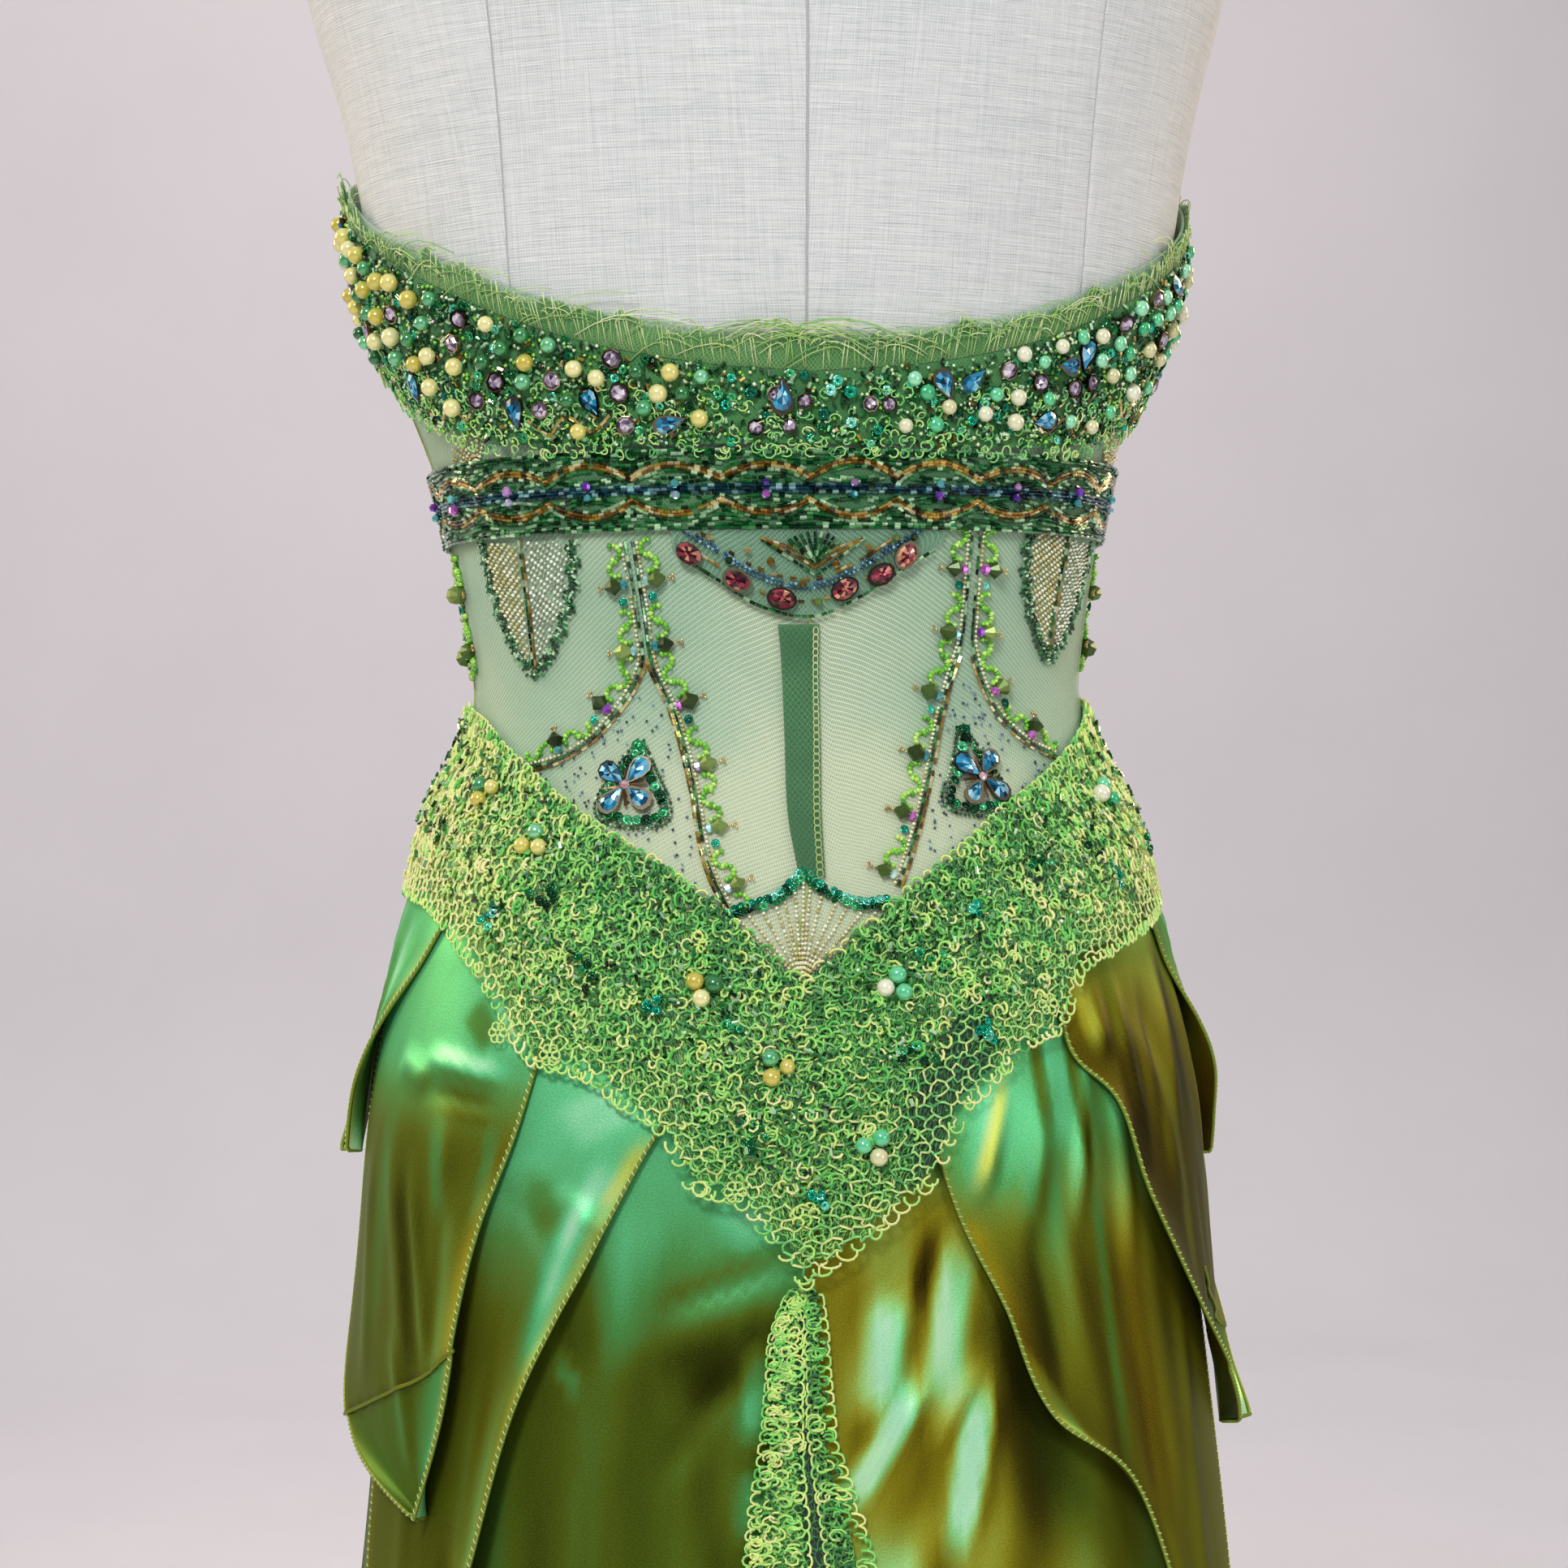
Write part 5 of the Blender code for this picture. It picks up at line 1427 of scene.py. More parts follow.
@dataclass(frozen=True)
class SatinLie:
    """How a piece of satin lies: its creases, where painted highlights turn it mint and painted shade turns
    it dark, and its gold, partly the golden yarn and partly a painted warm glint.

    Each row of creases, of painted highlights and shade, and of gold is a soft line from one place to
    another:
    two angles and heights, a half width in mm, and how much. Creases are in mm, the others are shares; a
    painted highlight is above 0 and a painted shade below 0.
    """

    base: float
    # Painted highlight: the height where the mint starts, where it is full, and how much it adds
    mint: tuple
    gilt: float = 0.0
    creases: tuple = ()
    # Rows of painted highlights (above 0) and painted shade (below 0), then rows of gold, partly painted
    # glint
    painted_sheens_and_shade: tuple = ()
    gold_and_glint_rows: tuple = ()
    # Painted light and shade: lighter where the cloth faces up, and lighter on one side of each fold than on
    # the other
    painted_top_light_share: float = 0.35
    painted_slope_shade_share: float = 0.5

    def marks(self, points: np.ndarray, fold: np.ndarray, angle: np.ndarray, height: np.ndarray) -> dict:
        """The tone and the gold share at each point: painted highlights and painted shade from how the cloth
        lies there, and the gold, which is taken out under a painted highlight.

        Args:
            points: The cloth's outer points, by column and row.
            fold: How far folds and creases lift it there.
            angle: Their angles.
            height: Their heights.

        Returns:
            Values for each point, by the names that the finish reads.
        """
        normal = unit(np.cross(np.gradient(points, axis=0), np.gradient(points, axis=1)))
        slope = np.gradient(fold, axis=0) / np.linalg.norm(np.gradient(points, axis=0), axis=-1)
        # Painted highlights and painted shade, laid along lines on the cloth
        painted_sheen_shade = crease_out(self.painted_sheens_and_shade, angle, height, crisp=True) / MM
        low, high, most = self.mint
        # Painted highlight: mint towards the top, where the hips turn up to the light
        tone = self.base + most * ramp(low, high, height) + painted_sheen_shade
        # Painted light and shade from how the cloth faces and which side of a fold it is on
        tone = tone + self.painted_top_light_share * normal[..., 2] + self.painted_slope_shade_share * slope
        # Gold: partly the yarn's own colour, partly a painted warm glint, and none under a painted highlight
        gilt = self.gilt * ramp(high, low, height) + crease_out(self.gold_and_glint_rows, angle, height) / MM
        return {
            "tone": np.clip(tone, 0.02, 0.98), "gilt": np.clip(gilt - 1.5 * np.maximum(painted_sheen_shade, 0.0), 0.0, 1.0)
        }


@dataclass
class DressForm:
    """The limbless form: a linen torso with its seams, a turned neck cap, a pole and a foot."""

    columns: int = 80
    rows: int = 66
    seams: tuple = (0.0, 39.0, 92.0, 144.0, 180.0, 216.0, 268.0, 321.0)
    groove_mm: float = 0.45
    groove_half_mm: float = 0.7
    sides: int = 64

    def build(self) -> None:
        """Builds the torso and the stand."""
        self.torso()
        cap = (
            (0.0, 0.0), (0.0535, 0.0), (0.0548, 0.001), (0.0565, 0.0064), (0.0563, 0.0088), (0.0545, 0.0112),
            (0.0509, 0.0136), (0.032, 0.0150), (0.0142, 0.0158), (0.0136, 0.0166), (0.0098, 0.0215),
            (0.0085, 0.026), (0.0092, 0.0305), (0.0135, 0.0365), (0.0163, 0.0400), (0.0170, 0.0420),
            (0.0166, 0.0465), (0.0150, 0.0505), (0.0119, 0.0532), (0.0, 0.0560),
        )
        pole = (
            (0.0, 0.0343), (0.0190, 0.0343), (0.0190, 0.0470), (0.0186, 0.0493), (0.0125, 0.0523),
            (0.0125, 0.7087), (0.0186, 0.7137), (0.0190, 0.7150), (0.0190, 0.7447), (0.0, 0.7447),
        )
        base = (
            (0.0, 0.0), (0.1735, 0.0), (0.1750, 0.0012), (0.1750, 0.0054), (0.1735, 0.0078), (0.1680, 0.0092),
            (0.1300, 0.0118), (0.0788, 0.0153), (0.0480, 0.0182), (0.0325, 0.0211), (0.0282, 0.0262),
            (0.0260, 0.0313), (0.0234, 0.0340), (0.0, 0.0340),
        )
        for name, node, finish, slot, profile, lift in (
            ("form_cap_turned", "form_neck_cap", BEECH, "wood", cap, FORM_TOP + SEAM_GAP),
            ("form_pole_tube", "form_pole", STEEL, "stand_metal", pole, 0.0),
            ("form_foot_cast", "form_base", STEEL, "stand_metal", base, 0.0),
        ):
            shape = turned_shape(profile, self.sides)
            piece = mesh_piece(name, shape.vertices + (0, 0, lift), shape.faces, finish, crease_degrees=40.0)
            settle(piece, slot, node)

    def torso(self) -> None:
        """Builds the linen torso with a shallow groove along each seam."""
        around = np.linspace(0.0, 360.0, self.columns, endpoint=False)
        beside = [s + d for s in self.seams for d in (-0.7, -0.3, 0.0, 0.3, 0.7)]
        keys = np.unique(np.round(np.concatenate((around, np.array(beside) % 360.0)), 3))
        height = np.linspace(FORM_BOTTOM, FORM_TOP, self.rows)
        grid, level = np.meshgrid(keys, height, indexing="ij")
        shift = 25.0 * (1.29 - np.clip(level, 1.12, 1.40))
        angle = grid + shift * (
            ramp(15, 39, grid) * ramp(60, 39, grid) - ramp(300, 321, grid) * ramp(345, 321, grid)
        )
        from_front = 180.0 - np.abs(wrapped(angle))
        cup = ramp(118.0, 70.0, from_front) * ramp(1.12, 1.17, level) * ramp(1.30, 1.25, level)
        away = np.min(
            [np.abs(wrapped(grid - s)) for s in self.seams], axis=0
        ) * HIP_DEGREE_MM / self.groove_half_mm
        groove = self.groove_mm * MM * np.exp(-away * away)
        points = FIGURE.spots(angle, level, -(FORM_CLEARANCE + CUP_ROOM * cup + groove)).points
        points[:, 0, 2], points[:, -1, 2] = FORM_BOTTOM, FORM_TOP
        cloth = measure_cloth(points)
        middles = (np.array(self.seams) + np.array((*self.seams[1:], 360.0))) / 2
        panel_of = np.searchsorted(self.seams, keys, side="right") - 1
        centre = np.searchsorted(keys, middles)[panel_of]
        cloth[..., 0] -= cloth[centre, :, 0]
        columns, rows = grid.shape
        number = np.arange(columns * rows).reshape(columns, rows)
        after = np.roll(number, -1, axis=0)
        quads = np.stack((number[:, :-1], after[:, :-1], after[:, 1:], number[:, 1:]), -1).reshape(-1, 4)
        ends = np.stack((number[::-1, 0], number[:, -1]))
        piece = mesh_piece(
            "form_linen_torso", points.reshape(-1, 3), (quads, ends), LINEN, crease_degrees=60.0
        )
        keep_values(piece, "cloth", np.c_[cloth.reshape(-1, 2), np.zeros(columns * rows)])
        settle(piece, "linen", "form_torso")


HALVES = (("back", -SIDE_SEAM, SIDE_SEAM), ("front", SIDE_SEAM, 360.0 - SIDE_SEAM))
TRIM_OUT = TRIM_INSIDE + WALL


def on_trim(angle: np.ndarray, raised: float = 0.0) -> np.ndarray:
    """The distance out of a place on the trimmings, which lie a little further out over the front."""
    return TRIM_OUT + raised + front_lift(angle)


def on_net(angle: np.ndarray, _height: object = None) -> np.ndarray:
    """The distance out of the bodice's outer face, where every trimming starts."""
    return on_trim(angle, -WALL)


def level_edge(height: float) -> Callable:
    """An edge line that runs level round the figure."""
    return lambda angle: 0 * angle + height


def cloth_between(
    name: str, finish: Finish, span: tuple, grid: tuple, edges: tuple, out: Callable, eased: bool = False,
    drift: bool = False, dye_and_painted_light: Optional[Callable] = None,
) -> bpy.types.Object:
    """Makes a cloth wall between two edge lines.

    Args:
        name: The piece's name.
        finish: Its finish.
        span: The angles that it starts and ends at.
        grid: Its numbers of columns and rows.
        edges: The lower and the upper edge, each a height by angle.
        out: The distance out of its inner face, by angle and height.
        eased: Whether it lies on the skirt.
        drift: Whether its columns follow the centre back seam.
        dye_and_painted_light: Gives the values that its finish reads, from its outer points, lifts, angles
            and
        heights: the cloth's own tones and, on the satin and the lace, painted highlights and shade.

    Returns:
        The piece.
    """
    keys = np.linspace(span[0] + SEAM_DEGREES, span[1] - SEAM_DEGREES, grid[0])
    low, high = (edge(keys)[:, None] for edge in edges)
    height = low + (high - low) * np.linspace(0.0, 1.0, grid[1])
    angle = np.broadcast_to(keys[:, None], height.shape)
    angle = drifted(angle, height) if drift else angle
    distance = out(angle, height)
    inner, outer = (FIGURE.spots(angle, height, distance + wall, eased).points for wall in (0.0, WALL))
    # These values hold the cloth's own tones and, on the satin and the lace, painted highlights and shade
    marks = dye_and_painted_light(outer, distance, angle, height) if dye_and_painted_light else None
    return cloth_wall(name, inner, outer, finish, measure_cloth(outer), marks)


@dataclass
class NetBodice:
    """The sheer net bodice: five panels over the form, with fine seams between them."""

    seam_radius_mm: float = 0.5
    creases: tuple = (
        (-20, 1.060, -10, 1.004, 5.0, 0.5), (-14, 0.985, -36, 1.010, 4.0, 0.4),
        (12, 1.050, 20, 0.985, 5.0, 0.5), (8, 0.978, 26, 0.972, 4.0, 0.4), (-60, 1.060, -48, 1.020, 5.0, 0.5),
        (62, 1.070, 52, 1.030, 6.0, 0.4), (118, 1.060, 126, 1.010, 5.0, 0.5),
        (-122, 1.050, -130, 1.000, 5.0, 0.4), (165, 1.040, 172, 0.985, 5.0, 0.5),
        (-160, 1.060, -168, 1.000, 6.0, 0.4),
    )
    spans: tuple = (
        ("back_left", -SIDE_SEAM, 0.0, (0.21, 0.27, 0.0390)),
        ("back_right", 0.0, SIDE_SEAM, (0.21, 0.27, 0.0390)),
        ("side_front_right", SIDE_SEAM, BUST_SEAM, (0.13, 0.27, 0.0290)),
        ("front", BUST_SEAM, 360.0 - BUST_SEAM, (0.20, 0.34, 0.0540)),
        ("side_front_left", -BUST_SEAM, -SIDE_SEAM, (0.13, 0.27, 0.0290)),
    )

    def out(self, angle: np.ndarray, height: np.ndarray) -> np.ndarray:
        """How far the faint drag lines lift the net."""
        return np.clip(crease_out(self.creases, angle, height), 0.0, 0.0006)

    def marks(self, points: np.ndarray, fold: np.ndarray, angle: np.ndarray, height: np.ndarray) -> dict:
        """The net's tone, paler low at the centre."""
        side = np.abs(mirrored(angle))
        return {"tone": 0.9 * ramp(1.04, 0.975, height) * ramp(60, 20, side) + 0.25 * ramp(20, 0, side)}

    def build(self) -> None:
        """Builds the panels and the cords of the seams."""
        for name, start, end, (width, length, area) in self.spans:
            piece = cloth_between(
                f"net_bodice_{name}", NET, (start, end), (36, 24), (waist_seam, top_edge), self.out,
                drift=True, dye_and_painted_light=self.marks,
            )
            settle(piece, "bodice_net", f"bodice_{name}")
        seams = CordSkein("net_bodice_seams", SEWING_THREAD, self.seam_radius_mm, sides=5)
        for seam in (0.0, SIDE_SEAM, -SIDE_SEAM, BUST_SEAM, -BUST_SEAM):
            height = np.linspace(float(waist_seam(seam)) + 0.004, float(top_edge(seam)) - 0.002, 70)
            angle = drifted(np.full(70, seam), height)
            spots = FIGURE.spots(angle, height, self.out(angle, height) + WALL + 0.0001)
            seams.add(spots.points[None], spots.out[None], np.array([0.35]))
        seams.piece("bodice_net")


@dataclass
class NetEdging:
    """The doubled net strip along the top: ragged raw edge, pulled threads and a looped fringe."""

    ragged_mm: float = 1.7
    peak_mm: float = 6.5
    lowered: float = 0.0028
    pulled_threads: int = 420
    fringe: int = 460
    tuft: int = 40
    flats: tuple = ((0.42, 0.014, 0.0053), (0.42, 0.0115, 0.0042))

    def high(self, angle: np.ndarray) -> np.ndarray:
        """The ragged upper edge."""
        ragged = 0.5 * np.sin(angle * 0.87 + 1.0) + 0.5 * np.sin(angle * 2.3 + 2.0)
        peaks = (1.0 - np.abs(np.sin(angle * 0.13 + 0.6 * np.sin(angle * 0.31) + 0.5))) ** 3
        return top_edge(angle) + (self.ragged_mm * ragged + self.peak_mm * peaks) * MM - self.lowered

    def build(self) -> None:
        """Builds both halves, the threads on them and the fringe."""
        for (half, start, end), (width, length, area) in zip(HALVES, self.flats):
            piece = cloth_between(
                f"net_edging_{half}_strip", EDGING_NET, (start, end), (280, 5), (edging_low, self.high),
                on_net,
            )
            settle(piece, "edging_net", f"net_edging_{half}")
        rng = np.random.default_rng(31)
        raw = CordSkein("net_edging_threads", RAW_THREAD, 0.24)
        angle = np.linspace(-180, 180, self.pulled_threads, endpoint=False)[:, None]
        angle = angle + rng.normal(0, 0.4, (self.pulled_threads, 1))
        share = np.linspace(0.03, 1.06, 3)[None]
        height = edging_low(angle) + (self.high(angle) + 0.001 - edging_low(angle)) * share
        angle = angle + rng.normal(0, 0.45, angle.shape) * share
        spots = FIGURE.spots(angle, height, on_trim(angle, 0.0002))
        raw.add(spots.points, spots.out, rng.uniform(0.4, 0.95, self.pulled_threads))
        at = np.concatenate((rng.uniform(-180, 180, self.fringe), rng.normal(-1.0, 1.0, self.tuft)))
        long = np.concatenate((rng.uniform(1.4, 3.4, self.fringe) ** 2, rng.uniform(6.0, 14.0, self.tuft)))
        count = len(at)
        t = np.linspace(0.0, 1.0, 6)[None]
        lean, hook = rng.normal(0.0, 0.9, (count, 1)), rng.uniform(0.6, 2.4, (count, 1))
        x = long[:, None] * (lean * t**1.5 + np.sign(lean) * 0.5 * hook * t**2.5)
        y = long[:, None] * (t - 0.62 * hook * t**3)
        angle = at[:, None] + x / BUST_DEGREE_MM
        height = self.high(at)[:, None] - rng.uniform(0.5, 6.0, (count, 1)) * MM + y * MM
        spots = FIGURE.spots(angle, height, on_trim(angle, 0.0003) + rng.uniform(0, 1.6, (count, 1)) * MM * t)
        raw.add(spots.points, spots.out, np.clip(rng.normal(0.55, 0.22, count), 0, 1))
        raw.piece("edging_net")


@dataclass
class BeadBorder:
    """The border of pearls, set stones and teardrops over a bed of seeds and bugles."""

    spacing_mm: float = 7.4
    back_beads: int = 2500
    front_beads: int = 1500
    back_height: float = 0.026
    front_height: float = 0.048
    tallest: float = 0.066
    lace_loops: int = 1000
    curl_mm: tuple = (1.1, 2.2)
    middle_stone: tuple = (-3.4, 1.1437)
    wavelets: tuple = (-37, 44, 67, -63, 108, -110, 146, -146, 176)
    flats: tuple = ((0.42, 0.058, 0.0205), (0.42, 0.075, 0.0283))

    def build(self) -> None:
        """Builds the dark ground and everything sewn on it."""
        for (half, start, end), (width, length, area) in zip(HALVES, self.flats):
            piece = cloth_between(
                f"bead_border_{half}_ground", BORDER_NET, (start, end), (110, 10),
                (border_low, lambda angle: edging_low(angle) - SEAM_GAP),
                on_net,
            )
            settle(piece, "beads", f"bead_border_{half}")
        box = BeadBox("bead_border", "beads", 61)
        self.bed(box)
        self.large(box)
        self.lower_edge(box)
        box.build()

    def somewhere(self, rng: np.random.Generator, count: int, span: tuple, low: float, high: float) -> tuple:
        """Draws places on the border, evenly by area.

        Args:
            rng: The source of the draws.
            count: How many are tried.
            span: The angles that they lie between.
            low: The lowest share of the border's height.
            high: The highest share.

        Returns:
            Angles, heights and shares of the border's height.
        """
        angle, share = rng.uniform(*span, count), rng.uniform(low, high, count)
        tall = edging_low(angle) - border_low(angle)
        kept = rng.random(count) < tall / self.tallest
        angle, share, tall = angle[kept], share[kept], tall[kept]
        return angle, border_low(angle) + tall * share, share

    def bed(self, box: BeadBox) -> None:
        """Sews the bed of bugles, seeds and sequins.

        Args:
            box: The box that the beads come from.
        """
        for span, count, usual in (
            ((-92, 92), self.back_beads, self.back_height), ((92, 268), self.front_beads, self.front_height)
        ):
            angle, height, _ = self.somewhere(box.rng, int(count * self.tallest / usual), span, 0.0, 1.0)
            spots = FIGURE.spots(
                angle, height, on_trim(angle, 0.0007) + box.rng.uniform(0, 0.0007, len(angle))
            )
            spots = spots.turned(box.rng.uniform(0, np.pi, len(angle))).tilted(0.25, box.rng)
            kind = box.rng.random(len(angle))
            share = 0.0
            for cut, glaze, part, size in (
                (Cut.BUGLE, Glaze.GREEN, 0.42, ()), (Cut.BUGLE, Glaze.BRONZE, 0.05, ()),
                (Cut.SEED, Glaze.GREEN, 0.17, ()), (Cut.SEED, Glaze.LIME, 0.12, ()),
                (Cut.SEED, Glaze.MIST, 0.18, ()), (Cut.CUP, Glaze.FOREST, 0.04, (1.9,) * 3),
                (Cut.CUP, Glaze.TEAL, 0.02, (1.9,) * 3),
            ):
                box.lay(cut, glaze, spots.kept((kind >= share) & (kind < share + part)), size)
                share += part

    def large(self, box: BeadBox) -> None:
        """Sews the pearls and set stones, each clear of those before it.

        Args:
            box: The box that the beads come from.
        """
        tape = Tape(1.17)
        angle, height, share = self.somewhere(box.rng, 5200, (-180, 180), 0.13, 0.92)
        arc = tape.length(angle)
        kept: list[int] = []
        for k in range(len(angle)):
            need = self.spacing_mm * (1.0 if share[k] > 0.4 else 1.5) * MM
            near = np.hypot(arc[kept] - arc[k], height[kept] - height[k]) if kept else np.array([1.0])
            if near.min() > need and not (abs(angle[k]) < 13 and share[k] > 0.75):
                kept.append(k)
        angle, height = angle[kept], height[kept]
        left, centre = angle < -1.0, np.abs(angle) < 13.0
        draw = box.rng.random(len(angle))

        def chosen(of: np.ndarray, low: float, high: float, raised: float) -> Spots:
            """The places of a share of the draws, at a distance out."""
            mask = of & (draw >= low) & (draw < high)
            spots = FIGURE.spots(angle[mask], height[mask], on_trim(angle[mask], raised))
            return spots.turned(box.rng.uniform(0, 2 * np.pi, len(spots))).tilted(0.12, box.rng)

        box.lay(Cut.PEARL, Glaze.GILT_PEARL, chosen(left & ~centre, 0.0, 0.32, 0.0030), (3.5, 3.5, 3.4), 0.04)
        box.lay(
            Cut.PEARL, Glaze.MOSS_PEARL, chosen(left & ~centre, 0.32, 0.70, 0.0027), (3.0, 3.0, 2.9), 0.05
        )
        box.lay(
            Cut.PEARL, Glaze.MINT_PEARL, chosen(~left & ~centre, 0.0, 0.46, 0.0021), (3.1, 3.1, 2.1), 0.05
        )
        box.lay(
            Cut.PEARL, Glaze.CREAM_PEARL, chosen(~left & ~centre, 0.46, 0.70, 0.0025), (3.2, 3.2, 2.6), 0.06
        )
        box.stone(Cut.ROUND_STONE, Glaze.LILAC, chosen(~centre, 0.70, 0.89, 0.0009), (3.2, 3.2, 3.4))
        box.stone(Cut.PEAR_STONE, Glaze.BLUE, chosen(~centre, 0.89, 1.0, 0.0009), (5.4, 5.4, 3.6))
        box.lay(Cut.CUP, Glaze.TEAL, chosen(centre, 0.0, 0.5, 0.0012), (2.4, 2.4, 2.4))
        box.stone(Cut.ROUND_STONE, Glaze.LILAC, chosen(centre, 0.5, 1.0, 0.0009), (2.6, 2.6, 2.8))
        middle = FIGURE.spots(*np.array(self.middle_stone)[:, None], TRIM_OUT + 0.001)
        box.stone(Cut.PEAR_STONE, Glaze.BLUE, middle, (6.0, 6.0, 3.8))

    def lower_edge(self, box: BeadBox) -> None:
        """Adds the lace loops and the small waves of bugles along the lower edge.

        Args:
            box: The box that the beads come from.
        """
        rng = box.rng
        loops = CordSkein("bead_border_lace_loops", PALE_LACE_CORD, 0.36)
        back = int(self.lace_loops * 0.62)
        at = np.concatenate((rng.uniform(-90, 90, back), rng.uniform(90, 270, self.lace_loops - back)))
        level = border_low(at) - 0.0035 + 0.026 * rng.random(self.lace_loops) ** 1.6
        angle, height = curled(at, level, rng, self.curl_mm)
        spots = FIGURE.spots(
            angle, height, on_trim(angle, 0.0013) + 0.0008 * rng.random((self.lace_loops, 1))
        )
        loops.add(spots.points, spots.out, np.clip(rng.normal(0.45, 0.25, self.lace_loops), 0, 1))
        loops.piece("beads")
        for centre in self.wavelets:
            base = float(border_low(centre)) + 0.003
            wave = ((-8, 0.007), (-4, 0.001), (0, 0.007), (4, 0.001), (8, 0.007))
            line = smooth_line([(centre + d, base + lift) for d, lift in wave])
            out = on_trim(line[0], 0.0019)
            box.row(Cut.BUGLE, Glaze.BRONZE, line, out, side_mm=0.75)
            box.row(Cut.BUGLE, Glaze.GREEN, line, out, side_mm=-0.75)
            box.row(Cut.SEED, Glaze.LIME, line, out, 2.6, side_mm=-2.2, skip=0.3)


def curled(
    at: np.ndarray, level: np.ndarray, rng: np.random.Generator, size_mm: tuple,
    degree_mm: float = HIP_DEGREE_MM
) -> tuple:
    """Draws small open curls of cord, each turned its own way.

    Args:
        at: Their angles.
        level: Their heights.
        rng: The source of the draws.
        size_mm: The least and the most radius.
        degree_mm: The way round the figure that one degree makes.

    Returns:
        Angles and heights along each curl.
    """
    count = len(at)
    size, swing = rng.uniform(*size_mm, (count, 1)), rng.uniform(0, 2 * np.pi, (count, 1))
    arc = np.linspace(-2.0, 2.0, 6)[None] * rng.uniform(0.75, 1.2, (count, 1))
    x, y = size * np.cos(arc) * rng.uniform(0.8, 1.3, (count, 1)), size * np.sin(arc)
    x, y = x * np.cos(swing) - y * np.sin(swing), x * np.sin(swing) + y * np.cos(swing)
    return at[:, None] + x / degree_mm, level[:, None] + y * MM


@dataclass
class WaveBand:
    """The band under the bust: straight edge rows, scalloped waves of bugles and pairs of cut beads."""

    edge_rows_mm: tuple = (12.9, 14.0)
    wave_low_mm: float = 3.7
    wave_rise_mm: float = 5.3
    lens_rows: tuple = ((0.36, 3.5), (0.24, 5.0))
    valley_rows: tuple = ((0.34, 11.8), (0.25, 10.4), (0.15, 9.0))
    flats: tuple = ((0.41, 0.0295, 0.0119), (0.41, 0.0295, 0.0121))

    def build(self) -> None:
        """Builds the ground and the rows of beads."""
        for (half, start, end), (width, length, area) in zip(HALVES, self.flats):
            piece = cloth_between(
                f"wave_band_{half}_ground", BAND_NET, (start, end), (110, 4),
                (level_edge(BAND_HEIGHT - BAND_HALF), level_edge(BAND_HEIGHT + BAND_HALF)),
                on_net,
            )
            settle(piece, "beads", f"wave_band_{half}")
        box = BeadBox("wave_band", "beads", 71)
        tape = Tape(BAND_HEIGHT)
        arc = np.arange(-tape.girth / 2, tape.girth / 2, 0.001)
        angle = tape.angle(arc)
        out = on_trim(angle, 0.0007)

        def row(cut: Cut, glaze: Glaze, rise_mm: np.ndarray, skip: float = 0.02) -> None:
            """Strings one row at its height over the band's middle."""
            box.row(cut, glaze, (angle, BAND_HEIGHT + rise_mm * MM + 0 * angle), out, skip=skip)

        uneven = 1.0 + 0.13 * np.sin(arc * 61.0) + 0.09 * np.sin(arc * 23.0 + 1.0)
        wave = self.wave_low_mm + self.wave_rise_mm * uneven * np.abs(np.sin(np.pi * arc / BAND_WAVE)) ** 0.8
        for sign in (1.0, -1.0):
            for rise in self.edge_rows_mm:
                row(Cut.BUGLE, Glaze.GREEN, sign * rise, 0.05)
            for offset in (-0.65, 0.65):
                row(Cut.BUGLE, Glaze.BRONZE, sign * (wave + offset), 0.05)
            for offset in (-1.95, 1.95):
                row(Cut.BUGLE, Glaze.GREEN, sign * (wave + offset), 0.06)
        for rise in (-1.25, 0.0, 1.25):
            row(Cut.BUGLE, Glaze.NAVY, rise)
        for middle in np.arange(-22, 23) * 0.5 * BAND_WAVE:
            peak = round(middle / BAND_WAVE * 2.0) % 2
            for k, (share, rise) in enumerate(self.lens_rows if peak else self.valley_rows):
                near = np.linspace(-share, share, 14) * BAND_WAVE
                for sign in (1.0, -1.0):
                    bent = sign * (
                        rise - 1.2 * np.cos(near / BAND_WAVE * np.pi * 1.6)
                    ) + box.rng.normal(0.0, 0.2)
                    line = (tape.angle(middle + near), BAND_HEIGHT + bent * MM)
                    box.row(Cut.BUGLE, Glaze.GREEN, line, on_trim(line[0], 0.0006), skip=0.1 + 0.1 * k)
        peaks = np.arange(-11, 12) * BAND_WAVE + BAND_WAVE / 2
        for k, sign in enumerate((1.0, -1.0)):
            at = tape.angle(peaks)
            spots = FIGURE.spots(
                at, 0 * at + BAND_HEIGHT + sign * 0.0021, on_trim(at, 0.0021)
            ).tilted(0.2, box.rng)
            odd = (np.arange(len(at)) + k) % 3 == 0
            box.lay(Cut.FACETED, Glaze.AQUA, spots.kept(odd), (1.75, 1.75, 1.75))
            box.lay(Cut.FACETED, Glaze.VIOLET, spots.kept(~odd), (1.75, 1.75, 1.75))
        box.build()


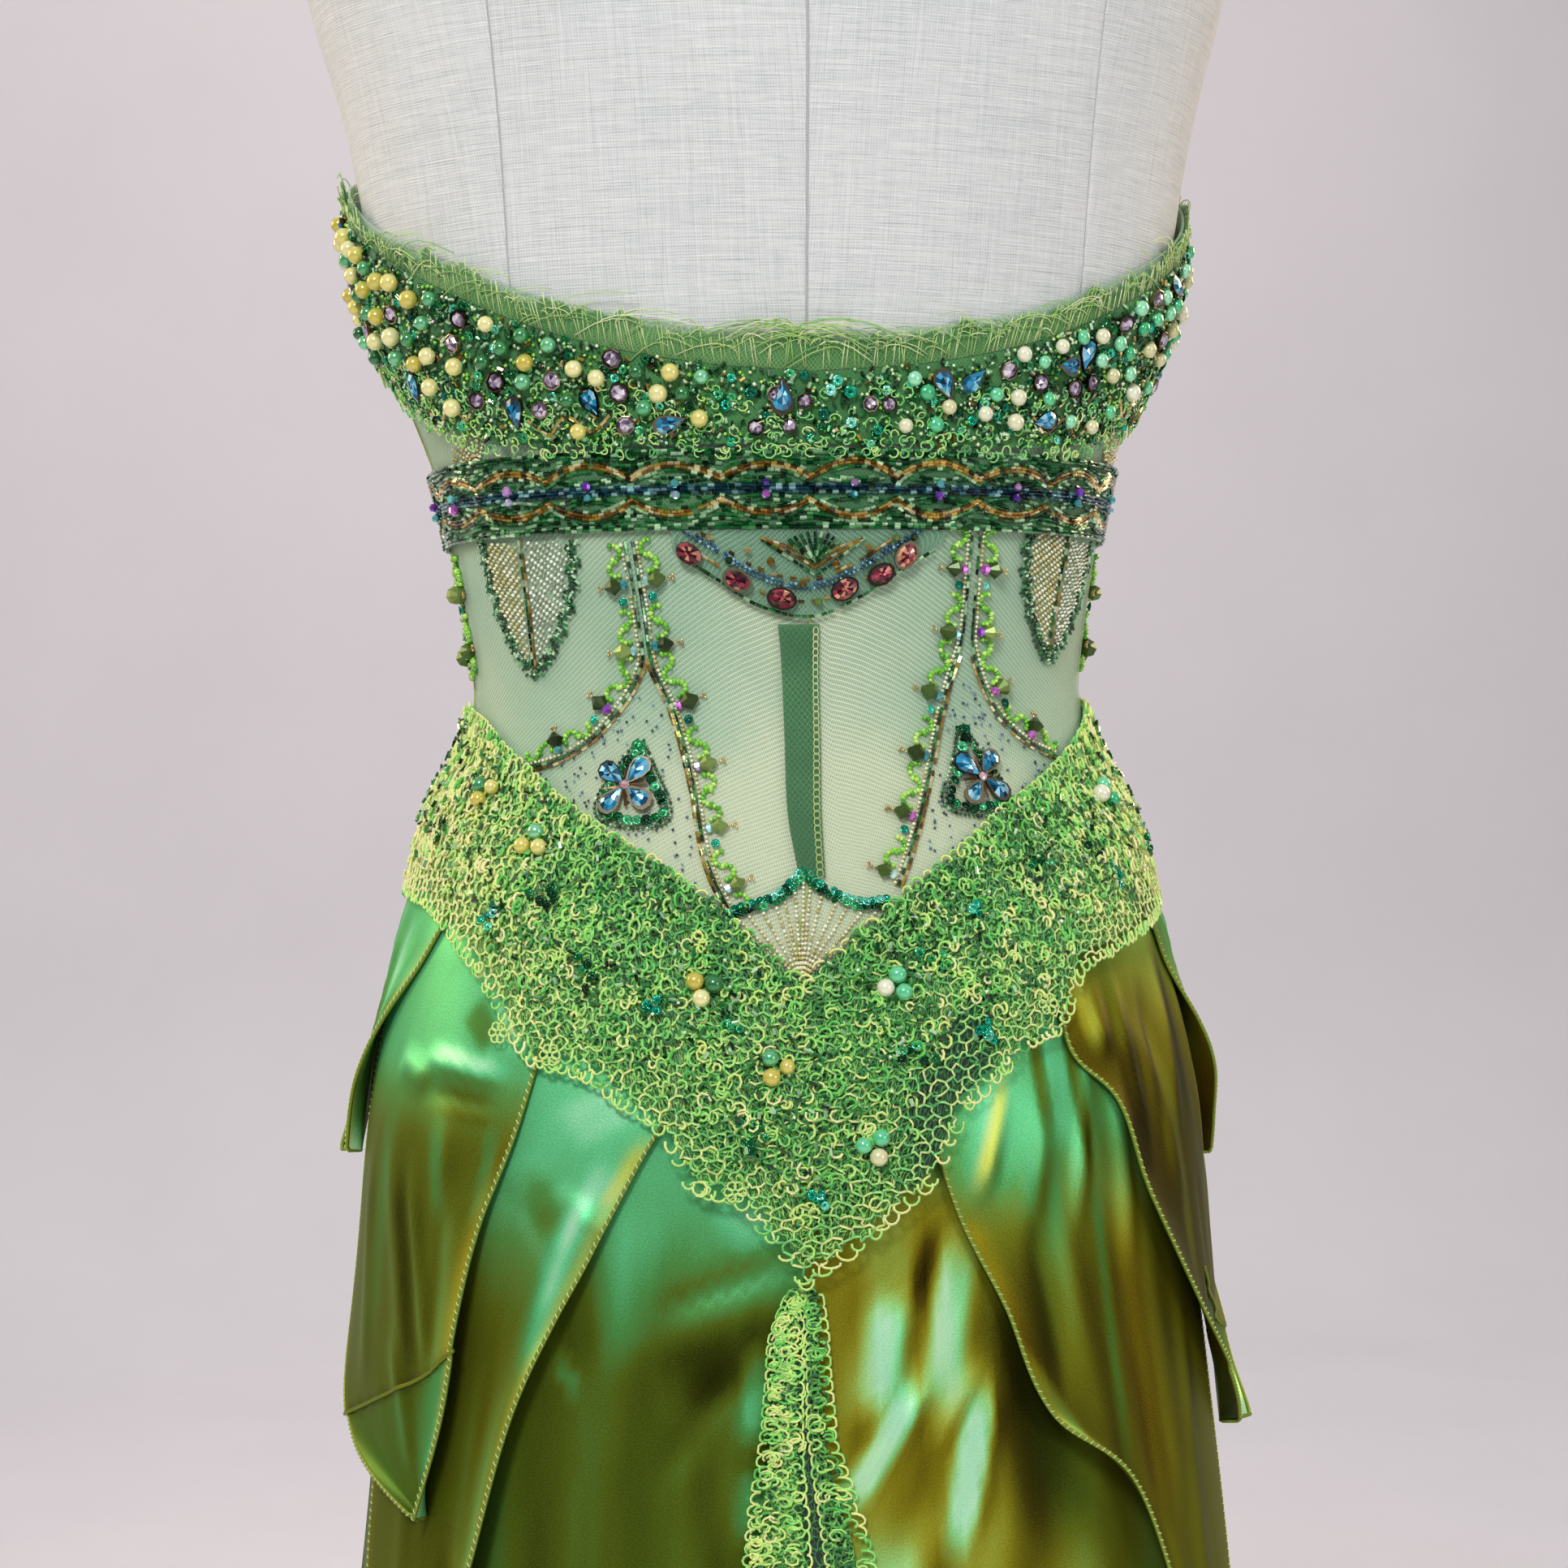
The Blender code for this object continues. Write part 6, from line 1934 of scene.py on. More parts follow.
@dataclass
class JewelSwag:
    """The V of set oval stones that hangs from the band at the centre back."""

    drop: float = 0.006
    stones: tuple = (
        (-18.5, 1.0871, 0.62), (-10.8, 1.0771, 0.45), (-4.0, 1.0703, 0.25), (4.8, 1.0738, -0.55),
        (10.6, 1.0792, -0.5), (14.8, 1.0862, -0.95),
    )
    fan_foot: tuple = (0.6, 1.0835)
    fan_reach: tuple = (5.0, 0.0115)
    gold_crystals: tuple = (
        (-15.0, 1.0930), (-9.0, 1.0880), (-5.5, 1.0840), (-1.0, 1.0760), (3.5, 1.0830), (8.5, 1.0890),
    )
    olive_crystals: tuple = ((13.0, 1.0925), (1.0, 1.0690), (-12.0, 1.0845), (16.0, 1.0930))

    def low(self, angle: np.ndarray) -> np.ndarray:
        """The swag's lower edge."""
        return read_smooth(SWAG_EDGE, angle, 1) - self.drop + 0.002

    def build(self) -> None:
        """Builds the net under the swag, the stones and the beads round them."""
        piece = cloth_between(
            "jewel_swag_net", SWAG_NET, (SWAG_EDGE[0, 0], SWAG_EDGE[-1, 0]), (40, 10),
            (self.low, level_edge(BAND_HEIGHT - BAND_HALF - SEAM_GAP)),
            on_net,
        )
        settle(piece, "beads", "jewel_swag")
        box = BeadBox("jewel_swag", "beads", 81)
        for angle, height, slope in self.stones:
            spot = FIGURE.spots(np.array([angle]), np.array([height]), TRIM_OUT + 0.0008)
            box.stone(Cut.OVAL_STONE, Glaze.GARNET, spot.turned(math.pi / 2 - slope), (4.9, 4.9, 3.6))
        keys = np.linspace(-20.0, 20.0, 90)
        edge = read_smooth(SWAG_EDGE, keys, 1)
        for offset, cut, glaze, skip in (
            (-0.0045, Cut.BUGLE, Glaze.GREEN, 0.05), (0.0058, Cut.SEED, Glaze.IRIS, 0.1),
            (0.0074, Cut.SEED, Glaze.IRIS, 0.2), (0.0010, Cut.BUGLE, Glaze.BRONZE, 0.45),
            (0.0092, Cut.BUGLE, Glaze.BRONZE, 0.5),
        ):
            inside = edge + offset < BAND_HEIGHT - BAND_HALF
            box.row(cut, glaze, (keys[inside], (edge + offset)[inside]), TRIM_OUT + 0.0007, skip=skip)
        for start in (-7.0, 8.0):
            for lift in (0.0, 0.0026, 0.0052):
                foot = self.fan_foot[0]
                line = smooth_line(
                    ((start, 1.0925), (foot + start * 0.25, 1.0825 + lift), (foot, 1.0790 + lift))
                )
                box.row(Cut.BUGLE, Glaze.BRONZE if lift else Glaze.GREEN, line, TRIM_OUT + 0.0008)
        for lean in np.linspace(-0.75, 0.75, 9):
            (foot, base), (wide, tall) = self.fan_foot, self.fan_reach
            line = smooth_line(((foot, base), (foot + wide * math.sin(lean), base + tall * math.cos(lean))))
            box.row(Cut.BUGLE, Glaze.GREEN, line, TRIM_OUT + 0.0011)
        for glaze, places, size in (
            (Glaze.GOLD, self.gold_crystals, (1.4, 1.4, 1.5)),
            (Glaze.OLIVE, self.olive_crystals, (1.6, 1.6, 1.6))
        ):
            spots = FIGURE.spots(*np.array(places).T, TRIM_OUT + 0.0015)
            box.lay(Cut.FACETED, glaze, spots, size)
        box.build()


def over_both(*rows: tuple) -> list[tuple]:
    """The rows themselves, and the same ones turned to the front with their angles mirrored."""
    return [*rows, *(tuple((math.copysign(180.0, a) - a, h) for a, h in row) for row in rows)]


@dataclass
class LeafBeadwork:
    """The serrated leaves of seeds below the band, and the small fans above it."""

    leaves: tuple = (((-53.6, 1.0945), (-54.4, 1.0424), 23.5), ((54.6, 1.0960), (51.8, 1.0464), 24.0))
    vein_step_mm: float = 2.8
    vein_drop: float = 0.80
    barb_step_mm: float = 2.1
    fans: tuple = ((-62.0, 1.1225, 0.3), (66.0, 1.1240, -0.3), (110.0, 1.1300, 0.2), (-110.0, 1.1300, -0.2))

    def build(self) -> None:
        """Sews the leaves at the back, their pair at the front, and the fans."""
        box = BeadBox("leaf", "beads", 91)
        for top, tip, half in self.leaves:
            self.leaf(box, top, tip, half)
            self.leaf(
                box, (180.0 * np.sign(top[0]) - top[0], top[1]), (180.0 * np.sign(tip[0]) - tip[0], tip[1]),
                half * 0.9
            )
        for angle, height, lean in self.fans:
            patch = Patch(angle, height, lean)
            for ray in np.linspace(-0.95, 0.95, 8):
                reach = np.linspace(2.0, 15.0, 14)
                self.sew(box, patch, reach * math.sin(ray), reach * math.cos(ray), Cut.SEED, Glaze.PALE)
        box.build()

    def sew(
        self, box: BeadBox, patch: Patch, x_mm: np.ndarray, y_mm: np.ndarray, cut: Cut, glaze: Glaze
    ) -> None:
        """Strings one row of beads along a line drawn on a patch."""
        line = patch.places(x_mm, y_mm)
        box.row(cut, glaze, line, on_net(line[0]), skip=0.03)

    def leaf(self, box: BeadBox, top: tuple, tip: tuple, half: float) -> None:
        """Sews one leaf.

        Args:
            box: The box that its beads come from.
            top: The angle and height of its top's middle.
            tip: The angle and height of its tip.
            half: Half its width in mm.
        """
        long = (top[1] - tip[1]) / MM
        patch = Patch(*top, math.radians((tip[0] - top[0]) * 2.0))
        share = np.linspace(0.0, 1.0, 60)

        def edge(t: np.ndarray) -> np.ndarray:
            """Half the leaf's width at a share of its length."""
            return half * (1.0 - t**2.3) ** 0.9 * (0.95 + 0.05 * np.cos(t * 38.0))

        for sign, pale in ((-1.0, Glaze.PALE), (1.0, Glaze.SILVER)):
            for inset, cut in ((0.2, Cut.BUGLE), (1.3, Cut.SEED), (2.5, Cut.SEED)):
                self.sew(
                    box, patch, sign * np.maximum(edge(share) - inset, 0.0), -share * (long - inset), cut,
                    Glaze.GREEN
                )
            for down in np.arange(1.0, long - 1.0, self.barb_step_mm):
                root = edge(np.array([down / long]))[0]
                barb = np.linspace(-3.4, 1.8, 9)
                self.sew(box, patch, sign * (root + barb * 0.8), -(down + barb * 0.6), Cut.BUGLE, Glaze.GREEN)
            start = -self.vein_drop * half
            while start < long - 4.0:
                run = np.linspace(0.0, 40.0, 120)
                x, y = run, start + run * self.vein_drop
                inside = (y > 0.6) & (y < long) & (x < edge(np.clip(y / long, 0.0, 1.0)) - 3.6) & (x > 1.5)
                if inside.sum() > 5:
                    self.sew(box, patch, sign * x[inside], -y[inside], Cut.SEED, pale)
                start += self.vein_step_mm
        stem = np.linspace(0.0, long - 3.0, 30)
        self.sew(box, patch, 0 * stem + 0.6, -stem, Cut.BUGLE, Glaze.BRONZE)
        self.sew(box, patch, 0 * stem - 0.6, -stem, Cut.BUGLE, Glaze.GREEN)


@dataclass
class VineBeadwork:
    """The vines that fork over the bodice, with sprigs, bicones and cut beads on their outer sides."""

    forks: tuple = (
        ((-29.6, 1.0921), (-28.4, 1.064), (-28.6, 1.046), (-37.1, 1.0217), (-45.0, 1.0122), (-53.5, 1.0085)),
        (
            (-29.0, 1.0921), (-28.0, 1.064), (-27.2, 1.046), (-23.0, 1.0276), (-19.2, 1.0038),
            (-16.1, 0.9747), (-12.4, 0.9560)
        ),
        ((28.2, 1.0965), (28.0, 1.0649), (27.2, 1.0527), (21.4, 1.0218), (15.8, 0.9919), (10.2, 0.9650)),
        ((29.0, 1.0965), (29.0, 1.0649), (29.2, 1.0527), (34.7, 1.0282), (41.0, 1.0170), (49.5, 1.0110)),
    )
    flower_sides: tuple = (1.0, -1.0, 1.0, -1.0)
    sides: tuple = (
        ((-87.0, 1.092), (-88.0, 1.070), (-86.5, 1.046)), ((87.0, 1.092), (88.0, 1.070), (86.5, 1.046))
    )
    fork_height: float = 1.050
    sprig_step_mm: float = 6.0

    def build(self) -> None:
        """Sews the vines at the back and sides and their pairs at the front."""
        box = BeadBox("vine", "beads", 101)
        for number, places in enumerate(over_both(*self.forks)):
            sign = self.flower_sides[number % 4] * (1.0 if number < 4 else -1.0)
            self.vine(box, smooth_line(places), sign, 1.6)
        for places in self.sides:
            for sign in (1.0, -1.0):
                self.vine(box, smooth_line(places), sign, 1.0)
        box.build()

    def vine(self, box: BeadBox, line: tuple, sign: float, base: float) -> None:
        """Sews one branch with what grows on its outer side.

        Args:
            box: The box that its beads come from.
            line: Its angles and heights, from the band down.
            sign: 1 if the flower lies to its left as it runs, or -1.
            base: How far from the line it runs, on the outer side, in mm.
        """
        out = on_net(line[0])
        below = line[1] < self.fork_height
        box.row(Cut.BUGLE, Glaze.GREEN, line, out, side_mm=-sign * (base - 0.7), skip=0.04)
        box.row(Cut.SEED, Glaze.PALE, line, out, side_mm=-sign * (base + 0.8), skip=0.04)
        if below.sum() > 12:
            box.row(
                Cut.BUGLE, Glaze.BRONZE, (line[0][below], line[1][below]), out[below], side_mm=sign * 0.5,
                skip=0.04
            )
        spots = threaded(line, self.sprig_step_mm, out, -sign * (base + 1.5))
        for k in range(len(spots)):
            spot = spots.kept(slice(k, k + 1))
            if k % 4 == 2:
                self.bicone(box, spot, sign)
            elif k % 4 == 3 and k % 8 == 3:
                box.lay(Cut.CUP, Glaze.TEAL, spot.moved(up=-sign * 2.2 * MM), (1.7, 1.7, 1.7))
            else:
                turn = np.linspace(-0.3, 3.3, 7) * (1 if k % 2 else -1) + (0.0 if k % 2 else math.pi)
                along, away = 2.7 * np.cos(turn), 2.9 + 2.7 * np.sin(turn) * (1 if k % 2 else -1)
                curl = gathered_spots(
                    [spot.moved(along=a * MM, up=-sign * b * MM) for a, b in zip(along, away)]
                )
                box.lay(Cut.SEED, Glaze.LIME, curl.turned(turn + math.pi / 2), (1.3, 1.3, 2.1))

    def bicone(self, box: BeadBox, spot: Spots, sign: float) -> None:
        """Sews one bicone, with its cut bead at the base and its gold tip.

        Args:
            box: The box that the beads come from.
            spot: Where it stands.
            sign: The side of the branch, 1 or -1.
        """
        across = spot.turned(math.pi / 2)
        seen = box.rng.random()
        box.lay(
            Cut.FACETED, Glaze.VIOLET if seen < 0.6 else Glaze.AQUA,
            spot.moved(up=-sign * 0.8 * MM, out=0.001), (1.7, 1.7, 1.8)
        )
        box.lay(Cut.BICONE, Glaze.OLIVE, across.moved(along=-sign * 4.7 * MM, out=0.0014), (3.5, 3.5, 3.4))
        for away, aside in ((7.8, 0.0), (9.4, 0.0), (10.6, 0.8), (10.6, -0.8)):
            box.lay(
                Cut.SEED, Glaze.GOLD, across.moved(along=-sign * away * MM, up=aside * MM), (0.7, 0.7, 1.3)
            )


@dataclass
class FlowerBeadwork:
    """The small flowers between the vines' branches: four teardrops with rays, in a seed outline."""

    flowers: tuple = (
        (
            (-30.5, 1.0023),
            (
                (3.7, 17.0), (9, 7), (15.5, -6), (15, -13), (4, -14.5), (-7.4, -11.5), (-10, -5), (-4, 6),
                (3.7, 17)
            )
        ),
        (
            (27.8, 1.0038),
            ((-4, 20.0), (2, 10), (9, -2), (10.5, -9), (0, -13), (-12, -12), (-16, -7), (-10, 5), (-4, 20.0))
        ),
    )
    petal_mm: tuple = (5.4, 5.4, 3.4)
    petal_out_mm: float = 6.3
    ray_out_mm: float = 5.0
    scattered: int = 95
    strewn: tuple = ((-56, 56), (0.956, 1.040))

    def build(self) -> None:
        """Sews both flowers, their pair at the front, and the seeds strewn round them."""
        box = BeadBox("flower", "beads", 111)
        for number, (centre, outline) in enumerate(self.flowers):
            for front in (False, True):
                at = (180.0 * np.sign(centre[0]) - centre[0] if front else centre[0], centre[1])
                flip = -1.0 if front else 1.0
                self.flower(box, Patch(*at), [(x * flip, y) for x, y in outline])
            self.strew(box, VineBeadwork().forks[2 * number:2 * number + 2])
        box.build()

    def flower(self, box: BeadBox, patch: Patch, outline: Sequence[tuple]) -> None:
        """Sews one flower.

        Args:
            box: The box that its beads come from.
            patch: Where it lies.
            outline: The line round it, in mm from its centre.
        """
        table = np.array([(k, *p) for k, p in enumerate(outline)], float)
        keys = np.linspace(0, len(outline) - 1, 90)
        line = patch.places(read_smooth(table, keys, 1), read_smooth(table, keys, 2))
        out = on_net(line[0])
        box.row(Cut.SEED, Glaze.GREEN, line, out + 0.0003, side_mm=0.9)
        box.row(Cut.SEED, Glaze.GREEN, line, out + 0.0003, 2.1, side_mm=-0.8)
        cups = threaded(line, 3.6, out + 0.0004, -2.0).tilted(0.25, box.rng)
        box.lay(Cut.CUP, Glaze.FOREST, cups, (2.0, 2.0, 2.0))
        for k in range(4):
            way = math.pi / 4 + k * math.pi / 2 + 0.12
            spot = patch.spots(*outward(self.petal_out_mm, way), on_trim(patch.angle, -WALL + 0.0008))
            box.stone(Cut.PEAR_STONE, Glaze.BLUE, spot.turned(way + math.pi / 2), self.petal_mm)
            ray = way + math.pi / 4
            spot = patch.spots(*outward(self.ray_out_mm, ray), on_trim(patch.angle, -WALL + 0.0009))
            box.lay(Cut.BUGLE, Glaze.COPPER, spot.turned(ray), (0.62, 0.62, 5.6))
        middle = patch.spots(*outward(0.0, 0.0), on_trim(patch.angle, 0.0))
        box.stone(Cut.ROUND_STONE, Glaze.ROSE, middle, (1.9, 1.9, 2.2))

    def strew(self, box: BeadBox, branches: Sequence[tuple]) -> None:
        """Strews small dark seeds over the net between two branches, back and front.

        Args:
            box: The box that the beads come from.
            branches: The places of the two branches.
        """
        lines = [np.array(sorted(b, key=lambda p: p[1])) for b in branches]
        angle, height = (box.rng.uniform(*span, self.scattered * 22) for span in self.strewn)
        first, second = (np.interp(height, line[:, 1], line[:, 0]) for line in lines)
        free = (angle > np.minimum(first, second) + 1.4) & (angle < np.maximum(first, second) - 1.4)
        free &= height > yoke_top(angle) + 0.002
        angle, height = angle[free][: self.scattered], height[free][: self.scattered]
        for at in (angle, 180.0 * np.sign(angle) - angle):
            spots = FIGURE.spots(at, height, on_net(at)).turned(box.rng.uniform(0, np.pi, len(at)))
            box.lay(Cut.SEED, Glaze.INK, spots, (0.7, 0.7, 1.1))


@dataclass
class BackPlacket:
    """The doubled net strip down the centre back, with chain stitch along its right edge."""

    link_mm: float = 2.6

    def build(self) -> None:
        """Builds the strip and its chain stitch."""
        across, height = np.meshgrid(
            np.linspace(0, 1, 14), np.linspace(PLACKET[0, 0], PLACKET[-1, 0], 60), indexing="ij"
        )
        left, right = read_smooth(PLACKET, height, 1), read_smooth(PLACKET, height, 2)
        angle = left + (right - left) * across
        inner, outer = (FIGURE.spots(angle, height, TRIM_INSIDE + wall).points for wall in (0.0, WALL))
        piece = cloth_wall("back_placket_net", inner, outer, PLACKET_NET, measure_cloth(outer))
        settle(piece, "edging_net", "back_placket")
        chain = CordSkein("back_placket_chain_stitch", SEWING_THREAD, 0.24)
        level = np.arange(PLACKET[0, 0] + 0.001, PLACKET[-1, 0] - 0.001, self.link_mm * MM)
        turn = np.linspace(0.0, 2 * np.pi, 8)[None]
        rise = level[:, None] + 0.62 * self.link_mm * MM * np.cos(turn)
        angle = read_smooth(PLACKET, rise, 2) - 0.5 + 0.34 * np.sin(turn)
        spots = FIGURE.spots(angle, rise, TRIM_OUT + 0.0001)
        chain.add(spots.points, spots.out, np.linspace(0.5, 0.9, len(level)))
        chain.piece("edging_net")


@dataclass
class FanBeadwork:
    """The sequin arch over the yoke's point, with strands of seeds that run down to it."""

    arch: tuple = ((-12.7, 0.955), (-10.0, 0.9585), (-6.5, 0.9610), (-4.0, 0.9655), (-2.1, 0.9705),
                   (-0.4, 0.9655),
                   (2.2, 0.9610), (5.0, 0.9590), (8.4, 0.9600))
    point: tuple = (-3.0, 0.9335)
    strands: int = 13

    def build(self) -> None:
        """Sews the arch and the strands, at the back and at the front."""
        box = BeadBox("fan", "beads", 121)
        for front in (False, True):
            arch = [(180.0 - a if front else a, h) for a, h in self.arch]
            point = (180.0 - self.point[0] if front else self.point[0], self.point[1])
            line = smooth_line(arch)
            out = on_net(wrapped(line[0]))
            for side, glaze in ((0.9, Glaze.TEAL), (-0.9, Glaze.FOREST)):
                cups = threaded(line, 2.5, out + 0.0003, side).turned(box.rng.uniform(0, 6, 1))
                box.lay(Cut.CUP, glaze, cups.tilted(0.35, box.rng), (1.75, 1.75, 1.75))
            for k in np.linspace(4, len(line[0]) - 5, self.strands).astype(int):
                end = (line[0][k], line[1][k] - 0.0025)
                strand = smooth_line((end, ((end[0] + point[0]) / 2, (end[1] + point[1]) / 2), point))
                box.row(Cut.SEED, Glaze.PALE, strand, on_net(wrapped(strand[0])), size_mm=(0.8, 0.8, 1.5))
        box.build()


@dataclass
class SatinSkirt:
    """The satin skirt's four panels with their hanging folds and creases."""

    creases: tuple = (
        (2, 0.812, 9, 0.765, 5.0, 0.6), (13, 0.800, 5, 0.720, 5.0, -1.4), (16, 0.745, 10, 0.700, 5.0, -1.8),
        (20, 0.790, 13, 0.740, 5.0, 0.6), (9, 0.740, 4, 0.690, 6.0, 1.8), (-12, 0.800, -20, 0.765, 5.0, -1.0),
        (-9, 0.800, -14, 0.730, 5.0, 0.4), (-15, 0.770, -11, 0.700, 5.0, -1.2),
        (22, 0.720, 19, 0.660, 7.0, -1.6), (26, 0.600, 22, 0.500, 9.0, 3.0),
        (-34, 0.610, -30, 0.500, 9.0, -3.0), (48, 0.590, 44, 0.480, 9.0, 2.5),
        (-66, 0.580, -60, 0.480, 10.0, 3.0), (80, 0.600, 76, 0.500, 9.0, -3.0),
        (-92, 0.590, -88, 0.490, 9.0, 2.6), (112, 0.600, 116, 0.500, 10.0, 2.8),
        (-120, 0.590, -124, 0.490, 9.0, -3.0), (150, 0.700, 146, 0.560, 8.0, -1.6),
        (-155, 0.720, -151, 0.600, 8.0, 1.2), (172, 0.800, 178, 0.690, 7.0, -1.2),
        (-176, 0.780, -170, 0.660, 7.0, 0.8), (12.0, 0.842, 8.4, 0.794, 3.0, -1.8),
        (9.4, 0.790, 1.0, 0.752, 2.6, 2.2), (16.0, 0.795, 11.5, 0.772, 2.6, 2.2),
        (6.0, 0.822, 4.2, 0.785, 5.0, 2.0), (15.0, 0.838, 12.6, 0.785, 3.6, 1.8),
        (18.4, 0.792, 14.4, 0.730, 3.0, 2.0), (-6.0, 0.836, -20.0, 0.822, 4.0, -1.6),
        (-8.6, 0.802, -10.0, 0.772, 2.6, 1.6), (-10.6, 0.818, -10.9, 0.780, 1.8, 0.8),
        (-36.0, 0.801, -33.0, 0.790, 2.4, 0.6), (-24.5, 0.850, -25.0, 0.800, 5.0, 0.6),
    )
    # Each panel's rows of painted highlights and painted shade, and of gold that is partly a painted glint
    back_left: SatinLie = SatinLie(0.34, (0.785, 0.872, 0.38), 0.05, painted_sheens_and_shade=(
        (-5.5, 0.812, -19.0, 0.796, 12.0, -0.22), (-11.5, 0.857, -8.0, 0.843, 8.0, 0.16),
        (-24.0, 0.850, -25.5, 0.805, 7.0, 0.10), (-8.6, 0.806, -9.8, 0.776, 4.2, 0.36),
        (-9.6, 0.764, -10.0, 0.742, 4.0, 0.30), (-36.0, 0.802, -33.0, 0.790, 3.0, 0.20),
        (-33.5, 0.850, -33.0, 0.800, 7.0, -0.16), (-16.0, 0.780, -15.0, 0.700, 5.0, -0.06),
        (-22.0, 0.780, -22.5, 0.700, 6.0, 0.05), (-29.0, 0.760, -31.0, 0.690, 6.0, -0.06),
    ))
    back_right: SatinLie = SatinLie(0.41, (0.848, 0.872, 0.10), 0.84, painted_sheens_and_shade=(
        (4.6, 0.853, 6.0, 0.828, 7.0, 0.16), (6.4, 0.822, 4.3, 0.784, 8.5, 0.52),
        (7.8, 0.787, 0.4, 0.752, 4.2, 0.46), (14.4, 0.836, 11.6, 0.783, 5.6, 0.42),
        (16.6, 0.789, 12.6, 0.733, 4.2, 0.50), (10.8, 0.842, 8.0, 0.796, 3.6, -0.34),
        (20.5, 0.822, 29.0, 0.736, 13.0, -0.26), (12.4, 0.786, 9.0, 0.750, 4.0, -0.12),
        (1.8, 0.822, 2.0, 0.770, 3.0, -0.18), (4.0, 0.740, 6.0, 0.690, 8.0, 0.30),
        (19.0, 0.690, 16.0, 0.600, 6.0, 0.35),
    ), gold_and_glint_rows=((21.0, 0.835, 31.0, 0.736, 14.0, -0.75), (40.0, 0.760, 60.0, 0.560, 40.0, -0.6)))
    front: SatinLie = SatinLie(0.30, (0.800, 0.868, 0.36), 0.15, painted_sheens_and_shade=(
        (172.0, 0.812, 178.0, 0.700, 7.0, 0.30), (150.0, 0.700, 146.0, 0.560, 8.0, -0.16),
        (-170.0, 0.770, -165.0, 0.650, 7.0, 0.28), (-155.0, 0.720, -151.0, 0.600, 8.0, -0.16),
        (120.0, 0.620, 117.0, 0.500, 9.0, 0.24), (-112.0, 0.620, -115.0, 0.500, 9.0, 0.24),
    ))
    panels: tuple = (
        ("back_left", -SIDE_SEAM, 0.0, 0.132, (78, 92)), ("back_right", 0.0, SIDE_SEAM, 0.146, (78, 92)),
        ("front_right", SIDE_SEAM, 180.0, 0.132, (56, 60)),
        ("front_left", -180.0, -SIDE_SEAM, 0.132, (56, 60)),
    )

    def out(self, angle: np.ndarray, height: np.ndarray) -> np.ndarray:
        """How far folds and creases lift the satin, with low ridges below the petals and the tail.

        Args:
            angle: Angles.
            height: Heights over the floor.

        Returns:
            Metres out at each place.
        """
        crease = crease_out(self.creases, angle, height)
        petal = np.interp(height, (0.70, 0.74, 0.78, 0.82, 0.85), (40.0, 34.0, 20.0, 14.0, 9.0))
        tail = read_smooth(TAIL, height, 2) + 1.0
        free = ramp(0.0, 2.5, angle - tail) * ramp(0.0, 2.5, petal - angle)
        return fold_out(angle, height) + np.minimum(
            crease, 0.0005 + 0.1 * np.maximum(0.70 - height, 0.0) + 0.0024 * free
        )

    def marks(self, points: np.ndarray, fold: np.ndarray, angle: np.ndarray, height: np.ndarray) -> dict:
        """The satin's values: each back panel's own, which run out over the front beyond the side seam.

        Args:
            points: The cloth's outer points.
            fold: How far out each lies.
            angle: Their angles.
            height: Their heights.

        Returns:
            The values by name.
        """
        front = self.front.marks(points, fold, angle, height)
        back = (self.back_right if angle.mean() > 0.0 else self.back_left).marks(points, fold, angle, height)
        share = ramp(140.0, SIDE_SEAM, np.abs(angle))
        return {key: front[key] + (back[key] - front[key]) * share for key in front}

    def build(self) -> None:
        """Builds the four panels."""
        for name, start, end, area, grid in self.panels:
            piece = cloth_between(
                f"satin_skirt_{name}", SATIN, (start, end), grid,
                (level_edge(HEM_HEIGHT), lambda angle: waist_seam(angle) - SEAM_GAP),
                self.out, eased=True, drift=True, dye_and_painted_light=self.marks,
            )
            settle(piece, "satin", f"skirt_{name}")


@dataclass(frozen=True)
class PetalCut:
    """One skirt petal: its edge lines from top to tip, its edges' curls, its flat cut and how it lies.

    Below the line at which it is turned, its other face shows, a little further in.
    """

    name: str
    layer: int
    lower: tuple
    upper: tuple
    curls: tuple
    flat: tuple
    lie: SatinLie
    grid: tuple = (28, 44)
    turned: tuple = ()


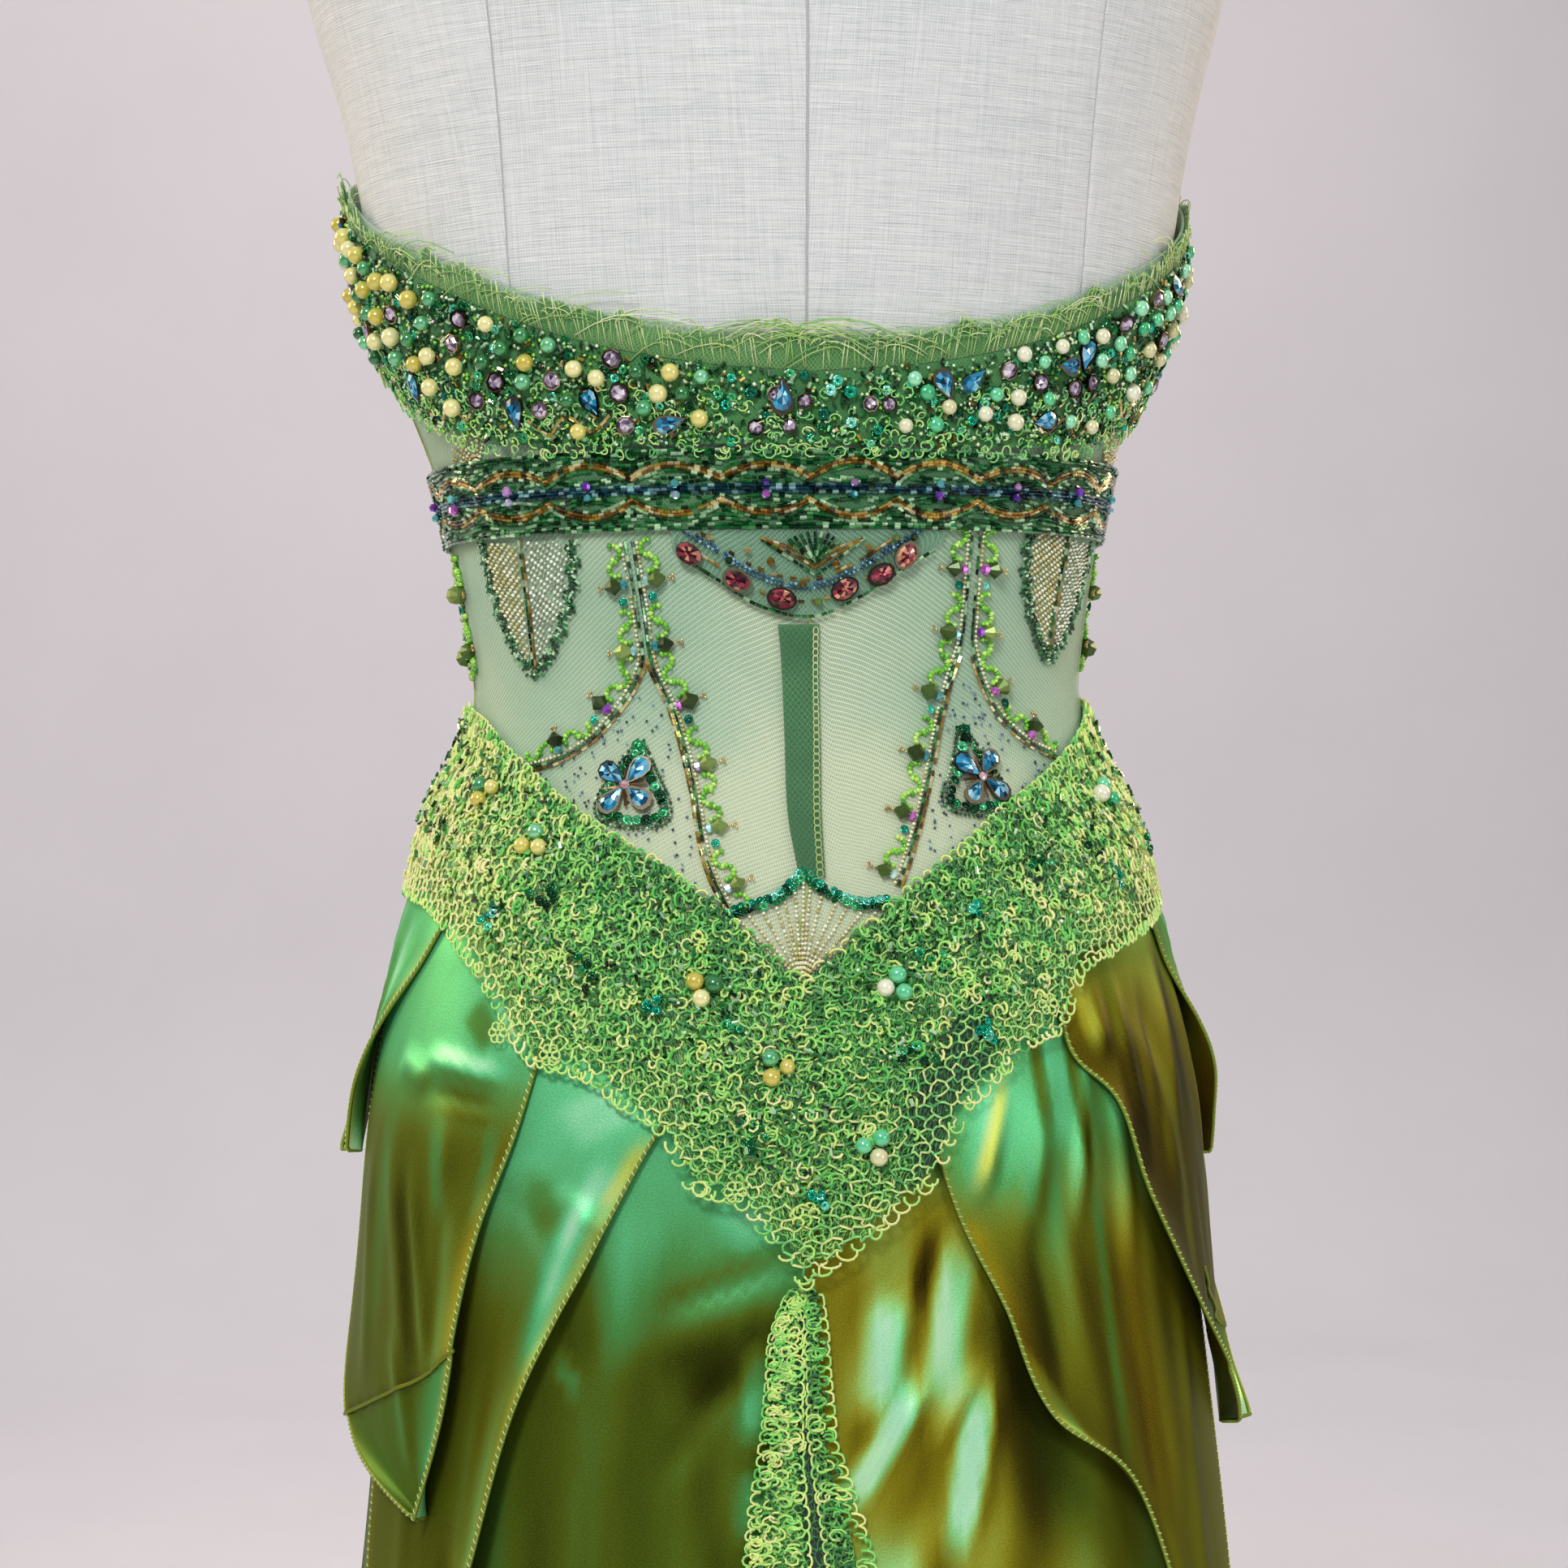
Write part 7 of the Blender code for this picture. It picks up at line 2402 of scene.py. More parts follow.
@dataclass
class SkirtPetals:
    """Ten satin petals with rolled and stitched edges."""

    cuts: tuple
    roll_mm: float = 0.85
    stitch_mm: float = 2.8
    # Painted glint: gold along each petal's side edges, where they curl to the light
    rim_painted_glint: float = 0.6
    turned_in: float = 0.0010
    turned_tone: float = 0.05

    def build(self) -> None:
        """Builds every petal with its rolled edge and stitches."""
        stitches = CordSkein("petal_edge_stitches", SEWING_THREAD, 0.28)
        for cut in self.cuts:
            self.petal(cut, stitches)
        stitches.piece("satin")

    def petal(self, cut: PetalCut, stitches: CordSkein) -> None:
        """Builds one petal.

        Args:
            cut: The petal.
            stitches: The skein that takes its stitches.
        """
        across, up = np.meshgrid(*(np.linspace(0, 1, n) for n in cut.grid), indexing="ij")
        down = 1.0 - up
        angle, height, top_angle, top_height = (0.0, 0.0, 0.0, 0.0)
        for edge, share in ((cut.lower, 1.0 - across), (cut.upper, across)):
            rows = np.array([(i / (len(edge) - 1), *point) for i, point in enumerate(edge)])
            angle = angle + share * read_smooth(rows, down, 1)
            height = height + share * read_smooth(rows, down, 2)
            top_angle = top_angle + share * edge[0][0]
            top_height = top_height + share * edge[0][1]
        height = height + up**3 * (yoke_low(top_angle) + PETAL_TUCK - top_height)
        curl = cut.curls[0] * np.maximum(1.0 - across * 3.0, 0.0) ** 2
        curl = curl + cut.curls[1] * np.maximum(across * 3.0 - 2.0, 0.0) ** 2
        curl = curl * ramp(0.25, 0.75, down)
        crease = np.clip(crease_out(cut.lie.creases, angle, height), -0.0009, 0.0030) * ramp(0.06, 0.22, down)
        out = cut.layer * (WALL + 0.0008 + PETAL_STAND_OFF * ramp(0.935, 0.85, height))
        out = out + fold_envelope(height) + curl + crease
        roll = CordSkein(f"satin_{cut.name}_roll", SATIN, self.roll_mm, sides=5)
        under = 0.0
        if cut.turned:
            places = np.array(cut.turned)
            under = ramp(
                -0.0004, 0.0008, np.interp(angle, places[:, 0], places[:, 1]) - height
            ) * (angle > places[0, 0])
            at, level = smooth_line(cut.turned, 1.5)
            away = np.hypot(
                (angle.ravel() - at[:, None]) * BUST_DEGREE_MM, (height.ravel() - level[:, None]) / MM
            )
            near, held = away.argmin(axis=1), away.min(axis=1) < 2.5
            spots = FIGURE.spots(at[held], level[held], out.ravel()[near[held]] + WALL - 0.0002, eased=True)
            roll.add(spots.points[None], spots.out[None], np.array([0.45]))
        inner, outer = (
            FIGURE.spots(
                angle, height, out + wall - self.turned_in * under, eased=True
            ).points for wall in (0.0, WALL)
        )
        marks = cut.lie.marks(outer, crease + curl, angle, height)
        marks["tone"] = marks["tone"] + under * self.turned_tone
        marks["gilt"] = marks["gilt"] * (1.0 - under)
        rim = np.minimum(across, 1.0 - across)
        # Painted glint: more gold along the side edges, lower down
        marks["gilt"] = np.clip(
            marks["gilt"] + self.rim_painted_glint * ramp(0.07, 0.0, rim) * ramp(0.1, 0.4, down), 0.0, 1.0
        )
        piece = cloth_wall(f"satin_{cut.name}", inner, outer, SATIN, measure_cloth(outer), marks)
        settle(piece, "satin", cut.name)
        rims = [np.concatenate((face[0, ::-1], face[1:, 0], face[-1, 1:]))[4:-4] for face in (inner, outer)]
        path, facing = (rims[0] + rims[1]) / 2, unit(rims[1] - rims[0])
        steps = np.concatenate(([0.0], np.cumsum(np.linalg.norm(np.diff(path, axis=0), axis=1))))
        at = np.linspace(0.0, steps[-1], int(steps[-1] / (self.stitch_mm * MM)))
        path, facing = (
            np.stack([np.interp(at, steps, v[:, c]) for c in range(3)], 1) for v in (path, facing)
        )
        roll.add(path[None], facing[None], np.array([0.55]))
        rolled = roll.piece("satin")
        # The rolled edges are partly gold: the golden yarn, and a painted glint where they curl to the light
        keep_values(rolled, "gilt", np.full(len(rolled.data.vertices), 0.45))
        keep_values(rolled, "cloth", np.zeros((len(rolled.data.vertices), 3)))
        tangent = unit(np.gradient(path, axis=0))[1:-1]
        path, facing = path[1:-1], facing[1:-1]
        turn = np.linspace(-0.9, 0.9, 3)[None, :, None]
        radius = self.roll_mm * MM * 1.08
        bow = facing[:, None] * np.cos(turn) + np.cross(facing, tangent)[:, None] * np.sin(turn)
        arcs = path[:, None] + bow * radius + tangent[:, None] * turn * radius * 0.6
        stitches.add(arcs, bow, np.linspace(0.5, 0.9, len(path)))


# Each petal's satin carries its own painted highlights and painted shade, and gold that is partly a painted
# glint
PETAL_CUTS = (
    PetalCut(
        "petal_back_left_inner", 1,
        ((-44, 0.922), (-60, 0.880), (-71, 0.810), (-73, 0.730), (-67, 0.665), (-57.5, 0.628)),
        ((-19, 0.900), (-24.5, 0.873), (-31, 0.838), (-40, 0.788), (-46, 0.725), (-55.5, 0.628)),
        (0.0, 0.008), (0.11, 0.31, 0.0235),
        SatinLie(0.31, (0.800, 0.876, 0.42), 0.25, creases=(
            (-41, 0.866, -36, 0.835, 5.0, 1.4), (-52, 0.840, -58, 0.720, 6.0, 1.2),
            (-45, 0.800, -50, 0.700, 4.0, -0.9), (-62, 0.800, -62, 0.690, 5.0, 1.0),
            (-35, 0.860, -30, 0.845, 4.0, 1.2), (-54, 0.700, -57, 0.650, 4.0, 1.2),
            (-31, 0.856, -36, 0.818, 4.0, 1.6), (-47, 0.790, -51, 0.690, 3.0, 1.2),
        ), painted_sheens_and_shade=(
            (-43, 0.866, -35, 0.850, 7.0, -0.12), (-27.5, 0.868, -33, 0.842, 7.0, 0.16),
            (-33, 0.842, -38, 0.800, 8.0, 0.22), (-52, 0.860, -60, 0.740, 9.0, -0.12),
            (-26, 0.893, -34, 0.882, 8.0, 0.10), (-45, 0.780, -50, 0.690, 4.0, 0.10),
            (-52, 0.730, -56, 0.660, 5.0, -0.10),
        ), gold_and_glint_rows=((-23, 0.877, -29, 0.856, 3.0, 0.8), (-43, 0.800, -50, 0.690, 6.0, 0.3))), (46, 84),
    ),
    PetalCut(
        "petal_back_left_middle", 2,
        ((-80, 0.972), (-91, 0.910), (-94, 0.850), (-93, 0.800), (-84, 0.768), (-58, 0.742)),
        ((-38, 0.922), (-42, 0.883), (-47, 0.850), (-49, 0.820), (-51, 0.780), (-55, 0.742)),
        (0.003, 0.008), (0.15, 0.23, 0.0260),
        SatinLie(0.34, (0.872, 0.908, 0.32), 0.22, creases=(
            (-70, 0.902, -62, 0.896, 4.0, 1.6), (-61, 0.904, -46, 0.898, 3.4, 1.7),
            (-60, 0.893, -47, 0.889, 3.0, -0.9), (-56, 0.880, -52, 0.830, 6.0, 1.4),
            (-70, 0.870, -62, 0.790, 6.0, 1.6), (-80, 0.860, -78, 0.790, 6.0, 1.2),
            (-54, 0.860, -56, 0.790, 4.0, -0.9), (-66, 0.800, -60, 0.762, 4.0, 1.4),
            (-63, 0.860, -57, 0.800, 3.0, 1.4), (-52, 0.925, -48, 0.906, 4.0, -0.9),
            (-45, 0.925, -43, 0.905, 4.0, 1.6),
        ), painted_sheens_and_shade=(
            (-47, 0.926, -42.5, 0.912, 6.0, 0.14), (-53, 0.922, -48, 0.912, 6.0, -0.22),
            (-60, 0.908, -46, 0.901, 3.4, 0.12), (-58, 0.890, -46, 0.886, 5.0, -0.14),
            (-46, 0.880, -48, 0.850, 3.0, 0.14), (-66, 0.860, -60, 0.790, 4.0, -0.10),
            (-72, 0.880, -76, 0.800, 7.0, 0.10), (-57.5, 0.880, -56.0, 0.850, 4.0, 0.12),
        ), gold_and_glint_rows=((-50, 0.840, -53, 0.790, 5.0, 0.3),)), (48, 78),
        ((-84.0, 0.766), (-80.0, 0.770), (-67.0, 0.782), (-57.0, 0.792), (-49.0, 0.804)),
    ),
    PetalCut(
        "petal_left_outer", 3,
        ((-98, 0.978), (-110, 0.950), (-114, 0.918), (-110, 0.890), (-98, 0.862)),
        ((-60, 0.965), (-68, 0.940), (-80, 0.914), (-90, 0.886), (-96, 0.862)),
        (0.008, 0.005), (0.105, 0.125, 0.0100),
        SatinLie(0.38, (0.910, 0.935, 0.28), 0.2, creases=(
            (-82, 0.955, -92, 0.895, 4.0, 1.6), (-96, 0.950, -100, 0.885, 4.0, 1.4),
            (-74, 0.950, -84, 0.912, 3.0, 1.0),
        ), painted_sheens_and_shade=((-76, 0.945, -88, 0.905, 5.0, 0.20), (-94, 0.930, -98, 0.880, 5.0, -0.20))),
    ),
    PetalCut(
        "petal_back_right_inner", 1,
        ((11, 0.882), (14.5, 0.850), (20, 0.818), (25, 0.780), (39, 0.742), (49.5, 0.628)),
        ((40, 0.925), (56, 0.880), (67, 0.810), (69, 0.730), (62, 0.665), (51.5, 0.628)),
        (0.008, 0.0), (0.14, 0.30, 0.0290),
        SatinLie(0.27, (0.815, 0.886, 0.34), 0.5, creases=(
            (30, 0.915, 25, 0.850, 4.0, 2.2), (37, 0.915, 33, 0.850, 3.2, 2.0),
            (42, 0.905, 43, 0.835, 4.0, 1.8), (21.5, 0.893, 17.5, 0.860, 3.2, 2.4),
            (30, 0.840, 36, 0.760, 6.0, 1.4), (46, 0.850, 52, 0.740, 7.0, 1.2),
            (40, 0.840, 45, 0.740, 4.0, -0.9), (56, 0.800, 55, 0.690, 5.0, 1.2),
            (48, 0.720, 51, 0.660, 4.0, 1.2), (27.4, 0.915, 28.2, 0.878, 2.4, -0.9),
            (33.8, 0.912, 35.4, 0.868, 2.4, -0.9), (25, 0.850, 28, 0.780, 4.0, -0.9),
        ), painted_sheens_and_shade=(
            (22.0, 0.896, 18.0, 0.858, 9.0, 0.14), (31, 0.905, 29.5, 0.874, 5.0, 0.12),
            (27.4, 0.915, 28.2, 0.880, 2.6, -0.30), (33.8, 0.912, 35.2, 0.868, 2.6, -0.30),
            (39.5, 0.905, 40, 0.862, 6.0, -0.14), (21, 0.802, 32, 0.758, 3.2, 0.24),
            (36.6, 0.845, 38.8, 0.760, 2.6, 0.16), (22.5, 0.842, 25, 0.790, 7.0, -0.08),
            (28, 0.868, 31, 0.800, 3.0, 0.10), (43, 0.830, 46, 0.740, 5.0, -0.10),
        ), gold_and_glint_rows=(
            (21.6, 0.894, 17.2, 0.862, 2.6, 1.2), (16.5, 0.846, 14.8, 0.838, 4.0, 0.7),
            (41, 0.850, 46, 0.740, 9.0, 0.5), (36.6, 0.845, 38.8, 0.760, 3.0, -0.6),
            (26, 0.860, 27, 0.800, 5.0, -0.4),
        )), (50, 84),
    ),
    PetalCut(
        "petal_back_right_middle", 2,
        ((33, 0.945), (33.5, 0.910), (41, 0.888), (45, 0.850), (58, 0.800), (79, 0.752)),
        ((76, 0.972), (88, 0.910), (92, 0.850), (93, 0.800), (90, 0.770), (82, 0.752)),
        (0.007, 0.012), (0.15, 0.215, 0.0247),
        SatinLie(0.16, (0.900, 0.950, 0.24), 0.72, creases=(
            (62, 0.950, 58, 0.880, 5.0, 1.8), (70, 0.940, 74, 0.860, 5.0, 1.6),
            (50, 0.905, 56, 0.850, 5.0, 1.6), (78, 0.860, 80, 0.790, 6.0, 1.4),
            (66, 0.850, 74, 0.790, 4.0, -0.9), (45, 0.930, 46, 0.880, 3.0, 1.6),
            (53, 0.925, 52, 0.870, 3.0, -0.9), (40, 0.932, 40, 0.905, 3.5, 1.8),
        ), painted_sheens_and_shade=(
            (36.0, 0.932, 38.5, 0.908, 4.0, 0.26), (45.5, 0.905, 44.5, 0.862, 5.0, -0.22),
            (54, 0.900, 60, 0.820, 4.0, 0.16), (62, 0.940, 64, 0.880, 5.0, -0.16),
            (74, 0.930, 76, 0.850, 5.0, 0.18),
        ), gold_and_glint_rows=((36, 0.932, 38, 0.910, 6.0, 1.0),)), (46, 72),
        ((66.0, 0.818), (71.0, 0.808), (80.0, 0.796), (92.0, 0.782)),
    ),
    PetalCut(
        "petal_right_outer", 3,
        ((62, 0.965), (67, 0.935), (78, 0.908), (88, 0.880), (94, 0.852)),
        ((94, 0.978), (106, 0.950), (110, 0.915), (106, 0.885), (96, 0.852)),
        (0.010, 0.010), (0.10, 0.13, 0.0104),
        SatinLie(0.34, (0.910, 0.935, 0.10), 0.8, creases=(
            (80, 0.955, 84, 0.905, 4.0, 1.8), (92, 0.950, 94, 0.885, 4.0, 1.6),
            (72, 0.950, 78, 0.915, 3.0, 1.2),
        ), painted_sheens_and_shade=((78, 0.945, 86, 0.900, 5.0, 0.20), (94, 0.930, 98, 0.880, 5.0, -0.16))),
    ),
    PetalCut(
        "petal_front_left_middle", 2,
        ((-142, 0.925), (-139, 0.880), (-134, 0.845), (-131, 0.810), (-129, 0.775), (-123, 0.738)),
        ((-101, 0.966), (-98.5, 0.910), (-98, 0.850), (-99, 0.800), (-104, 0.765), (-120, 0.738)),
        (0.007, 0.0), (0.115, 0.225, 0.0194),
        SatinLie(0.31, (0.868, 0.905, 0.36), 0.4, creases=(
            (-128, 0.910, -122, 0.850, 6.0, 1.6), (-112, 0.920, -110, 0.820, 6.0, 1.4),
            (-120, 0.850, -116, 0.780, 5.0, 1.2),
        ), painted_sheens_and_shade=((-130, 0.900, -122, 0.840, 5.0, 0.24), (-112, 0.880, -112, 0.800, 6.0, -0.18))),
    ),
    PetalCut(
        "petal_front_left_inner", 1,
        ((-162, 0.900), (-157, 0.865), (-150, 0.825), (-143, 0.780), (-136, 0.720), (-127.5, 0.632)),
        ((-134, 0.922), (-121, 0.880), (-111, 0.810), (-109, 0.730), (-115, 0.665), (-125.5, 0.632)),
        (0.008, 0.0), (0.115, 0.30, 0.0233),
        SatinLie(0.30, (0.828, 0.876, 0.40), 0.3, creases=(
            (-148, 0.880, -140, 0.780, 6.0, 1.4), (-130, 0.820, -126, 0.700, 7.0, 1.2),
            (-138, 0.790, -132, 0.690, 5.0, -0.9),
        ), painted_sheens_and_shade=((-152, 0.860, -142, 0.800, 5.0, 0.26), (-138, 0.800, -132, 0.700, 6.0, -0.16))),
    ),
    PetalCut(
        "petal_front_right_middle", 2,
        ((100, 0.966), (98, 0.910), (97.5, 0.850), (99, 0.800), (105, 0.765), (121, 0.742)),
        ((141, 0.925), (138, 0.880), (134, 0.848), (132, 0.812), (129, 0.778), (124, 0.742)),
        (0.0, 0.007), (0.115, 0.225, 0.0196),
        SatinLie(0.31, (0.868, 0.905, 0.30), 0.6, creases=(
            (128, 0.905, 121, 0.850, 6.0, 1.6), (112, 0.915, 109, 0.825, 6.0, 1.4),
            (122, 0.845, 117, 0.780, 5.0, 1.2),
        ), painted_sheens_and_shade=((128, 0.900, 122, 0.840, 5.0, 0.24), (112, 0.880, 110, 0.800, 6.0, -0.18))),
    ),
    PetalCut(
        "petal_front_right_inner", 1,
        ((134, 0.922), (122, 0.880), (112, 0.810), (110, 0.730), (116, 0.665), (125.5, 0.630)),
        ((161, 0.900), (156, 0.865), (149, 0.825), (142, 0.780), (136, 0.720), (127.5, 0.630)),
        (0.0, 0.008), (0.115, 0.30, 0.0238),
        SatinLie(0.30, (0.828, 0.876, 0.36), 0.45, creases=(
            (147, 0.880, 141, 0.785, 6.0, 1.4), (129, 0.825, 126, 0.705, 7.0, 1.2),
            (138, 0.785, 131, 0.690, 5.0, -0.9),
        ), painted_sheens_and_shade=((150, 0.860, 142, 0.800, 5.0, 0.26), (138, 0.800, 132, 0.700, 6.0, -0.16))),
    ),
)


def lace_net(low: np.ndarray, high: np.ndarray, pitch: float, rng: np.random.Generator) -> tuple:
    """Draws a net of uneven six-sided lace cells over a box of millimetres.

    Args:
        low: The box's low corner.
        high: Its high corner.
        pitch: The distance from cell to cell.
        rng: The source of the draws.

    Returns:
        The ends of the cells' sides, as two arrays of points.
    """
    step_x, step_y = pitch, pitch * 0.866
    columns, rows = int((high[0] - low[0]) / step_x) + 2, int((high[1] - low[1]) / step_y) + 2
    i, j = np.meshgrid(np.arange(columns), np.arange(rows), indexing="ij")
    middle = np.stack((low[0] + (i + 0.5 * (j % 2)) * step_x, low[1] + j * step_y), -1)
    middle = middle + rng.normal(0.0, 0.16 * pitch, middle.shape)
    ends = []
    odd = (j % 2).astype(bool)

    def at(di: int, dj: int) -> np.ndarray:
        """The middles of the cells a step away, the row's shift included."""
        extra = np.where(odd & (dj != 0), 1, 0) if di >= 0 else np.where(odd | (dj == 0), 0, -1)
        k, m = np.clip(i + (di if dj == 0 else 0) + extra, 0, columns - 1), np.clip(j + dj, 0, rows - 1)
        return middle[k, m]

    east, north_east, north_west = at(1, 0), at(1, 1), at(-1, 1)
    south_east = at(1, -1)
    top = (middle + north_east + north_west) / 3
    right = (middle + north_east + east) / 3
    low_right = (middle + south_east + east) / 3
    ends.append((top, right))
    ends.append((right, low_right))
    west = np.roll(right, 1, axis=0)
    ends.append((top, west))
    starts = np.concatenate([a.reshape(-1, 2) for a, _ in ends])
    stops = np.concatenate([b.reshape(-1, 2) for _, b in ends])
    length = np.linalg.norm(starts - stops, axis=1)
    chosen = (length > 0.2 * pitch) & (length < 1.6 * pitch)
    return starts[chosen], stops[chosen]


@dataclass
class LaceYoke:
    """The corded lace over the hips: ground net, open cells, thick looped cords and beads."""

    cell_mm: float = 4.7
    half_girth_mm: float = 430.0
    levels_mm: tuple = (826.0, 1036.0)
    edge_degree_mm: float = 2.35
    curl_degree_mm: float = 3.0
    curl_mm: tuple = (1.3, 2.7)
    curl_levels: tuple = (0.832, 1.036)
    bead_levels: tuple = (0.840, 1.030)
    bead_raised: float = 0.0032
    trio_mm: float = 3.7
    back_loops: int = 1700
    front_loops: int = 800
    bugles: int = 1150
    trios: tuple = (
        (-62, 1.000), (-46, 0.981), (-15.5, 0.930), (-6.5, 0.903), (3.5, 0.876), (7.5, 0.930), (60, 0.996),
        (118, 0.996), (165, 0.930), (-176, 0.900), (-165, 0.930), (-120, 0.998),
    )
    rosettes: tuple = (
        (-45.5, 0.914), (-36.5, 0.907), (-11.5, 0.862), (29.0, 0.921), (139, 0.914), (-150, 0.900)
    )
    clusters: tuple = (
        (-50, 0.955), (-40, 0.960), (-31, 0.935), (-22, 0.925), (-12, 0.918), (-9, 0.880), (-2, 0.860),
        (9, 0.905), (13, 0.940), (20, 0.955), (34, 0.972), (47, 0.978), (50, 0.962), (71, 0.975),
        (-70, 0.985), (18, 0.915), (112, 0.975), (130, 0.960), (150, 0.930), (168, 0.890), (-170, 0.880),
        (-155, 0.920), (-135, 0.955), (-112, 0.972),
    )

    def depth(self, angle: np.ndarray, height: np.ndarray) -> np.ndarray:
        """How far down the yoke a place is: 0 at its top edge and 1 at its lower edge."""
        return (yoke_top(angle) - height) / (yoke_top(angle) - yoke_low(angle))

    def spots(self, angle: np.ndarray, height: np.ndarray, raised: np.ndarray) -> Spots:
        """Places on the yoke's outer face, raised from it."""
        held = np.clip(height, yoke_low(angle), yoke_top(angle))
        return FIGURE.spots(angle, height, yoke_inside(angle, held) + WALL + raised, eased=True)

    def meshed(self, angle: np.ndarray, height: np.ndarray) -> np.ndarray:
        """Where the lace is a bare mesh: low down right of the centre back, and at the hips' lower edge.

        Args:
            angle: Angles.
            height: Heights over the floor.

        Returns:
            Values from 0, thickly worked, to 1, bare.
        """
        side, down = mirrored(angle), self.depth(angle, height)
        low = ramp(5.5, 9.5, side) * ramp(22, 17, side) * ramp(0.56, 0.70, down)
        hip = 0.7 * ramp(52, 58, side) * ramp(0.62, 0.78, down)
        return np.maximum(low, hip)

    def sparse(self, angle: np.ndarray, height: np.ndarray) -> np.ndarray:
        """How open the lace is: its lower edge and its bare mesh."""
        return np.maximum(ramp(0.70, 0.90, self.depth(angle, height)), self.meshed(angle, height))

    def marks(self, points: np.ndarray, fold: np.ndarray, angle: np.ndarray, height: np.ndarray) -> dict:
        """The ground's tone, yellower towards the hips and the lower edge and much darker where the mesh is
        bare, painted shade in its holes, and how open it is.

        Args:
            points: The cloth's outer points; they are not used.
            fold: How far out each lies; it is not used.
            angle: Their angles.
            height: Their heights.

        Returns:
            The values by name.
        """
        down, side = self.depth(angle, height), np.abs(mirrored(angle))
        bare = self.meshed(angle, height)
        # Painted shade: the bare mesh goes near black, for the shaded satin seen through its holes
        tone = 0.12 + 0.38 * ramp(25, 75, side) + 0.16 * down - 0.66 * bare
        return {"tone": tone, "open": self.sparse(angle, height) * (1.0 - 0.7 * bare)}

    def low(self, angle: np.ndarray) -> np.ndarray:
        """The ground net's ragged lower edge, a little short of the lace's open edge."""
        return yoke_low(angle) + 0.0035 + 0.0015 * np.sin(angle * 1.9) + 0.0012 * np.sin(angle * 4.3 + 1.0)

    def build(self) -> None:
        """Builds the ground, the cords and the beads of both halves."""
        for half, start, end in (("back", -90.0, 90.0), ("front", 90.0, 270.0)):
            piece = cloth_between(
                f"lace_yoke_{half}_ground", LACE_GROUND, (start, end), (116, 24), (self.low, yoke_top),
                yoke_inside, eased=True, dye_and_painted_light=self.marks,
            )
            settle(piece, "lace", f"lace_yoke_{half}")
        rng = np.random.default_rng(41)
        cords = CordSkein("lace_yoke_cell_cords", PALE_LACE_CORD, 0.54)
        loops = CordSkein("lace_yoke_loop_cords", LACE_CORD, 0.60)
        self.cells(cords, rng)
        self.looped(loops, rng)
        self.eyelets(cords)
        self.scallops(loops, rng)
        cords.piece("lace")
        loops.piece("lace")
        self.beads()

    def cells(self, cords: CordSkein, rng: np.random.Generator) -> None:
        """Lays the open cells' cords where the loops leave them to be seen.

        Args:
            cords: The skein to add to.
            rng: The source of the draws.
        """
        low, high = (
            np.array((side * self.half_girth_mm, at)) for side, at in zip((-1.0, 1.0), self.levels_mm)
        )
        starts, stops = lace_net(low, high, self.cell_mm, rng)
        share = np.linspace(0.0, 1.0, 3)[None, :, None]
        bend = rng.normal(0.0, 0.6, (len(starts), 1, 2)) * (1.0 - np.abs(2.0 * share - 1.0))
        flat = starts[:, None] * (1 - share) + stops[:, None] * share + bend
        angle, height = flat[..., 0] * 180.0 / self.half_girth_mm, flat[..., 1] * MM
        down = self.depth(angle, height)
        inside = (down.min(axis=1) > 0.0) & (down.max(axis=1) < 1.01)
        inside &= (np.abs(angle[:, 1]) < 93.0) | (self.sparse(angle[:, 1], height[:, 1]) > 0.15)
        spots = self.spots(angle[inside], height[inside], 0.0006)
        side = np.abs(mirrored(angle[:, 1]))
        tone = 0.32 + 0.50 * ramp(25, 75, side) + 0.30 * down[:, 1] + rng.normal(0.0, 0.3, len(down))
        cords.add(spots.points, spots.out, np.clip(tone, 0, 1)[inside])

    def looped(self, loops: CordSkein, rng: np.random.Generator) -> None:
        """Scatters the curls of thick cord, thinner towards the open edge.

        Args:
            loops: The skein to add to.
            rng: The source of the draws.
        """
        for start, count in ((-92.0, self.back_loops), (92.0, self.front_loops)):
            at = start + rng.uniform(0.0, 184.0 if start < 0 else 176.0, count * 4)
            level = rng.uniform(*self.curl_levels, count * 4)
            down = self.depth(at, level)
            bare = np.maximum(0.95 * self.sparse(at, level), 0.99 * self.meshed(at, level))
            chosen = (down > 0.0) & (down < 1.0) & (rng.random(len(at)) > bare)
            at, level, down = (v[chosen][:count] for v in (at, level, down))
            angle, height = curled(at, level, rng, self.curl_mm, self.curl_degree_mm)
            spots = self.spots(angle, height, 0.0011 + 0.0014 * rng.random((len(at), 1)))
            toward_side = ramp(25, 75, np.abs(mirrored(at)))
            tone = 0.30 + 0.46 * toward_side + 0.18 * down + rng.normal(0, 0.34, len(at))
            loops.add(spots.points, spots.out, np.clip(tone, 0, 1))

    def scallops(self, loops: CordSkein, rng: np.random.Generator) -> None:
        """Finishes the lower and upper edges with small loops of cord.

        Args:
            loops: The skein to add to.
            rng: The source of the draws.
        """
        for edge, sign, pitch, most in ((yoke_low, -1.0, 1.25, 3.2), (yoke_top, 1.0, 1.7, 2.0)):
            at = np.arange(-179.5, 180.0, pitch)
            at = at + rng.normal(0, 0.25, len(at))
            arc = np.linspace(-0.25, np.pi + 0.25, 7)[None]
            wide, deep = rng.uniform(1.5, 2.3, (len(at), 1)), rng.uniform(1.3, most, (len(at), 1))
            angle = at[:, None] + wide * np.cos(arc) / self.edge_degree_mm
            height = edge(at)[:, None] + sign * MM * deep * np.sin(arc)
            spots = self.spots(angle, height, 0.0004)
            loops.add(spots.points, spots.out, np.clip(rng.normal(0.62, 0.2, len(at)), 0, 1))

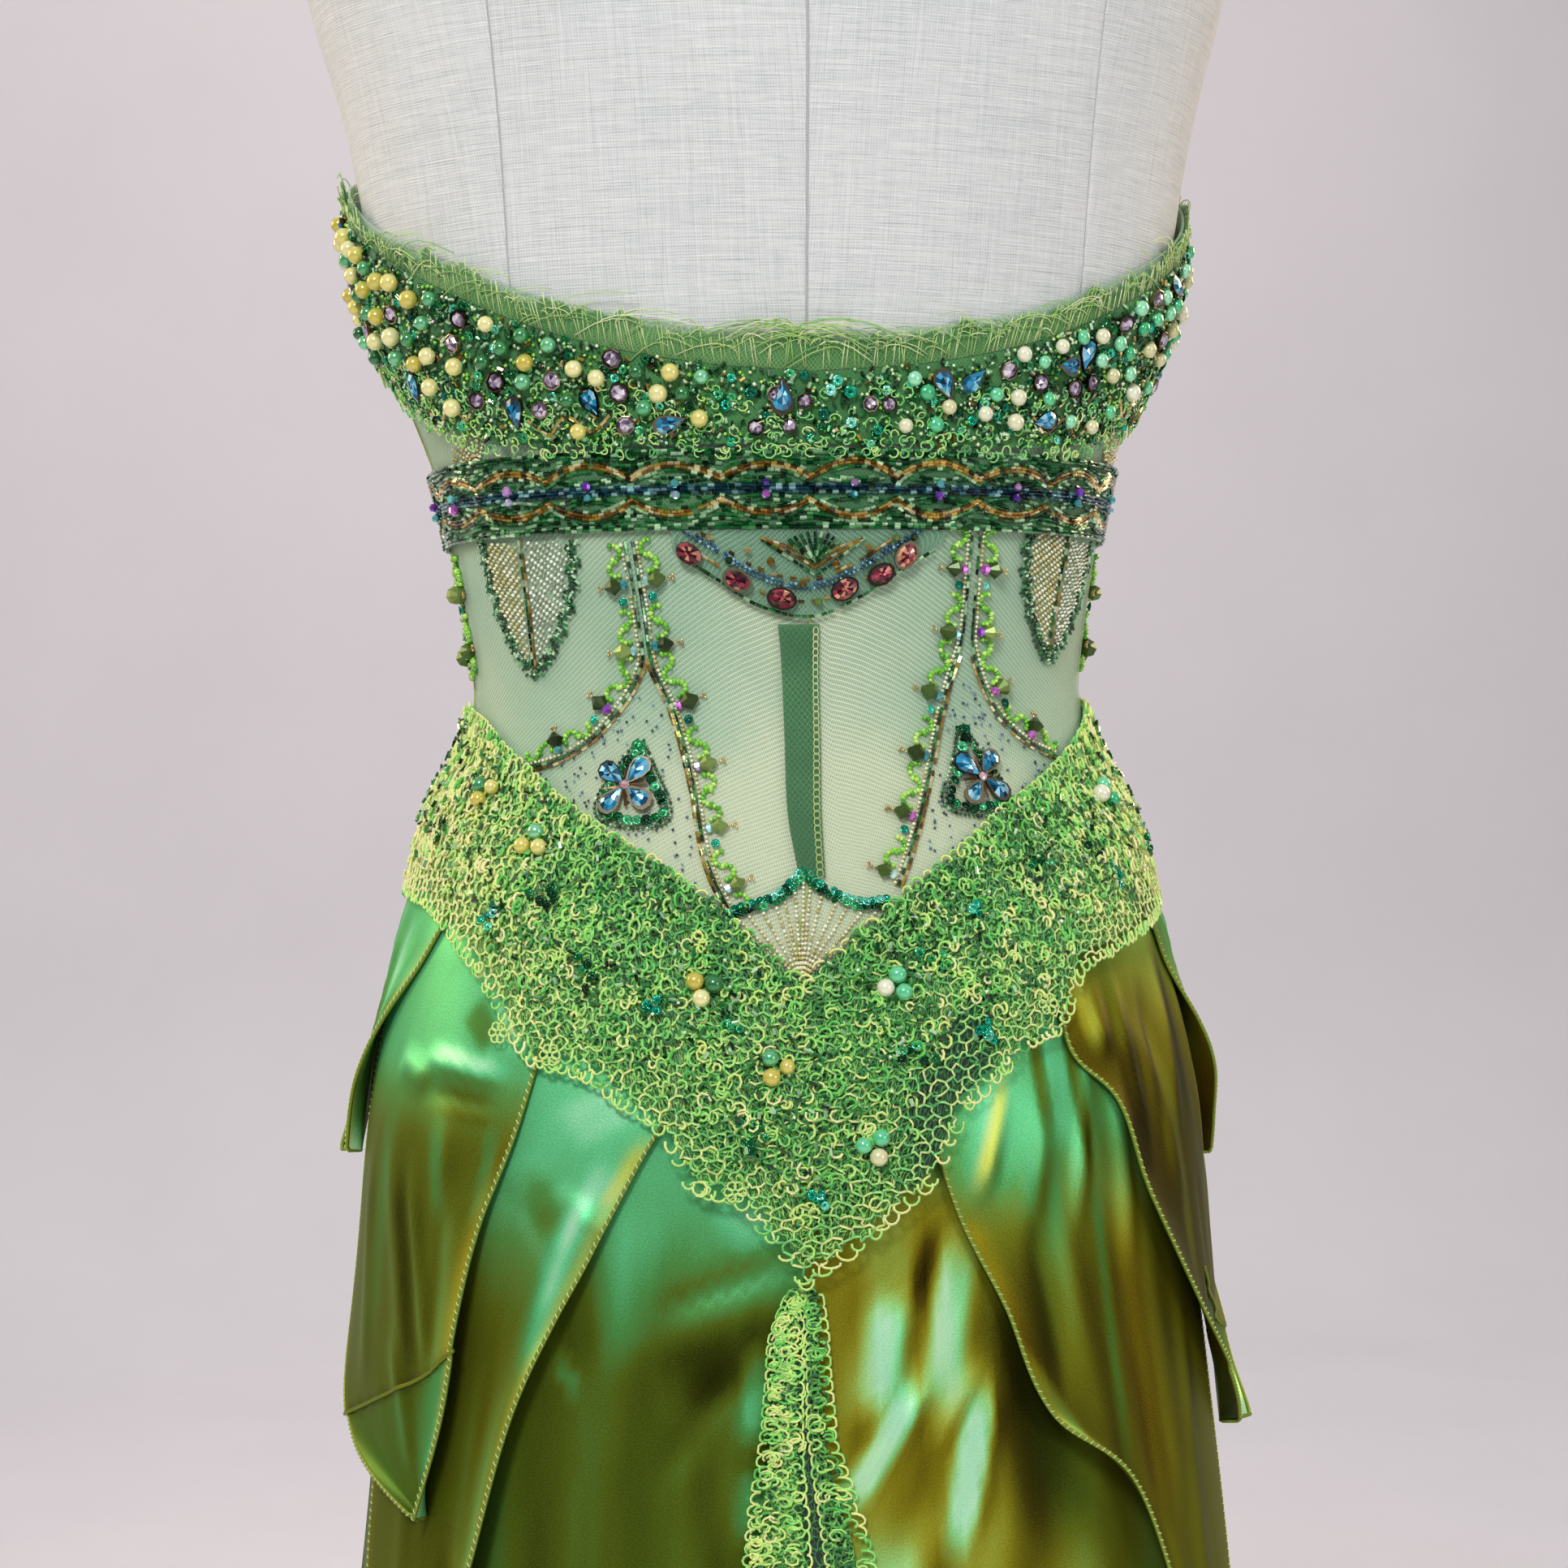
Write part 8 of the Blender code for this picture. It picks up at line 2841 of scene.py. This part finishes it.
    def eyelets(self, cords: CordSkein) -> None:
        """Works the cream eyelet rosettes near the lower edge.

        Args:
            cords: The skein to add to.
        """
        turn = np.linspace(0, 2 * np.pi, 9)
        for at, level in self.rosettes:
            for lean in 2 * np.pi * np.arange(6) / 6:
                angle, height = Patch(at, level, eased=True).places(
                    2.3 * np.cos(lean) + 1.5 * np.cos(turn), 2.3 * np.sin(lean) + 1.5 * np.sin(turn)
                )
                spots = self.spots(angle, height, 0.0013)
                cords.add(spots.points[None], spots.out[None], np.array([0.75]), 0.8)

    def beads(self) -> None:
        """Sews on the bugles, the sequin clusters and the trios of pearls."""
        box = BeadBox("lace_yoke", "lace", 42)
        rng = box.rng
        angle = rng.uniform(-180.0, 180.0, self.bugles * 4)
        height = rng.uniform(*self.bead_levels, self.bugles * 4)
        down = self.depth(angle, height)
        chosen = (down > 0.04) & (down < 0.9) & (rng.random(len(down)) > ramp(0.45, 0.95, down))
        chosen &= (np.abs(mirrored(angle)) < 90) | (rng.random(len(down)) < 0.7)
        angle, height = angle[chosen][: self.bugles], height[chosen][: self.bugles]
        spots = self.spots(angle, height, self.bead_raised)
        spots = spots.turned(rng.uniform(0, np.pi, len(angle))).tilted(0.25, rng)
        pale = np.arange(len(angle)) % 6 == 0
        box.lay(Cut.BUGLE, Glaze.GREEN, spots.kept(~pale), (0.62, 0.62, 2.5))
        box.lay(Cut.SEED, Glaze.MIST, spots.kept(pale))
        for number, (at, level) in enumerate(self.clusters):
            x, y = Patch(at, level, eased=True).places(rng.normal(0, 2.6, 6), rng.normal(0, 2.6, 6))
            spots = self.spots(x, y, 0.0020).tilted(0.3, rng)
            box.lay(Cut.CUP, Glaze.TEAL if number % 3 == 0 else Glaze.FOREST, spots, (1.8, 1.8, 1.8))
        left = (Glaze.GILT_PEARL, Glaze.GILT_PEARL, Glaze.MOSS_PEARL)
        right = (Glaze.MINT_PEARL, Glaze.CREAM_PEARL, Glaze.MINT_PEARL)
        for at, level in self.trios:
            start = rng.uniform(0, 2 * np.pi)
            for k, glaze in enumerate(left if wrapped(at) < 1.0 else right):
                lean = start + 2 * np.pi * k / 3
                x, y = Patch(at, level, eased=True).places(*outward(self.trio_mm, lean))
                box.lay(Cut.PEARL, glaze, self.spots(x, y, 0.0029), (3.3, 3.3, 3.1), 0.05)
        box.build()


@dataclass
class LaceTail:
    """The narrow lace strip below the yoke's point: two folded layers with an open slit between them."""

    columns: int = 24
    rows: int = 90
    loops: int = 1050
    slit_share: float = 0.62
    slit_half: float = 0.09
    curl_mm: tuple = (1.1, 2.1)
    edge_pitch: float = 0.0042

    def place(self, across: np.ndarray, height: np.ndarray) -> tuple[np.ndarray, np.ndarray]:
        """Places on the tail, as an angle and a distance out.

        Args:
            across: The share of the tail's width from its left edge.
            height: Heights over the floor.

        Returns:
            Angles and distances of the tail's inner face.
        """
        left, right = read_smooth(TAIL, height, 1), read_smooth(TAIL, height, 2)
        angle = left + (right - left) * across
        ridge = np.interp(
            across, np.linspace(0, 1, len(TAIL_RIDGES)), TAIL_RIDGES
        ) * ramp(0.8275, 0.78, height)
        return angle, WALL + SEAM_GAP + fold_out(angle, height) + TAIL_SLACK * fold_envelope(height) + ridge

    def build(self) -> None:
        """Builds the ground strip, its loops and its edge."""
        across, height = np.meshgrid(
            np.linspace(0, 1, self.columns), np.linspace(TAIL[0, 0], TAIL[-1, 0], self.rows), indexing="ij"
        )
        angle, out = self.place(0.08 + 0.84 * across, height)
        inner = FIGURE.spots(angle, height, out, eased=True).points
        outer = FIGURE.spots(angle, height, out + WALL, eased=True).points
        slit = np.abs(across - self.slit_share)
        # Darker right of the slit; along the slit itself near black, a painted shadow between the two layers
        marks = {
            "tone": 0.40 - 0.2 * ramp(
                self.slit_share, self.slit_share + 0.15, across
            ) - 0.9 * ramp(0.16, 0.08, slit),
            "open": 0.6 * ramp(0.6, 0.75, across),
        }
        piece = cloth_wall("lace_tail_ground", inner, outer, LACE_GROUND, measure_cloth(outer), marks)
        settle(piece, "lace", "lace_tail")
        rng = np.random.default_rng(51)
        loops = CordSkein("lace_tail_loop_cords", LACE_CORD, 0.55)
        where = rng.random(self.loops * 2) ** 1.25
        where = where[np.abs(where - self.slit_share) > 0.12][: self.loops]
        count = len(where)
        level = rng.uniform(TAIL[0, 0] + 0.004, TAIL[-1, 0] - 0.002, count)
        angle, rise = curled(np.zeros(count), level, rng, self.curl_mm)
        width = read_smooth(TAIL, level, 2) - read_smooth(TAIL, level, 1)
        share = where[:, None] + angle / width[:, None]
        angle, out = self.place(np.clip(share, -0.04, 1.04), rise)
        spots = FIGURE.spots(
            angle, rise, out + WALL + 0.0009 + 0.0006 * rng.random(count)[:, None], eased=True
        )
        tone = rng.normal(0.56, 0.22, count) - 0.2 * (where > self.slit_share)
        loops.add(spots.points, spots.out, np.clip(tone, 0, 1))
        left, right = self.slit_share - self.slit_half, self.slit_share + self.slit_half
        for edge, sign in ((0.0, -1.0), (1.0, 1.0), (left, 1.0), (right, -1.0)):
            level = np.arange(TAIL[0, 0] + 0.003, TAIL[-1, 0] - 0.004, self.edge_pitch)
            arc = np.linspace(-0.2, np.pi + 0.2, 7)[None]
            width = (read_smooth(TAIL, level, 2) - read_smooth(TAIL, level, 1))[:, None]
            deep = rng.uniform(1.2, 2.6, len(level))[:, None]
            share = edge + sign * deep * np.sin(arc) / HIP_DEGREE_MM / width * (
                1.0 if edge in (0.0, 1.0) else 0.5
            )
            rise = level[:, None] + 0.0021 * np.cos(arc)
            angle, out = self.place(np.clip(share, -0.1, 1.1), rise)
            spots = FIGURE.spots(angle, rise, out + WALL + 0.0007, eased=True)
            loops.add(spots.points, spots.out, np.clip(rng.normal(0.6, 0.15, len(level)), 0, 1))
        loops.piece("lace")


@dataclass
class Studio:
    """The plain studio: pale paper sweep, soft lights and the photo's camera."""

    distance: float = 1.2
    azimuth: float = -8.0
    height: float = 1.003
    shift_right: float = 0.0019
    roll: float = -0.7
    lens_mm: float = 70.31
    # Dim at eye level, so that gloss has contrast
    air: tuple = ("#9a9b9e", "#7c7e82", "#62656a", "#d2d5d9", "#ffffff")

    def build(self) -> None:
        """Builds the sweep, the lights, the world and the camera."""
        self.sweep()
        self.light("key", (-0.9, -2.3, 2.6), (0.0, 0.0, 1.0), 0.6, 52.0, "#fbfbfa")
        self.light("fill", (1.9, -2.2, 1.3), (0.0, 0.0, 1.0), 1.2, 12.0, "#ffffff")
        self.light("rim_left", (-1.7, 0.7, 1.7), (0.0, 0.0, 1.05), 0.9, 14.0, "#ffe2b8")
        self.light("rim_right", (1.7, 0.7, 1.7), (0.0, 0.0, 1.05), 0.9, 16.0, "#ffdcb0")
        self.light("wall", (0.3, 2.0, 3.8), (0.3, 4.7, 0.6), 2.2, 52.0, "#fff2ec")
        world = bpy.data.worlds.new("studio_air")
        world.use_nodes = True
        tree = world.node_tree
        way = add_node(tree, "SeparateXYZ", (add_node(tree, "TexCoord", output="Generated"),), 2)
        level = add_node(tree, "MapRange", {0: way, 1: -1.0, 2: 1.0})
        sky = tree.nodes["Background"]
        tree.links.new(add_node(tree, "ValToRGB", (level,), colours=self.air), sky.inputs[0])
        sky.inputs[1].default_value = 0.58
        bpy.context.scene.world = world
        bpy.context.scene.view_settings.view_transform = "Standard"
        self.camera()

    def sweep(self) -> None:
        """Builds a paper floor that curves up to a wall behind the dress form."""
        side = np.linspace(-5.0, 5.0, 5)
        run = [(-4.5, 0.0), (4.0, 0.0)]
        run += [(4.0 + 0.7 * math.sin(t), 0.7 - 0.7 * math.cos(t)) for t in np.linspace(0.2, math.pi / 2, 8)]
        run.append((4.7, 4.2))
        points = np.array([[(x, y, z) for y, z in run] for x in side]) - (0.0, 0.0, 0.0006)
        number = np.arange(len(side) * len(run)).reshape(len(side), len(run))
        quads = np.stack(
            (number[:-1, :-1], number[1:, :-1], number[1:, 1:], number[:-1, 1:]), -1
        ).reshape(-1, 4)
        sweep = mesh_piece("studio_sweep", points.reshape(-1, 3), (quads,), PAPER)

    def light(self, name: str, place: tuple, target: tuple, size: float, watts: float, colour: str) -> None:
        """Adds one soft square light.

        Args:
            name: Its name.
            place: Where it stands.
            target: What it points at.
            size: The side of its square.
            watts: Its power.
            colour: Its colour in sRGB hex.
        """
        lamp = bpy.data.lights.new(f"studio_{name}", "AREA")
        lamp.size, lamp.energy, lamp.color = size, watts, linear(colour)[:3]
        holder = bpy.data.objects.new(f"studio_{name}", lamp)
        holder.location = place
        holder.rotation_euler = (Vector(target) - Vector(place)).to_track_quat("-Z", "Y").to_euler()
        bpy.context.scene.collection.objects.link(holder)

    def camera(self) -> None:
        """Sets up the camera at the photo's angle."""
        turn = math.radians(self.azimuth)
        place = Vector((math.sin(turn), -math.cos(turn), 0.0)) * self.distance
        place += Vector((math.cos(turn), math.sin(turn), 0.0)) * self.shift_right
        place.z = self.height
        lens = bpy.data.cameras.new("photo_camera")
        lens.lens, lens.sensor_width = self.lens_mm, 36.0
        camera = bpy.data.objects.new("photo_camera", lens)
        upright = Euler((math.pi / 2, 0.0, turn)).to_matrix().to_4x4()
        camera.matrix_world = Matrix.Translation(place) @ upright @ Matrix.Rotation(
            math.radians(self.roll), 4, "Z"
        )
        bpy.context.scene.collection.objects.link(camera)
        bpy.context.scene.camera = camera


def main() -> None:
    """Builds the dress form and the dress from the inside out, then the studio."""
    logging.basicConfig(level=logging.INFO, format="%(message)s")
    parts = (
        DressForm(), NetBodice(), NetEdging(), BeadBorder(), WaveBand(), JewelSwag(), BackPlacket(),
        LeafBeadwork(), VineBeadwork(), FlowerBeadwork(), FanBeadwork(), SatinSkirt(),
        SkirtPetals(PETAL_CUTS), LaceYoke(), LaceTail(), Studio(),
    )
    for part in parts:
        LOG.info("building %s", type(part).__name__)
        part.build()


if __name__ == "__main__":
    main()
